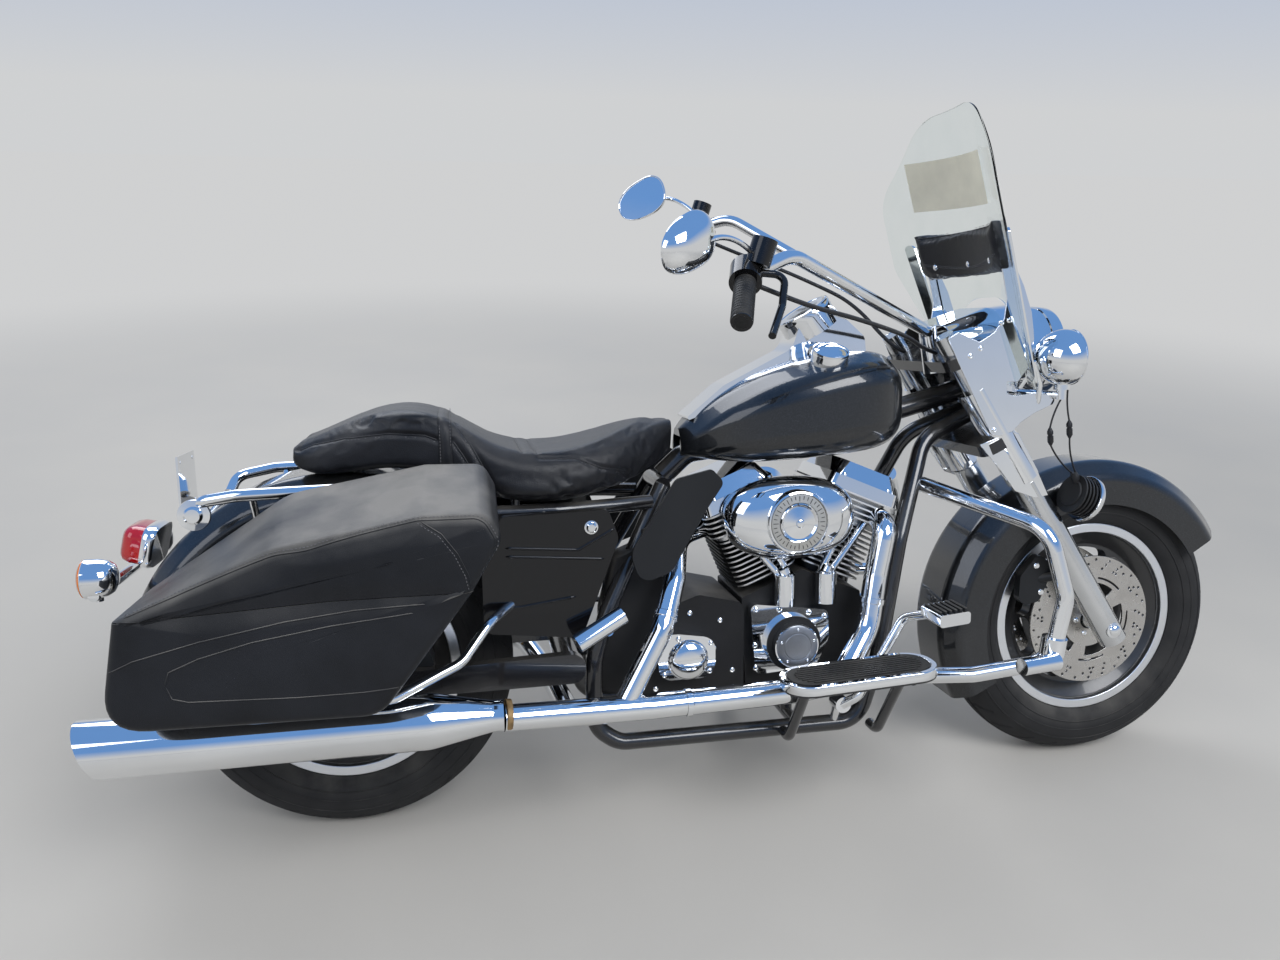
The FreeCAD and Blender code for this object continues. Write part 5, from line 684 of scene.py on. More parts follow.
def fin_finish():
    """Black enamel whose edges, the faces that don't lie square to either cylinder, are milled bright."""
    enamel = surface("fin_finish", (0.014, 0.014, 0.015), 0.42, vary=0.2, grain=600, bump=0.2, shine=0.3)
    nodes, links = enamel.node_tree.nodes, enamel.node_tree.links
    shader = nodes["Principled BSDF"]
    facing = nodes.new("ShaderNodeNewGeometry")
    flatness = []
    for which in VEE:
        axis = way_on_bike(math.sin(VEE[which]), 0, math.cos(VEE[which]))
        along = nodes.new("ShaderNodeVectorMath")
        along.operation = "DOT_PRODUCT"
        along.inputs[1].default_value = axis
        links.new(facing.outputs["True Normal"], along.inputs[0])
        size = nodes.new("ShaderNodeMath")
        size.operation = "ABSOLUTE"
        links.new(along.outputs["Value"], size.inputs[0])
        flatness.append(size)
    most = nodes.new("ShaderNodeMath")
    most.operation = "MAXIMUM"
    links.new(flatness[0].outputs[0], most.inputs[0])
    links.new(flatness[1].outputs[0], most.inputs[1])
    milled = nodes.new("ShaderNodeMath")
    milled.operation = "LESS_THAN"
    milled.inputs[1].default_value = SQUARE_ENOUGH
    links.new(most.outputs[0], milled.inputs[0])
    place = nodes.new("ShaderNodeTexCoord")
    from_crank = nodes.new("ShaderNodeVectorMath")
    from_crank.operation = "SUBTRACT"
    from_crank.inputs[1].default_value = on_bike(*CRANK)
    links.new(place.outputs["Object"], from_crank.inputs[0])
    outward = nodes.new("ShaderNodeVectorMath")
    outward.operation = "DOT_PRODUCT"
    outward.inputs[1].default_value = across
    links.new(from_crank.outputs[0], outward.inputs[0])
    distance = nodes.new("ShaderNodeMath")
    distance.operation = "ABSOLUTE"
    links.new(outward.outputs["Value"], distance.inputs[0])
    outermost = nodes.new("ShaderNodeMath")
    outermost.operation = "GREATER_THAN"
    outermost.inputs[1].default_value = FIN_EDGE
    links.new(distance.outputs[0], outermost.inputs[0])
    edge = nodes.new("ShaderNodeMath")
    edge.operation = "MULTIPLY"
    links.new(milled.outputs[0], edge.inputs[0])
    links.new(outermost.outputs[0], edge.inputs[1])
    bright = nodes.new("ShaderNodeMix")
    bright.data_type = "RGBA"
    bright.inputs["B"].default_value = (0.72, 0.71, 0.69, 1)
    links.new(edge.outputs[0], bright.inputs["Factor"])
    links.new(shader.inputs["Base Color"].links[0].from_socket, bright.inputs["A"])
    links.new(bright.outputs["Result"], shader.inputs["Base Color"])
    links.new(edge.outputs[0], shader.inputs["Metallic"])
    return enamel


dress("cylinders", fin_finish())

# Engine covers
# Chromed die-cast covers on the right: the cam cover with a grey round timer cover in a black ring, and the
# gearbox end cover with its dome. Round-headed socket bolts hold each of them, and nuts hold the rocker boxes.
for node in ("rocker_covers", "engine_covers", "pushrod_tubes", "horn_and_intake", "primary_cover"):
    dress(node, chrome)
grey_cover = surface("grey_cover", (0.24, 0.25, 0.27), 0.34, metal=0.8, vary=0.2, grain=420, bump=0.25)
out_right = way_on_bike(0, -1, 0)
BUTTON = [(0, -1), (6, -1), (6, 1.6), (5, 3.6), (3.2, 4.4), (2.8, 2.6), (0, 2.6)]


def button_bolts(name, places, way, body, scale=1.0):
    """Round-headed socket bolts, one at each upright place."""
    rows = [(out * scale, along * scale) for out, along in BUTTON]
    for i, place in enumerate(places):
        bolt = turned("%s_%d" % (name, i), rows, on_bike(*place), way, chrome, body, 20)


TIMER, TIMER_BOLT_RING = (885, 343), 36
turned("timer_ring", [(46.2, 0), (57.4, 0), (57.4, 2.4), (46.2, 2.4)], on_bike(TIMER[0], -131.8, TIMER[1]),
       out_right, engine_black, "chassis", 72)
turned("timer_face", [(0, -1), (43, -1), (43, 2), (40, 3.2), (30, 3.4), (29, 2.4), (27, 2.4), (26, 3.4),
                       (0, 4)],
       on_bike(TIMER[0], -152, TIMER[1]), out_right, grey_cover, "chassis", 72)
timer_bearings = [math.radians(72 * k + 18) for k in range(5)]
timer_bolts = [(TIMER[0] + TIMER_BOLT_RING * math.cos(bearing), -154.6,
                TIMER[1] + TIMER_BOLT_RING * math.sin(bearing)) for bearing in timer_bearings]
button_bolts("timer_bolt", timer_bolts, out_right, "chassis", scale=0.55)
# Bolts of a cover: name, distance to the left, forward and up of each, scale.
for bolt_name, out, places, scale in (
    ("cam_bolt", -118, [(808, 415), (858, 412), (922, 402), (956, 392), (806, 340), (808, 292), (900, 285)],
     1.0),
    ("gear_bolt", -146, [(611, 302), (704, 304), (706, 362), (640, 374), (610, 372)], 0.9),
    ("case_bolt", -112, [(671, 416), (734, 397), (721, 340), (620, 400), (760, 290), (760, 240), (600, 262)],
     1.0),
):
    button_bolts(bolt_name, [(x, out, z) for x, z in places], out_right, "chassis", scale=scale)
turned("gear_dome", [(0, 16), (20, 15), (34, 11), (40, 4), (42, -1), (0, -1)], on_bike(660, -146, 330),
       out_right, chrome, "chassis")
ROCKER_BOLTS = ((-52, -84), (52, -84), (-52, 84), (52, 84))
for which, fore_sign in (("front", 1), ("rear", -1)):
    rocker_way = way_on_bike(math.sin(VEE[which]), 0, math.cos(VEE[which]))
    for i, (fore, out) in enumerate(ROCKER_BOLTS):
        turned("rocker_bolt_%s_%d" % (which, i), [(0, 0), (6.5, 0), (6.5, 5), (5, 8), (0, 9)],
               on_bike(*on_cylinder(which, HEAD_TOP + 24, fore, out)), rocker_way, chrome, "chassis", 20)
    turned("tappet_cap_" + which, [(0, 0), (17, 0), (17, 5), (13, 8), (12, 20), (9, 22), (0, 22)],
           on_bike(*on_cylinder(which, BARREL_FOOT + 8, fore_sign * -20, -114)), rocker_way, chrome,
           "chassis", 32)
spark_black = surface("spark_black", (0.02, 0.02, 0.02), 0.4, grain=400, bump=0.1, shine=0.3)
for which, fore_sign in (("front", 1), ("rear", -1)):
    turned("spark_cap_" + which, [(0, 0), (9, 0), (10, 4), (8, 8), (8, 26), (6, 30), (0, 30)],
           on_bike(*on_cylinder(which, HEAD_JOINT + 34, fore_sign * 20, 100)), way_on_bike(0, 0.9, -0.3),
           spark_black, "chassis", 24)

# Air cleaner
# A pressed and chromed oval dome over the intake, held by the middle nut of its ringed insert. The insert is
# a polished rim and middle with a satin band between them, engraved with ticks.
satin_ring = surface("satin_ring", (0.56, 0.55, 0.52), 0.32, metal=1.0, vary=0.06, grain=900, bump=0.1)
CLEANER, CLEANER_POINTS = (875, -179, 604), 120
CLEANER_BACK, CLEANER_HALF_LENGTH, CLEANER_HALF_HEIGHT, CLEANER_SQUARENESS = -114, 136, 84, 0.86
# Columns: share of the oval's outline, distance out from the back plate.
CLEANER_ROWS = [(0.93, -1), (1.0, 0), (1.0, 9), (0.992, 17), (0.965, 26), (0.92, 34), (0.85, 42), (0.76, 49),
                (0.66, 54), (0.56, 58), (0.44, 60.4), (0.2, 61.6)]


def squared_off(k, count, power):
    """How far out and up the k-th of count points lies on an oval squared off by a power below 1."""
    wide, high = math.cos(2 * math.pi * k / count), math.sin(2 * math.pi * k / count)
    return math.copysign(abs(wide) ** power, wide), math.copysign(abs(high) ** power, high)


cleaner_shell = bmesh.new()
cleaner_rings = []
for share, out in CLEANER_ROWS:
    ring = []
    for k in range(CLEANER_POINTS):
        wide, high = squared_off(k, CLEANER_POINTS, CLEANER_SQUARENESS)
        x = CLEANER[0] + CLEANER_HALF_LENGTH * share * wide
        z = CLEANER[2] + CLEANER_HALF_HEIGHT * share * high
        ring.append(cleaner_shell.verts.new(on_bike(x, CLEANER_BACK - out, z)))
    cleaner_rings.append(ring)
fill_rings(cleaner_shell, cleaner_rings)
cleaner_shell.faces.new(cleaner_rings[0])
cleaner_shell.faces.new(cleaner_rings[-1])
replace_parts(made_piece("cleaner_cover", cleaner_shell, chrome, "chassis"), "air_cleaner")
for part_name, rows, material in (
    ("edge", [(60, -34), (64, -34), (64, -3), (62, 3), (58.5, 4.2), (57, 2), (56.6, -1), (0, -1)], chrome),
    ("band", [(56.2, 0), (56.2, 1.6), (40, 2.4), (39, 0)], satin_ring),
    ("dome", [(39, 0), (39, 4), (37, 6), (35, 5), (32, 2), (27, 3), (15, 6), (9, 7), (7.4, 10), (5, 11),
              (0, 11.5)], chrome),
):
    turned("cleaner_insert_" + part_name, rows, on_bike(*CLEANER), out_right, material, "chassis", 96)
TICKS, TICK_START, LONG_TICK_START, TICK_END, TICK_HALF_WIDTH = 36, 46, 42.5, 53, 0.6
TICK_TOP, TICK_FOOT = 0.0026, 0.0012
ticks = bmesh.new()
for k in range(TICKS):
    bearing = 2 * math.pi * k / TICKS
    radial = forward * math.cos(bearing) + up * math.sin(bearing)
    round_way = up * math.cos(bearing) - forward * math.sin(bearing)
    start = TICK_START if k % 3 else LONG_TICK_START
    corners = [on_bike(*CLEANER) + radial * (out / 1000) + round_way * (aside / 1000)
               for out, aside in ((start, -TICK_HALF_WIDTH), (TICK_END, -TICK_HALF_WIDTH),
                                  (TICK_END, TICK_HALF_WIDTH), (start, TICK_HALF_WIDTH))]
    top_ring = [ticks.verts.new(corner + out_right * TICK_TOP) for corner in corners]
    low_ring = [ticks.verts.new(corner + out_right * TICK_FOOT) for corner in corners]
    ticks.faces.new(top_ring)
    fill_rings(ticks, [low_ring, top_ring])
made_piece("cleaner_ticks", ticks, engine_black, "chassis", smooth=False)

# Exhaust
# Chromed steel headers under shields, and two slash-cut mufflers whose clamps have rusted. Black painted
# deflectors keep the heat off the rider's legs, and band clamps hold the shields to the pipes.
satin_black = surface("satin_black", (0.014, 0.015, 0.017), 0.38, grain=500, bump=0.12, dust_and_sheen=0.3, shine=0.25)
rusty_steel = surface("rusty_steel", (0.34, 0.22, 0.10), 0.6, metal=0.6, vary=0.5, patch=60, grain=700,
                      bump=0.5)
soot = surface("soot", (0.02, 0.018, 0.017), 0.9, vary=0.3, grain=300, bump=0.3, shine=0.1)
dress("exhaust_pipes", chrome)
dress("mufflers", chrome)
dress("heat_deflectors", satin_black)
MUFFLER_FRONT, MUFFLER_END, MUFFLER_HALF, MUFFLER_HEIGHT = 290, -340, 262, 296
for side_name, side in SIDES:
    turned("muffler_clamp_" + side_name, [(25, 2), (27.4, 2), (28.2, 3.4), (28.2, 10.6), (27.4, 12), (25, 12)],
           on_bike(MUFFLER_FRONT + 1, side * MUFFLER_HALF, MUFFLER_HEIGHT),
           way_on_bike(0.99, side * -0.11, -0.06).normalized(), rusty_steel, "chassis")
    turned("muffler_lining_" + side_name, [(46.4, 0), (46.4, -90), (22, -96), (22, -150), (0, -150)],
           on_bike(MUFFLER_END, side * MUFFLER_HALF, MUFFLER_HEIGHT), way_on_bike(-1, 0, 0), soot, "chassis")
# Columns: middle, direction of the pipe, radius.
SHIELD_CLAMPS = [
    ((1046, -149, 428), (-0.19, -0.13, -0.97), 25.5), ((640, -224, 274), (-1, -0.05, 0), 25.5),
    ((604, -193, 438), (-0.36, -0.5, -0.78), 23.5),
]
for i, (place, way, radius) in enumerate(SHIELD_CLAMPS):
    band = [(radius - 1, -6), (radius, -6), (radius + 0.8, -5), (radius + 0.8, 5), (radius, 6),
            (radius - 1, 6)]
    turned("shield_clamp_%d" % i, band, on_bike(*place), way_on_bike(*way).normalized(), chrome, "chassis")

# Painted body parts
# Pressed steel tank and fenders in dark charcoal metallic under clear coat; a chromed console is on the tank.
# The side covers are moulded in gloss black plastic with raised lines, each held by a chromed latch.
charcoal_paint = surface("charcoal_paint", (0.0045, 0.0055, 0.0072), 0.3, metal=0.2, vary=0.15, grain=90,
                         bump=0.004, coat=1.0, dust_and_sheen=0.06, speck=0.09, shine=0.3)
gloss_black = surface("gloss_black", (0.004, 0.004, 0.005), 0.2, grain=60, bump=0.004, coat=0.6, dust_and_sheen=0.05,
                      shine=0.15)
for node in ("fuel_tank", "front_fender", "rear_fender"):
    dress(node, charcoal_paint)
dress("side_covers", gloss_black)
dress("console_and_cap", chrome)


def surface_tree(piece):
    """A piece's faces, for finding where a seam or a rib lies on them."""
    places = [vertex.co for vertex in piece.data.vertices]
    return BVHTree.FromPolygons(places, [face.vertices for face in piece.data.polygons])


DROP_START, DROP_REACH, LARGEST_STEP = 0.25, 0.45, 0.03


def laid_on(tree, places, way, pitch):
    """Places and surface directions along a line, each dropped along way on to a surface at a pitch."""
    spots = []
    for start, end in zip(places, places[1:]):
        steps = max(int((end - start).length / pitch), 1)
        for i in range(steps):
            spots.append(start.lerp(end, i / steps))
    spots.append(places[-1])
    found = []
    for spot in spots:
        place, normal, _, _ = tree.ray_cast(spot - way * DROP_START, way, DROP_REACH)
        if place is not None and (not found or (place - found[-1][0]).length < LARGEST_STEP):
            found.append((place, normal if normal.dot(way) < 0 else -normal))
    return found


def rib(name, found, radius, sink, material, body, sides=8):
    """A thin round rib that follows a surface, let in by a share of its radius."""
    shape = bmesh.new()
    rings = []
    for i, (place, normal) in enumerate(found):
        along = (found[min(i + 1, len(found) - 1)][0] - found[max(i - 1, 0)][0]).normalized()
        aside = along.cross(normal).normalized()
        end_share = 0.25 if i in (0, len(found) - 1) else 1
        middle = place - normal * radius * sink
        rings.append([
            shape.verts.new(middle + (aside * math.cos(2 * math.pi * k / sides)
                                      + normal * math.sin(2 * math.pi * k / sides)) * radius * end_share)
            for k in range(sides)
        ])
    fill_rings(shape, rings)
    shape.faces.new(rings[0])
    shape.faces.new(rings[-1])
    return made_piece(name, shape, material, body)


STITCH_LENGTH, STITCH_GAP, STITCH_RADIUS, STITCH_LIFT, SHORTEST_STEP = 0.0034, 0.0026, 0.0006, 0.0002, 1e-6
# A stitch's sections: share of its length from its middle, share of its thickness.
STITCH_ENDS = ((-0.5, 0.4), (-0.3, 1), (0.3, 1), (0.5, 0.4))


def stitches(name, found, aside_by, material, body):
    """A row of thread stitches beside a seam, each a short oblong pressed into the leather."""
    shape = bmesh.new()
    travelled, due = 0.0, 0.0
    for (place, normal), (after, _) in zip(found, found[1:]):
        step = after - place
        if step.length < SHORTEST_STEP:
            continue
        run = step.normalized()
        aside = run.cross(normal).normalized()
        while due <= travelled + step.length:
            middle = place + run * (due - travelled) + aside * aside_by + normal * STITCH_LIFT
            rings = []
            for share, thick in STITCH_ENDS:
                bearings = [math.pi * k / 3 for k in range(6)]
                rings.append([
                    shape.verts.new(middle + run * STITCH_LENGTH * share + (
                        aside * math.cos(bearing) + normal * math.sin(bearing)) * STITCH_RADIUS * thick)
                    for bearing in bearings
                ])
            fill_rings(shape, rings)
            shape.faces.new(rings[0])
            shape.faces.new(rings[-1])
            due += STITCH_LENGTH + STITCH_GAP
        travelled += step.length
    return made_piece(name, shape, material, body, smooth=False)


# Lines of a side cover, forward and up, and the planes from which they and the latch are laid on.
COVER_PLANE, LATCH_PLANE = 172, 173
COVER_RIBS = [
    [(306, 582), (442, 572), (512, 610)],
    [(306, 566), (491, 552)],
    [(300, 468), (332, 468), (436, 482)],
]
cover_tree = surface_tree(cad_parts["side_covers"])
for side_name, side in SIDES:
    inward = way_on_bike(0, -side, 0)
    for i, line in enumerate(COVER_RIBS):
        found = laid_on(cover_tree, [on_bike(x, side * COVER_PLANE, z) for x, z in line], inward, 0.006)
        if len(found) > 2:
            rib("cover_rib_%s_%d" % (side_name, i), found, 0.0032, 0.2, gloss_black, "chassis")
    turned("cover_latch_" + side_name, [(0, 9), (7, 8.6), (10, 6), (10, 2), (13, 1.5), (13, -2), (0, -2)],
           on_bike(467, side * LATCH_PLANE, 614), way_on_bike(0, side, 0), chrome, "chassis", 32)

# Speedometer and filler cap
# A round instrument with a chromed bezel and a glass lens sits in the tank's console, its dial printed with
# plain marks. A domed chromed cap closes the tank beside it.
dial_black = surface("dial_black", (0.015, 0.015, 0.016), 0.5, grain=300, bump=0.05, shine=0.2)
dial_cream = surface("dial_cream", (0.72, 0.70, 0.62), 0.5, grain=300, bump=0.05)


def clear_finish(name, bend, rough, film_scale, thin, full):
    """A clear glass or plastic with a faint uneven tint."""
    finish = bpy.data.materials.new(name)
    finish.use_nodes = True
    nodes, links = finish.node_tree.nodes, finish.node_tree.links
    shader = nodes["Principled BSDF"]
    shader.inputs["Transmission Weight"].default_value = 1.0
    shader.inputs["IOR"].default_value = bend
    shader.inputs["Roughness"].default_value = rough
    film = nodes.new("ShaderNodeTexNoise")
    film.inputs["Scale"].default_value = film_scale
    tint = nodes.new("ShaderNodeValToRGB")
    tint.color_ramp.elements[0].color = thin
    tint.color_ramp.elements[1].color = full
    links.new(film.outputs["Fac"], tint.inputs[0])
    links.new(tint.outputs[0], shader.inputs["Base Color"])
    return finish


dial_glass = clear_finish("dial_glass", 1.1, 0.03, 60, (0.88, 0.90, 0.90, 1), (0.98, 0.98, 0.98, 1))
DIAL_MARKS, FIRST_MARK, MARK_TURN, MARK_LIFT = 25, -210, 10, 0.0018
MARK_START, LONG_MARK_START, MARK_END, MARK_HALF_WIDTH = 0.041, 0.036, 0.046, 0.0005
dial_place = on_bike(943, 0, 1012)
dial_way, dial_up = way_on_bike(-0.53, 0, 0.848), way_on_bike(0.848, 0, 0.53)
for part_name, rows, material, sides in (
    ("bezel", [(58.4, -10), (58.4, 1), (57, 4), (53, 5), (51, 3), (51, 0.5)], chrome, 72),
    ("face", [(51.2, 0.4), (51.2, 1.4), (0, 1.4)], dial_black, 64),
    ("needle_hub", [(4, 1.4), (4, 3), (3, 3.6), (0, 3.6)], chrome, 24),
    ("lens", [(0, 4.6), (30, 4.2), (52, 3.4), (52, 3.0), (30, 3.6), (0, 4.0)], dial_glass, 64),
):
    turned("dial_" + part_name, rows, dial_place, dial_way, material, "chassis", sides)
marks = bmesh.new()
for k in range(DIAL_MARKS):
    swing = math.radians(FIRST_MARK + MARK_TURN * k)
    out_way = out_right * math.cos(swing) - dial_up * math.sin(swing)
    round_way = dial_way.cross(out_way)
    start = MARK_START if k % 2 else LONG_MARK_START
    corners = [dial_place + dial_way * MARK_LIFT + out_way * out + round_way * aside
               for out, aside in ((start, -MARK_HALF_WIDTH), (MARK_END, -MARK_HALF_WIDTH),
                                  (MARK_END, MARK_HALF_WIDTH), (start, MARK_HALF_WIDTH))]
    marks.faces.new([marks.verts.new(corner) for corner in corners])
mark_mesh = bpy.data.meshes.new("dial_marks")
marks.to_mesh(mark_mesh)
marks.free()
join_scene("dial_marks", mark_mesh, dial_cream, "chassis")
turned("filler_cap_dome", [(36.4, 6), (36.4, 20), (35, 25), (30, 28), (20, 30.5), (10, 31.6), (0, 32)],
       on_bike(960, -104, 912), way_on_bike(0, -0.42, 0.91).normalized(), chrome, "chassis", 72)

# Seat
# Two-up saddle: black pebbled leather sewn over foam on a steel pan, with a strap across behind the rider.
# Its sewn lines are drawn into the foam, and carry piping and a row of stitches.
black_leather = surface("black_leather", (0.010, 0.0105, 0.013), 0.36, vary=0.3, patch=11, grain=420,
                        bump=0.45, dust_and_sheen=0.14, leather=True, shine=0.28)
thread = surface("thread", (0.13, 0.13, 0.14), 0.6, grain=2500, bump=0.3)


def finished(piece):
    """Applies every modifier of a piece to its mesh."""
    graph = bpy.context.evaluated_depsgraph_get()
    mesh = bpy.data.meshes.new_from_object(piece.evaluated_get(graph))
    piece.modifiers.clear()
    piece.data = mesh
    return piece


SMOOTHINGS = 6


def soft_copy(name, node, voxel, shrink, body):
    """A closed, evenly meshed copy of a sub-part, a little smaller, to be padded or covered."""
    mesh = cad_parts[node].data.copy()
    mesh.materials.clear()
    piece = join_scene(name, mesh, black_leather, body)
    fill = piece.modifiers.new("even", "REMESH")
    fill.mode = "VOXEL"
    fill.voxel_size = voxel
    finished(piece)
    smooth = piece.modifiers.new("smooth", "SMOOTH")
    smooth.iterations = SMOOTHINGS
    smooth.factor = 0.5
    draw_in = piece.modifiers.new("draw_in", "DISPLACE")
    draw_in.strength = -shrink
    draw_in.mid_level = 0
    finished(piece)
    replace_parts(piece, node)
    return piece


FOAM_PRESSURE, FOAM_STEPS = 4, 20


def swell(piece, most):
    """Blows a pad up like foam under its cover, each point by no more than the given distance."""
    start = [vertex.co.copy() for vertex in piece.data.vertices]
    cloth = piece.modifiers.new("cover", "CLOTH")
    cloth.settings.use_pressure = True
    cloth.settings.uniform_pressure_force = FOAM_PRESSURE
    cloth.settings.effector_weights.gravity = 0
    cloth.point_cache.frame_end = FOAM_STEPS
    for step in range(1, FOAM_STEPS + 1):
        bpy.context.scene.frame_set(step)
    finished(piece)
    for vertex, place in zip(piece.data.vertices, start):
        move = vertex.co - place
        if move.length > most:
            vertex.co = place + move * (most / move.length)
    bpy.context.scene.frame_set(1)
    rounder = piece.modifiers.new("rounder", "SUBSURF")
    rounder.levels = rounder.render_levels = 1
    finished(piece)


def press_in(piece, lines, depth, reach):
    """Draws a cover in along sewn lines, where the thread holds it to the foam."""
    spots = [spot for line in lines for spot in line]
    near = KDTree(len(spots))
    for i, (place, _) in enumerate(spots):
        near.insert(place, i)
    near.balance()
    for vertex in piece.data.vertices:
        _, index, distance = near.find(vertex.co)
        if distance < reach:
            share = 0.5 + 0.5 * math.cos(math.pi * distance / reach)
            vertex.co = vertex.co - spots[index][1] * depth * share


SEAT_MESH, SEAT_SHRINK, SEAT_SWELL, SEAM_DEPTH, SEAM_REACH = 0.006, 0.005, 0.009, 0.0028, 0.010
seat_pad = soft_copy("seat_pad", "seat", SEAT_MESH, SEAT_SHRINK, "chassis")
swell(seat_pad, SEAT_SWELL)
# Sewn lines: forward and up on each side, and forward places of those that run across the top.
SEAT_SEAMS = [
    [(-59, 768), (-32, 779), (25, 791), (104, 796), (168, 791), (191, 782)],
    [(223, 813), (247, 781), (274, 726), (298, 672), (318, 656)],
    [(218, 781), (237, 751), (259, 709), (278, 679), (292, 657)],
    [(376, 745), (447, 742), (495, 720), (550, 708)],
    [(527, 711), (558, 688), (579, 669)],
]
CROSS_SEAMS, CROSS_PLACES = (346, 372), (-128, -64, 0, 64, 128)
SEAT_SIDE, SEAT_OVER, SEAM_PITCH = 135, 800, 0.004
seat_tree = surface_tree(seat_pad)
seat_lines = []
for side_name, side in SIDES:
    for line in SEAT_SEAMS:
        places = [on_bike(x, side * SEAT_SIDE, z) for x, z in line]
        seat_lines.append(laid_on(seat_tree, places, way_on_bike(0, -side, 0), SEAM_PITCH))
for x in CROSS_SEAMS:
    places = [on_bike(x, y, SEAT_OVER) for y in CROSS_PLACES]
    seat_lines.append(laid_on(seat_tree, places, way_on_bike(0, 0, -1), SEAM_PITCH))
seat_lines = [line for line in seat_lines if len(line) > 3]
press_in(seat_pad, seat_lines, SEAM_DEPTH, SEAM_REACH)
seat_pad.data.shade_smooth()
seat_tree = surface_tree(seat_pad)
for i, line in enumerate(seat_lines):
    settled = []
    for place, normal in line:
        spot, facing, _, _ = seat_tree.find_nearest(place - normal * 0.002)
        settled.append((spot, facing if facing.dot(normal) > 0 else -facing))
    rib("seat_piping_%d" % i, settled, 0.0017, 0.3, black_leather, "chassis")
    stitches("seat_stitch_%d" % i, settled, 0.0045, thread, "chassis")
# The strap runs from the right side over the top to the left, by bearings in degrees from the seat's middle.
STRAP_PLACE, STRAP_STEPS, STRAP_START, STRAP_SWEEP = (205, 0, 745), 41, -12, 204
# A section of the strap: distance ahead, height over the pad.
STRAP_ROW = ((-0.0125, -0.001), (-0.012, 0.0022), (0, 0.003), (0.012, 0.0022), (0.0125, -0.001))
strap_line = []
for k in range(STRAP_STEPS):
    bearing = math.radians(STRAP_START + STRAP_SWEEP * k / (STRAP_STEPS - 1))
    outward = way_on_bike(0, -math.cos(bearing), math.sin(bearing))
    place, _, _, _ = seat_tree.ray_cast(on_bike(*STRAP_PLACE) + outward * 0.4, -outward, 0.4)
    if place is not None:
        strap_line.append((place, outward))
strap = bmesh.new()
strap_rows = []
for place, outward in strap_line:
    row = []
    for ahead, lift in STRAP_ROW:
        spot, _, _, _ = seat_tree.ray_cast(place + forward * ahead + outward * 0.1, -outward, 0.2)
        row.append(strap.verts.new((spot if spot is not None else place + forward * ahead) + outward * lift))
    strap_rows.append(row)
for row, onward in zip(strap_rows, strap_rows[1:]):
    for k in range(len(row) - 1):
        strap.faces.new((row[k], row[k + 1], onward[k + 1], onward[k]))
made_piece("seat_strap", strap, black_leather, "chassis")
STRAP_STITCHED, STRAP_TOP = (-0.0095, 0.0095), 0.0024
for i, ahead in enumerate(STRAP_STITCHED):
    edge = [(place + forward * ahead + outward * STRAP_TOP, outward) for place, outward in strap_line]
    stitches("strap_stitch_%d" % i, edge, 0, thread, "chassis")

# Saddlebags
# Hard moulded shells covered in leather that is sewn along their edges and pressed into lines on their sides.
# Each lid turns on a hidden hinge at its outer edge; its top is lightened as dust and a painted sheen.
# Upward faces are lightened strongly: dust, with a painted sheen on the lids' tops.
bag_leather = surface("bag_leather", (0.010, 0.011, 0.014), 0.42, vary=0.35, patch=7, grain=520, bump=0.3,
                      dust_and_sheen=0.62, leather=True, shine=0.25)
BAG_INNER, BAG_OUTER, LID_GAP = 205, 432, 1
# Columns: forward, up, radius of the corner; the first three corners are the open edge.
BAG_BODY = [(243, 572, 0), (26, 572, 0), (-288, 556, 0), (-318, 384, 60), (92, 378, 60)]
BAG_LID = [(-288, 556, 0), (26, 572, 0), (243, 572, 0), (292, 650, 26), (270, 692, 30), (170, 694, 60),
           (-60, 652, 120)]
LID_CREST = 58
CORNER_POINTS, EDGE_STEPS = 9, 26
OPEN_END = 3 * CORNER_POINTS + 2 * (EDGE_STEPS - 1)
BAG_EDGE, BAG_WALL, BAG_FULLNESS, BAG_SHARP, EDGE_ROWS, SIDE_ROWS, FACE_ROWS = 15, 0.004, 0.0035, 50, 6, 14, 8
WELD_DISTANCE = 0.00005


def leather_outline(corners, crest):
    """Outline points of a bag's half at its outer and its inner plane."""
    rows = []
    count = len(corners)
    for raised in (0, crest):
        outline = []
        lifted = [Vector((x, z + (raised if i > 2 else 0))) for i, (x, z, _) in enumerate(corners)]
        for i, here in enumerate(lifted):
            radius = max(corners[i][2], 0.01)
            before = (lifted[i - 1] - here).normalized()
            after = (lifted[(i + 1) % count] - here).normalized()
            reach = radius / math.tan(before.angle(after) / 2)
            for k in range(CORNER_POINTS):
                share = k / (CORNER_POINTS - 1)
                first, last = here + before * reach, here + after * reach
                outline.append(first.lerp(here, share).lerp(here.lerp(last, share), share))
        fine = []
        for i, here in enumerate(outline):
            onward = outline[(i + 1) % len(outline)]
            steps = 1 if (i + 1) % CORNER_POINTS else EDGE_STEPS
            for k in range(steps):
                fine.append(here.lerp(onward, k / steps))
        rows.append(fine)
    return rows


def drawn_in(points, corners, draw):
    """An outline moved inward all round but along its open edge, whose two ends move along that edge."""
    count = len(points)
    centre = sum(points, Vector((0, 0))) / count
    ends = []
    for here, onward, outside in ((0, 1, -1), (2, 1, 3)):
        start = Vector(corners[here][:2])
        along = (Vector(corners[onward][:2]) - start).normalized()
        wall = (Vector(corners[outside][:2]) - start).normalized()
        ends.append((start, along, draw / math.sin(along.angle(wall))))
    moved = []
    for i, point in enumerate(points):
        if i < OPEN_END:
            for start, along, reach in ends:
                if (point - start).dot(along) < reach:
                    point = start + along * reach
            moved.append(point)
            continue
        along = points[(i + 1) % count] - points[i - 1]
        normal = Vector((along.y, -along.x)).normalized()
        if normal.dot(centre - point) < 0:
            normal = -normal
        moved.append(point + normal * draw)
    return moved


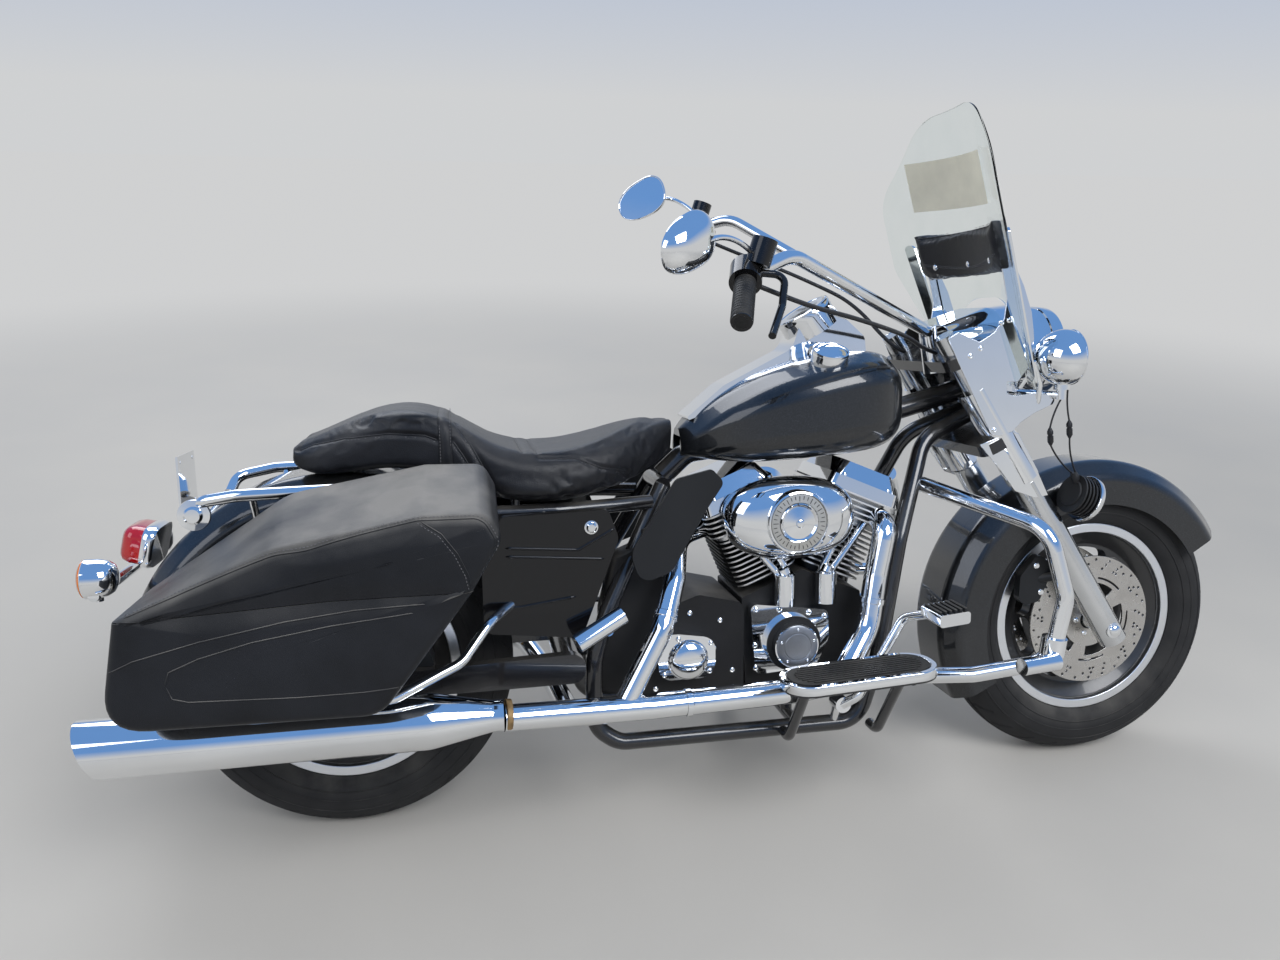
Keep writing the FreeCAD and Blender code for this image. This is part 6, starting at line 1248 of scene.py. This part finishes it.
def leather_shell(name, node, corners, crest, lift, side, body):
    """One half of a bag: rounded outer and inner edges, slightly full sides, open where the halves meet."""
    outer_line, inner_line = leather_outline(corners, crest)
    count = len(outer_line)
    width = BAG_OUTER - BAG_INNER
    rows = []
    for k in range(EDGE_ROWS):
        angle = math.pi / 2 * k / (EDGE_ROWS - 1)
        rows.append((BAG_EDGE * (1 - math.cos(angle)), BAG_EDGE * (1 - math.sin(angle))))
    rows += [(BAG_EDGE + (width - 2 * BAG_EDGE) * k / SIDE_ROWS, 0) for k in range(1, SIDE_ROWS)]
    rows += [(width - depth, draw) for depth, draw in reversed(rows[:EDGE_ROWS])]
    shape = bmesh.new()
    rings = []
    for depth, draw in rows:
        points = [outer.lerp(inner, (width - depth) / width) for outer, inner in zip(outer_line, inner_line)]
        rings.append([shape.verts.new(on_bike(x, side * (BAG_INNER + depth), z + lift))
                      for x, z in drawn_in(points, corners, draw)])
    for ring, onward in zip(rings, rings[1:]):
        for i in range(OPEN_END - 1, count):
            shape.faces.new((ring[i], ring[(i + 1) % count], onward[(i + 1) % count], onward[i]))
    for ring, way in ((rings[0], -1), (rings[-1], 1)):
        last = ring
        middle = sum((vertex.co for vertex in ring), Vector()) / count
        for k in range(1, FACE_ROWS + 1):
            share = k / FACE_ROWS
            bulge = way_on_bike(0, side * way, 0) * BAG_FULLNESS * math.sin(math.pi / 2 * min(share * 1.6, 1))
            inner_ring = [shape.verts.new(vertex.co.lerp(middle, share) + bulge) for vertex in ring]
            fill_rings(shape, [last, inner_ring])
            last = inner_ring
    bmesh.ops.remove_doubles(shape, verts=shape.verts, dist=WELD_DISTANCE)
    piece = made_piece(name, shape, bag_leather, body, smooth=False)
    wall = piece.modifiers.new("wall", "SOLIDIFY")
    wall.thickness = BAG_WALL
    wall.offset = -1
    finished(piece)
    piece.data.shade_smooth()
    piece.data.set_sharp_from_angle(angle=math.radians(BAG_SHARP))
    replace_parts(piece, node)
    return piece


# Lines on a bag's outer face, forward and up: the lid's seam, the pressed sweep and the pressed drop panel.
LID_SEAM = [(166, 690), (197, 669), (220, 637), (236, 601), (240, 580)]
BODY_LINES = [
    [(-300, 480), (-260, 498), (-166, 522), (-41, 545), (60, 556), (170, 559)],
    [(151, 546), (26, 534), (-91, 516), (-168, 496), (-211, 478), (-218, 458), (-210, 436), (-187, 429),
     (-30, 423), (69, 423), (135, 426), (158, 470), (151, 546)],
]
PIPING_INSET, LID_MIDDLE = 9, Vector((0, 620))
for side_name, side in SIDES:
    inward = way_on_bike(0, -side, 0)
    lid_body = "bag_lid_" + side_name
    shell = leather_shell("bag_leather_" + side_name, "saddlebag_" + side_name, BAG_BODY, 0, 0, side,
                          "chassis")
    lid = leather_shell("bag_lid_leather_" + side_name, "saddlebag_lid_" + side_name, BAG_LID, LID_CREST,
                        LID_GAP, side, lid_body)
    shell_tree, lid_tree = surface_tree(shell), surface_tree(lid)
    for i, line in enumerate(BODY_LINES):
        found = laid_on(shell_tree, [on_bike(x, side * BAG_OUTER, z) for x, z in line], inward, 0.006)
        rib("bag_press_%s_%d" % (side_name, i), found, 0.0018, 0.45, bag_leather, "chassis")
    found = laid_on(lid_tree, [on_bike(x, side * BAG_OUTER, z) for x, z in LID_SEAM], inward, 0.004)
    rib("lid_piping_%s_0" % side_name, found, 0.0016, 0.3, bag_leather, lid_body)
    stitches("lid_stitch_%s_0" % side_name, found, 0.005, thread, lid_body)
    crest_line = leather_outline(BAG_LID, LID_CREST)[0][OPEN_END + EDGE_STEPS:]
    crest_line = [point + (LID_MIDDLE - point).normalized() * PIPING_INSET for point in crest_line]
    places = [on_bike(x, side * BAG_OUTER, z + LID_GAP) for x, z in crest_line]
    found = laid_on(lid_tree, places, inward, 0.005)
    rib("lid_edge_piping_" + side_name, found, 0.0019, 0.3, bag_leather, lid_body)
    stitches("lid_edge_stitch_" + side_name, found, 0.005, thread, lid_body)

# Rear trim, tail lamp and signals
# Chromed rails and a chromed number-plate blank, each of bent tube or pressed steel.
# A red tail lamp stands on a chromed foot on the fender, and a bar under it carries two bullet signals.
dress("chrome_rails", chrome)
dress("standing_plate", chrome)
dress("rear_caliper", satin_black)
red_lens = surface("red_lens", (0.45, 0.004, 0.006), 0.08, vary=0.1, grain=90, bump=0.02, coat=0.8)
amber_lens = surface("amber_lens", (0.75, 0.20, 0.01), 0.1, vary=0.1, grain=90, bump=0.02, coat=0.8)
LAMP_SEAT, LAMP_ACROSS = Vector((-328, 0, 585)), Vector((0, 1, 0))
LAMP_OUT = Vector((-0.85, 0, 0.2)).normalized()
LAMP_POINTS, LAMP_POWER, LAMP_EDGE = 48, 0.45, 40


def lamp_block(name, rows, material):
    """A rounded block lofted back from the fender: rows of distance, half width and half height."""
    shape = bmesh.new()
    rings = []
    upward = LAMP_OUT.cross(LAMP_ACROSS).normalized()
    for distance, half_width, half_height in rows:
        ring = []
        for k in range(LAMP_POINTS):
            wide, high = squared_off(k, LAMP_POINTS, LAMP_POWER)
            place = LAMP_SEAT + LAMP_OUT * distance
            place = place + LAMP_ACROSS * half_width * wide + upward * half_height * high
            ring.append(shape.verts.new(on_bike(*place)))
        rings.append(ring)
    fill_rings(shape, rings)
    shape.faces.new(rings[0])
    shape.faces.new(rings[-1])
    piece = made_piece(name, shape, material, "chassis", sharp=LAMP_EDGE)
    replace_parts(piece, "rear_lamps")


lamp_block("tail_lamp_foot", [(4, 58, 38), (10, 61, 41), (22, 60, 40), (26, 57, 38)], chrome)
lamp_block("tail_lamp_lens", [(26, 56, 37), (40, 54, 36), (44, 55, 36.5), (56, 50, 33), (62, 42, 27),
                              (64, 20, 12)], red_lens)
# The bar that carries the signals, how far out they stand on it, and their height.
SIGNAL_BAR, SIGNAL_OUT, SIGNAL_HEIGHT, STALK_HEIGHT = (-392, 0, 539), 165, 565, 534
for side_name, side in SIDES:
    for part_name, height, way, rows, material in (
        ("shell", SIGNAL_HEIGHT, forward,
         [(0, 34), (12, 33.4), (24, 28), (31, 19), (34.6, 6), (34.8, -16), (33, -18), (32, -16)], chrome),
        ("lens", SIGNAL_HEIGHT, forward,
         [(32.6, -15), (32.6, -20), (28, -23.6), (16, -25.4), (0, -26)], amber_lens),
        ("stalk", STALK_HEIGHT, up, [(8, -9), (8, 9), (0, 9), (0, -9)], chrome),
    ):
        place = on_bike(SIGNAL_BAR[0], side * SIGNAL_OUT, height)
        signal = turned("signal_%s_%s" % (part_name, side_name), rows, place, way, material, "chassis", 56)
        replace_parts(signal, "rear_lamps")
bar = turned("signal_bar", [(0, -190), (9, -189), (10.4, -186), (10.4, 186), (9, 189), (0, 190)],
             on_bike(*SIGNAL_BAR), way_on_bike(0, 1, 0), chrome, "chassis", 28)
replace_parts(bar, "rear_lamps")
turned("rail_bracket_boss", [(0, 8), (12, 7.4), (16, 4), (16, 0), (27, -1), (28, -4), (28, -8), (0, -8)],
       on_bike(-228, -168, 668), out_right, chrome, "chassis", 48)
button_bolts("plate_bolt", [(-222, -162, 690)], out_right, "chassis")

# Footboards, pedals and guards
# Chromed pans carry ribbed rubber mats that are pressed in, and the brake pedal has a ribbed rubber pad.
# The guards are chromed bent tube, bolted to the downtubes.
board_rubber = surface("board_rubber", (0.018, 0.018, 0.018), 0.55, grain=600, bump=0.2, dust_and_sheen=0.25, shine=0.2)
dress("footboards", frame_black)
dress("foot_controls", chrome)
dress("engine_guards", chrome)
BOARD_MIDDLE, BOARD_WALL, BOARD_TILT = (952, 302, 322), 20, math.radians(-3)
MAT_RIBS, MAT_RIB_PITCH = 9, 9.2


def oblong(half_length, half_width, corner, steps=8):
    """Points of a rounded rectangle."""
    points = []
    for k, (sx, sy) in enumerate(((1, 1), (-1, 1), (-1, -1), (1, -1))):
        for i in range(steps + 1):
            bearing = math.pi / 2 * (k + i / steps)
            points.append((sx * (half_length - corner) + corner * math.cos(bearing),
                           sy * (half_width - corner) + corner * math.sin(bearing)))
    return points


board_fore = way_on_bike(math.cos(BOARD_TILT), 0, -math.sin(BOARD_TILT))
board_top = way_on_bike(math.sin(BOARD_TILT), 0, math.cos(BOARD_TILT))
left_way = way_on_bike(0, 1, 0)
for side_name, side in SIDES:
    middle = on_bike(BOARD_MIDDLE[0], side * BOARD_MIDDLE[1], BOARD_MIDDLE[2])
    # Columns: name, outlines, thickness, how far up and how far left of the board's middle, finish, edge.
    layers = [
        ("rim_" + side_name, [oblong(151.4, 57.4, 51.4), oblong(140, 46.5, 41)], 18, BOARD_WALL / 2 + 2.2, 0,
         chrome, 1.6),
        ("mat_" + side_name, [oblong(138, 46, 40)], 3, BOARD_WALL + 0.8, 0, board_rubber, 0.6),
    ]
    for k in range(MAT_RIBS):
        aside = k - (MAT_RIBS - 1) / 2
        layers.append(("rib_%s_%d" % (side_name, k), [oblong(124 - 1.4 * aside ** 2, 2.4, 2.2, 4)], 2.4,
                       BOARD_WALL + 3.2, aside * MAT_RIB_PITCH, board_rubber, 0.6))
    for layer, outlines, thickness, raised, aside, material, edge in layers:
        place = middle + (board_top * raised + left_way * aside) / 1000
        flat_part("board_" + layer, outlines, thickness, place, board_fore, left_way, material, "chassis",
                  edge)
PEDAL_LOW, PEDAL_HIGH, PEDAL_RIBS = Vector((1104, -284, 442)), Vector((1166, -284, 448)), 6
PEDAL_UP, PEDAL_LIFT = Vector((-0.1, 0, 0.995)), 2.2
pedal_way = way_on_bike(*(PEDAL_HIGH - PEDAL_LOW).normalized())
for k in range(PEDAL_RIBS):
    place = PEDAL_LOW.lerp(PEDAL_HIGH, 0.08 + 0.84 * k / (PEDAL_RIBS - 1)) + PEDAL_UP * PEDAL_LIFT
    flat_part("pedal_rib_%d" % k, [oblong(31, 3.2, 3)], 5, on_bike(*place), left_way, pedal_way, board_rubber,
              "chassis", 0.8)

# Fork
# Polished cast alloy sliders on chromed tubes, with a chromed cap on each end of the axle.
# The calipers are painted satin black, and two bolts hold each of them to its slider.
AXLE_CAP_PLANE, CALIPER_PLANE, CALIPER_BOLTS = 148, 86, ((1470, 402), (1456, 462))
fork_alloy = surface("fork_alloy", (0.66, 0.67, 0.68), 0.16, metal=1.0, vary=0.06, grain=260, bump=0.03)
dress("fork_legs", fork_alloy)
dress("front_calipers", satin_black)
for side_name, side in SIDES:
    turned("axle_cap_" + side_name, [(0, 9), (9, 8.4), (12, 6), (12, 1), (17, 0), (17, -4), (0, -4)],
           on_bike(1612, side * AXLE_CAP_PLANE, 323), way_on_bike(0, side, 0), chrome, "steering", 32)
    for k, (x, z) in enumerate(CALIPER_BOLTS):
        turned("caliper_bolt_%s_%d" % (side_name, k), [(0, 5), (5, 5), (7, 3), (7, -2), (0, -2)],
               on_bike(x, side * CALIPER_PLANE, z), way_on_bike(0, side, 0), chrome, "steering", 20)
dress("nacelle_and_covers", chrome)
dress("windshield_brackets", chrome)

# Headlamp
# A chromed pressed shell and rim sit in the nacelle on two ears.
# Inside them a silvered reflector and a capped bulb stand behind a clear domed lens.
silvered = surface("silvered", (0.80, 0.81, 0.82), 0.12, metal=1.0, vary=0.05, patch=40, grain=60, bump=0.1)
lamp_place, lamp_way = on_bike(1400, 0, 925), way_on_bike(1, 0, -0.04).normalized()
for part_name, rows, material in (
    ("shell", [(0, 4), (60, 4), (94, 61), (97.6, 62), (98, 66), (98, 84), (96, 90), (91, 92), (87, 90),
               (86, 86)], chrome),
    ("reflector", [(86, 87), (85, 84), (76, 66), (58, 48), (34, 36), (14, 33), (0, 33)], silvered),
    ("bulb_cap", [(13, 34), (13, 58), (11, 63), (6, 65), (0, 65.5)], chrome),
    ("lens", [(86.5, 84), (86.5, 86), (76, 88.4), (54, 90.6), (28, 91.8), (0, 92), (0, 90), (28, 89.8),
              (54, 88.6), (76, 86.4), (86.5, 84)], dial_glass),
):
    piece = turned("headlamp_" + part_name, rows, lamp_place, lamp_way, material, "steering", 80)
    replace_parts(piece, "headlamp")
for side_name, side in SIDES:
    ear = turned("headlamp_ear_" + side_name, [(0, 54), (8.5, 54), (8.5, 96), (0, 97)], on_bike(1402, 0, 925),
                 way_on_bike(0, side, 0), chrome, "steering", 24)
    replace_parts(ear, "headlamp")

# Passing lamps and the insert that hangs out of the right one
# Chromed round shells. The left one is closed by its bezel and lens.
# The right one is an open shell, and its finned black cast insert hangs out of it on two wires.
dress("passing_lamps", chrome)
left_lamp, right_lamp = on_bike(1440, 162, 915), on_bike(1440, -162, 915)
for part_name, rows, material in (
    ("bezel", [(48, 28), (50, 31), (54.6, 30), (56, 26), (56, 15), (54.2, 15)], chrome),
    ("reflector", [(49, 29), (30, 28.6), (0, 28.4)], silvered),
    ("lens", [(48.6, 29.4), (36, 31.6), (18, 33), (0, 33.6)], dial_glass),
):
    turned("passing_%s_left" % part_name, rows, left_lamp, forward, material, "steering", 64)
turned("passing_lip_right", [(52.6, 14.6), (55.4, 14.6), (56.2, 16), (55.4, 17.4), (52.6, 17.4)], right_lamp,
       forward, chrome, "steering", 64)
lamp_black = surface("lamp_black", (0.014, 0.014, 0.015), 0.45, grain=500, bump=0.15, dust_and_sheen=0.25, shine=0.3)
INSERT_CORE, INSERT_FIN, INSERT_FINS, INSERT_PITCH = 28.5, 42, 4, 9
insert_rows = [(0, -28), (27, -28), (INSERT_CORE, -26)]
for k in range(INSERT_FINS):
    fin_top = 6 - INSERT_PITCH * (INSERT_FINS - 1 - k)
    insert_rows += [(INSERT_CORE, fin_top - 4), (INSERT_FIN - 0.6, fin_top - 4), (INSERT_FIN, fin_top - 3.4),
                    (INSERT_FIN, fin_top - 0.6), (INSERT_FIN - 0.6, fin_top), (INSERT_CORE, fin_top)]
insert_rows += [(INSERT_CORE, 8)]
hanging_way = way_on_bike(*insert_way)
for part_name, rows, material in (
    ("body", insert_rows, lamp_black),
    ("bezel", [(28, 8), (48, 8), (49, 9), (49, 17), (47, 20), (43, 20), (42, 17.6)], chrome),
    ("lens", [(42.6, 17.4), (30, 18.4), (12, 19), (0, 19.2)], dial_glass),
    ("reflector", [(42.4, 17), (24, 12), (0, 11)], silvered),
):
    piece = turned("hanging_insert_" + part_name, rows, on_bike(*INSERT), hanging_way, material, "steering",
                   64)
    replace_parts(piece, "hanging_lamp")
gland = turned("hanging_insert_gland", [(9, -2), (9, 10), (7.6, 14), (6.4, 20), (0, 20)],
               on_bike(*gland_start), way_on_bike(*gland_way), lamp_black, "steering", 28)
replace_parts(gland, "hanging_lamp")

# Windshield, its brackets, note and pouch
# A bent clear sheet stands on two chromed side plates, each bolted to the nacelle.
# A blank paper note is on its inside, and a padded leather pouch hangs under it.
dress("windshield", clear_finish("clear_screen", 1.12, 0.02, 9, (0.88, 0.93, 0.92, 1), (0.96, 0.99, 0.98, 1)))
PLATE_OUTLINE = [
    (1191, 955), (1212, 968), (1259, 948), (1291, 967), (1311, 993), (1315, 1032), (1303, 1084), (1290, 1122),
    (1275, 1160), (1280, 1166), (1302, 1162), (1319, 1116), (1351, 1058), (1371, 1006), (1380, 953),
    (1374, 900), (1348, 867), (1324, 867), (1325, 844), (1342, 839), (1386, 843), (1432, 838), (1434, 821),
    (1389, 802), (1360, 784), (1342, 766), (1313, 757), (1294, 761), (1254, 836), (1214, 909),
]
COVER_OUTLINE = [(1273, 740), (1317, 756), (1346, 765), (1358, 761), (1399, 695), (1434, 629), (1403, 625),
                 (1357, 641), (1317, 691)]
PLATE_BOLTS = [(1305, 985), (1322, 990), (1262, 935), (1240, 920), (1300, 770)]
PLATE_PLANE, COVER_SHEET_PLANE, PLATE_BOLT_PLANE, SHEET_THICKNESS = 150, 146, 151, 3.2
for side_name, side in SIDES:
    for part_name, outline, plane in (("plate", PLATE_OUTLINE, PLATE_PLANE),
                                      ("cover", COVER_OUTLINE, COVER_SHEET_PLANE)):
        flat_part("screen_%s_%s" % (part_name, side_name), [outline], SHEET_THICKNESS,
                  on_bike(0, side * plane, 0), forward, up, chrome, "steering", 0.8)
    button_bolts("plate_bolt_" + side_name, [(x, side * PLATE_BOLT_PLANE, z) for x, z in PLATE_BOLTS],
                 way_on_bike(0, side, 0), "steering", scale=0.9)
# The sheet's foot and top on its middle line, the radius of its bend and how far back the bend's axis is.
SCREEN_FOOT, SCREEN_TOP = Vector((1400, 0, 850)), Vector((1246, 0, 1417))
SCREEN_ROUND, SCREEN_AXIS = 413, Vector((420, 0, 0))
screen_up = (SCREEN_TOP - SCREEN_FOOT).normalized()
screen_out = Vector((screen_up.z, 0, -screen_up.x))
note_paper = surface("note_paper", (0.82, 0.79, 0.66), 0.8, vary=0.08, patch=14, grain=700, bump=0.15)
NOTE_EDGE, NOTE_WIDTH, NOTE_HEIGHTS, NOTE_SLOPE, NOTE_STEPS = -100, 265, (1228, 1282, 1332), 0.05, 25
note = bmesh.new()
note_rows = []
for i in range(NOTE_STEPS):
    aside = NOTE_EDGE + NOTE_WIDTH * i / (NOTE_STEPS - 1)
    bulge = math.sqrt(SCREEN_ROUND ** 2 - aside ** 2)
    row = []
    for height in NOTE_HEIGHTS:
        along = (height + NOTE_SLOPE * aside - SCREEN_FOOT.z - screen_out.z * bulge) / screen_up.z
        place = SCREEN_FOOT - SCREEN_AXIS + screen_up * along + screen_out * bulge + Vector((0, aside, 0))
        row.append(note.verts.new(on_bike(*place)))
    note_rows.append(row)
for row, onward in zip(note_rows, note_rows[1:]):
    for k in range(len(row) - 1):
        note.faces.new((row[k], row[k + 1], onward[k + 1], onward[k])).smooth = True
note_mesh = bpy.data.meshes.new("blank_note")
note.to_mesh(note_mesh)
note.free()
join_scene("blank_note", note_mesh, note_paper, "steering")
POUCH_MESH, POUCH_SHRINK, POUCH_SWELL, POUCH_BACK = 0.004, 0.003, 0.006, 1150
pouch = soft_copy("screen_pouch", "windshield_pouch", POUCH_MESH, POUCH_SHRINK, "steering")
swell(pouch, POUCH_SWELL)
pouch.data.shade_smooth()
pouch_tree = surface_tree(pouch)
for part_name, line in (("flap", [(-150, 1116), (-60, 1104), (0, 1100), (60, 1104), (150, 1116)]),
                        ("rim", [(-152, 1176), (0, 1177), (152, 1176)])):
    found = laid_on(pouch_tree, [on_bike(POUCH_BACK, y, z) for y, z in line], forward, 0.004)
    if len(found) > 3:
        rib("pouch_piping_" + part_name, found, 0.0017, 0.3, black_leather, "steering")
        stitches("pouch_stitch_" + part_name, found, 0.004, thread, "steering")
for k, y in enumerate((-110, 0, 110)):
    places = [on_bike(POUCH_BACK, y, 1110), on_bike(POUCH_BACK, y + 1, 1110)]
    found = laid_on(pouch_tree, places, forward, 0.002)
    if found:
        stud_place, stud_way = found[0]
        turned("pouch_stud_%d" % k, [(0, 2.6), (4, 2.2), (6.5, 0.4), (6.5, -1), (0, -1)], stud_place, stud_way,
               chrome, "steering", 24)

# Handlebar, controls and mirrors
# A chromed bent tube that was knocked askew, with ribbed moulded rubber grips and black switch housings.
# Each mirror is a chromed pod with its glass set in, screwed to its control on a thin bent stem.
dress("handlebar", chrome)
dress("hand_controls", gloss_black)
mirror_glass = surface("mirror_glass", (0.86, 0.88, 0.90), 0.03, metal=1.0, vary=0.02, patch=5, grain=20,
                       bump=0.002)
MIRROR_HALF_LENGTH, MIRROR_HALF_HEIGHT, MIRROR_ROLL = 66, 46, math.radians(22)
MIRROR_POINTS, MIRROR_POWER, MIRROR_FULLNESS, MIRROR_EDGE = 72, 0.82, 0.13, 50
# Columns: share of the outline, distance ahead of the pod's middle.
POD_ROWS = [(0.12, -23.6), (0.3, -23), (0.5, -20.6), (0.68, -16), (0.82, -9.6), (0.93, -2), (0.985, 5),
            (1.0, 10), (0.995, 12), (0.97, 12.6), (0.95, 11.6), (0.945, 9.8)]
GLASS_ROWS = [(0.95, 10.2), (0.7, 10.4), (0.4, 10.5), (0.1, 10.5)]


def mirror_part(name, rows, middle, along, upright, facing, material):
    """An oval mirror part, fuller at its inner end, lofted through shares of its outline."""
    shape = bmesh.new()
    rings = []
    for share, ahead in rows:
        ring = []
        for k in range(MIRROR_POINTS):
            wide, high = squared_off(k, MIRROR_POINTS, MIRROR_POWER)
            fuller = 1 + MIRROR_FULLNESS * math.cos(2 * math.pi * k / MIRROR_POINTS)
            reach, height = MIRROR_HALF_LENGTH * share * wide, MIRROR_HALF_HEIGHT * share * fuller * high
            place = middle + along * reach + upright * height + facing * ahead
            ring.append(shape.verts.new(on_bike(*place)))
        rings.append(ring)
    fill_rings(shape, rings)
    shape.faces.new(rings[-1])
    if rows[0][0] < rows[-1][0]:
        shape.faces.new(rings[0])
    return made_piece(name, shape, material, "steering", sharp=MIRROR_EDGE)


GRIP_RIBS, GRIP_RADIUS, GROOVE_RADIUS, GRIP_START, BAR_END, STEM_RADIUS = 14, 18.9, 18.3, 18.4, 16, 0.005
for side_name, side in SIDES:
    inner, outer = knocked(750, side * 360, 1133), knocked(726, side * 470, 1079)
    along = (outer - inner).normalized()
    start = inner + along * GRIP_START
    length = (outer - inner).length - BAR_END
    rows = [(16.2, 0), (18.8, 0.6)]
    for k in range(GRIP_RIBS):
        foot = 4 + (length - 12) * k / GRIP_RIBS
        rows += [(GRIP_RADIUS, foot), (GROOVE_RADIUS, foot + 0.8), (GROOVE_RADIUS, foot + 2.2),
                 (GRIP_RADIUS, foot + 3)]
    rows += [(GRIP_RADIUS, length - 3), (17, length), (9, length + 1), (0, length + 1)]
    turned("grip_rubber_" + side_name, rows, on_bike(*start), way_on_bike(*along), board_rubber, "steering",
           40)
    # Each mirror is turned in towards the rider, with its inner end raised.
    facing = Vector((-0.66, -side * 0.73, 0.15)).normalized()
    level = Vector((0.73, -side * 0.66, 0)).normalized()
    rise = facing.cross(level) if facing.cross(level).z > 0 else level.cross(facing)
    along = level * math.cos(MIRROR_ROLL) + rise * math.sin(MIRROR_ROLL)
    upright = rise * math.cos(MIRROR_ROLL) - level * math.sin(MIRROR_ROLL)
    pod, stem_foot = knocked(645, side * 430, 1193), knocked(762, side * 350, 1170)
    stem_end = pod - facing * 18 + along * 12
    bend = (pod + stem_foot) / 2 + Vector((10, side * -4, 34))
    stem_line = [on_bike(*place) for place in (stem_foot, bend, stem_end)]
    stem = flexible_line("mirror_stem_" + side_name, stem_line, STEM_RADIUS, chrome, "steering")
    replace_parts(stem, "mirrors")
    for part_name, rows, material in (("pod", POD_ROWS, chrome), ("glass", GLASS_ROWS, mirror_glass)):
        name = "mirror_%s_%s" % (part_name, side_name)
        piece = mirror_part(name, rows, pod, along, upright, facing, material)
        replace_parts(piece, "mirrors")
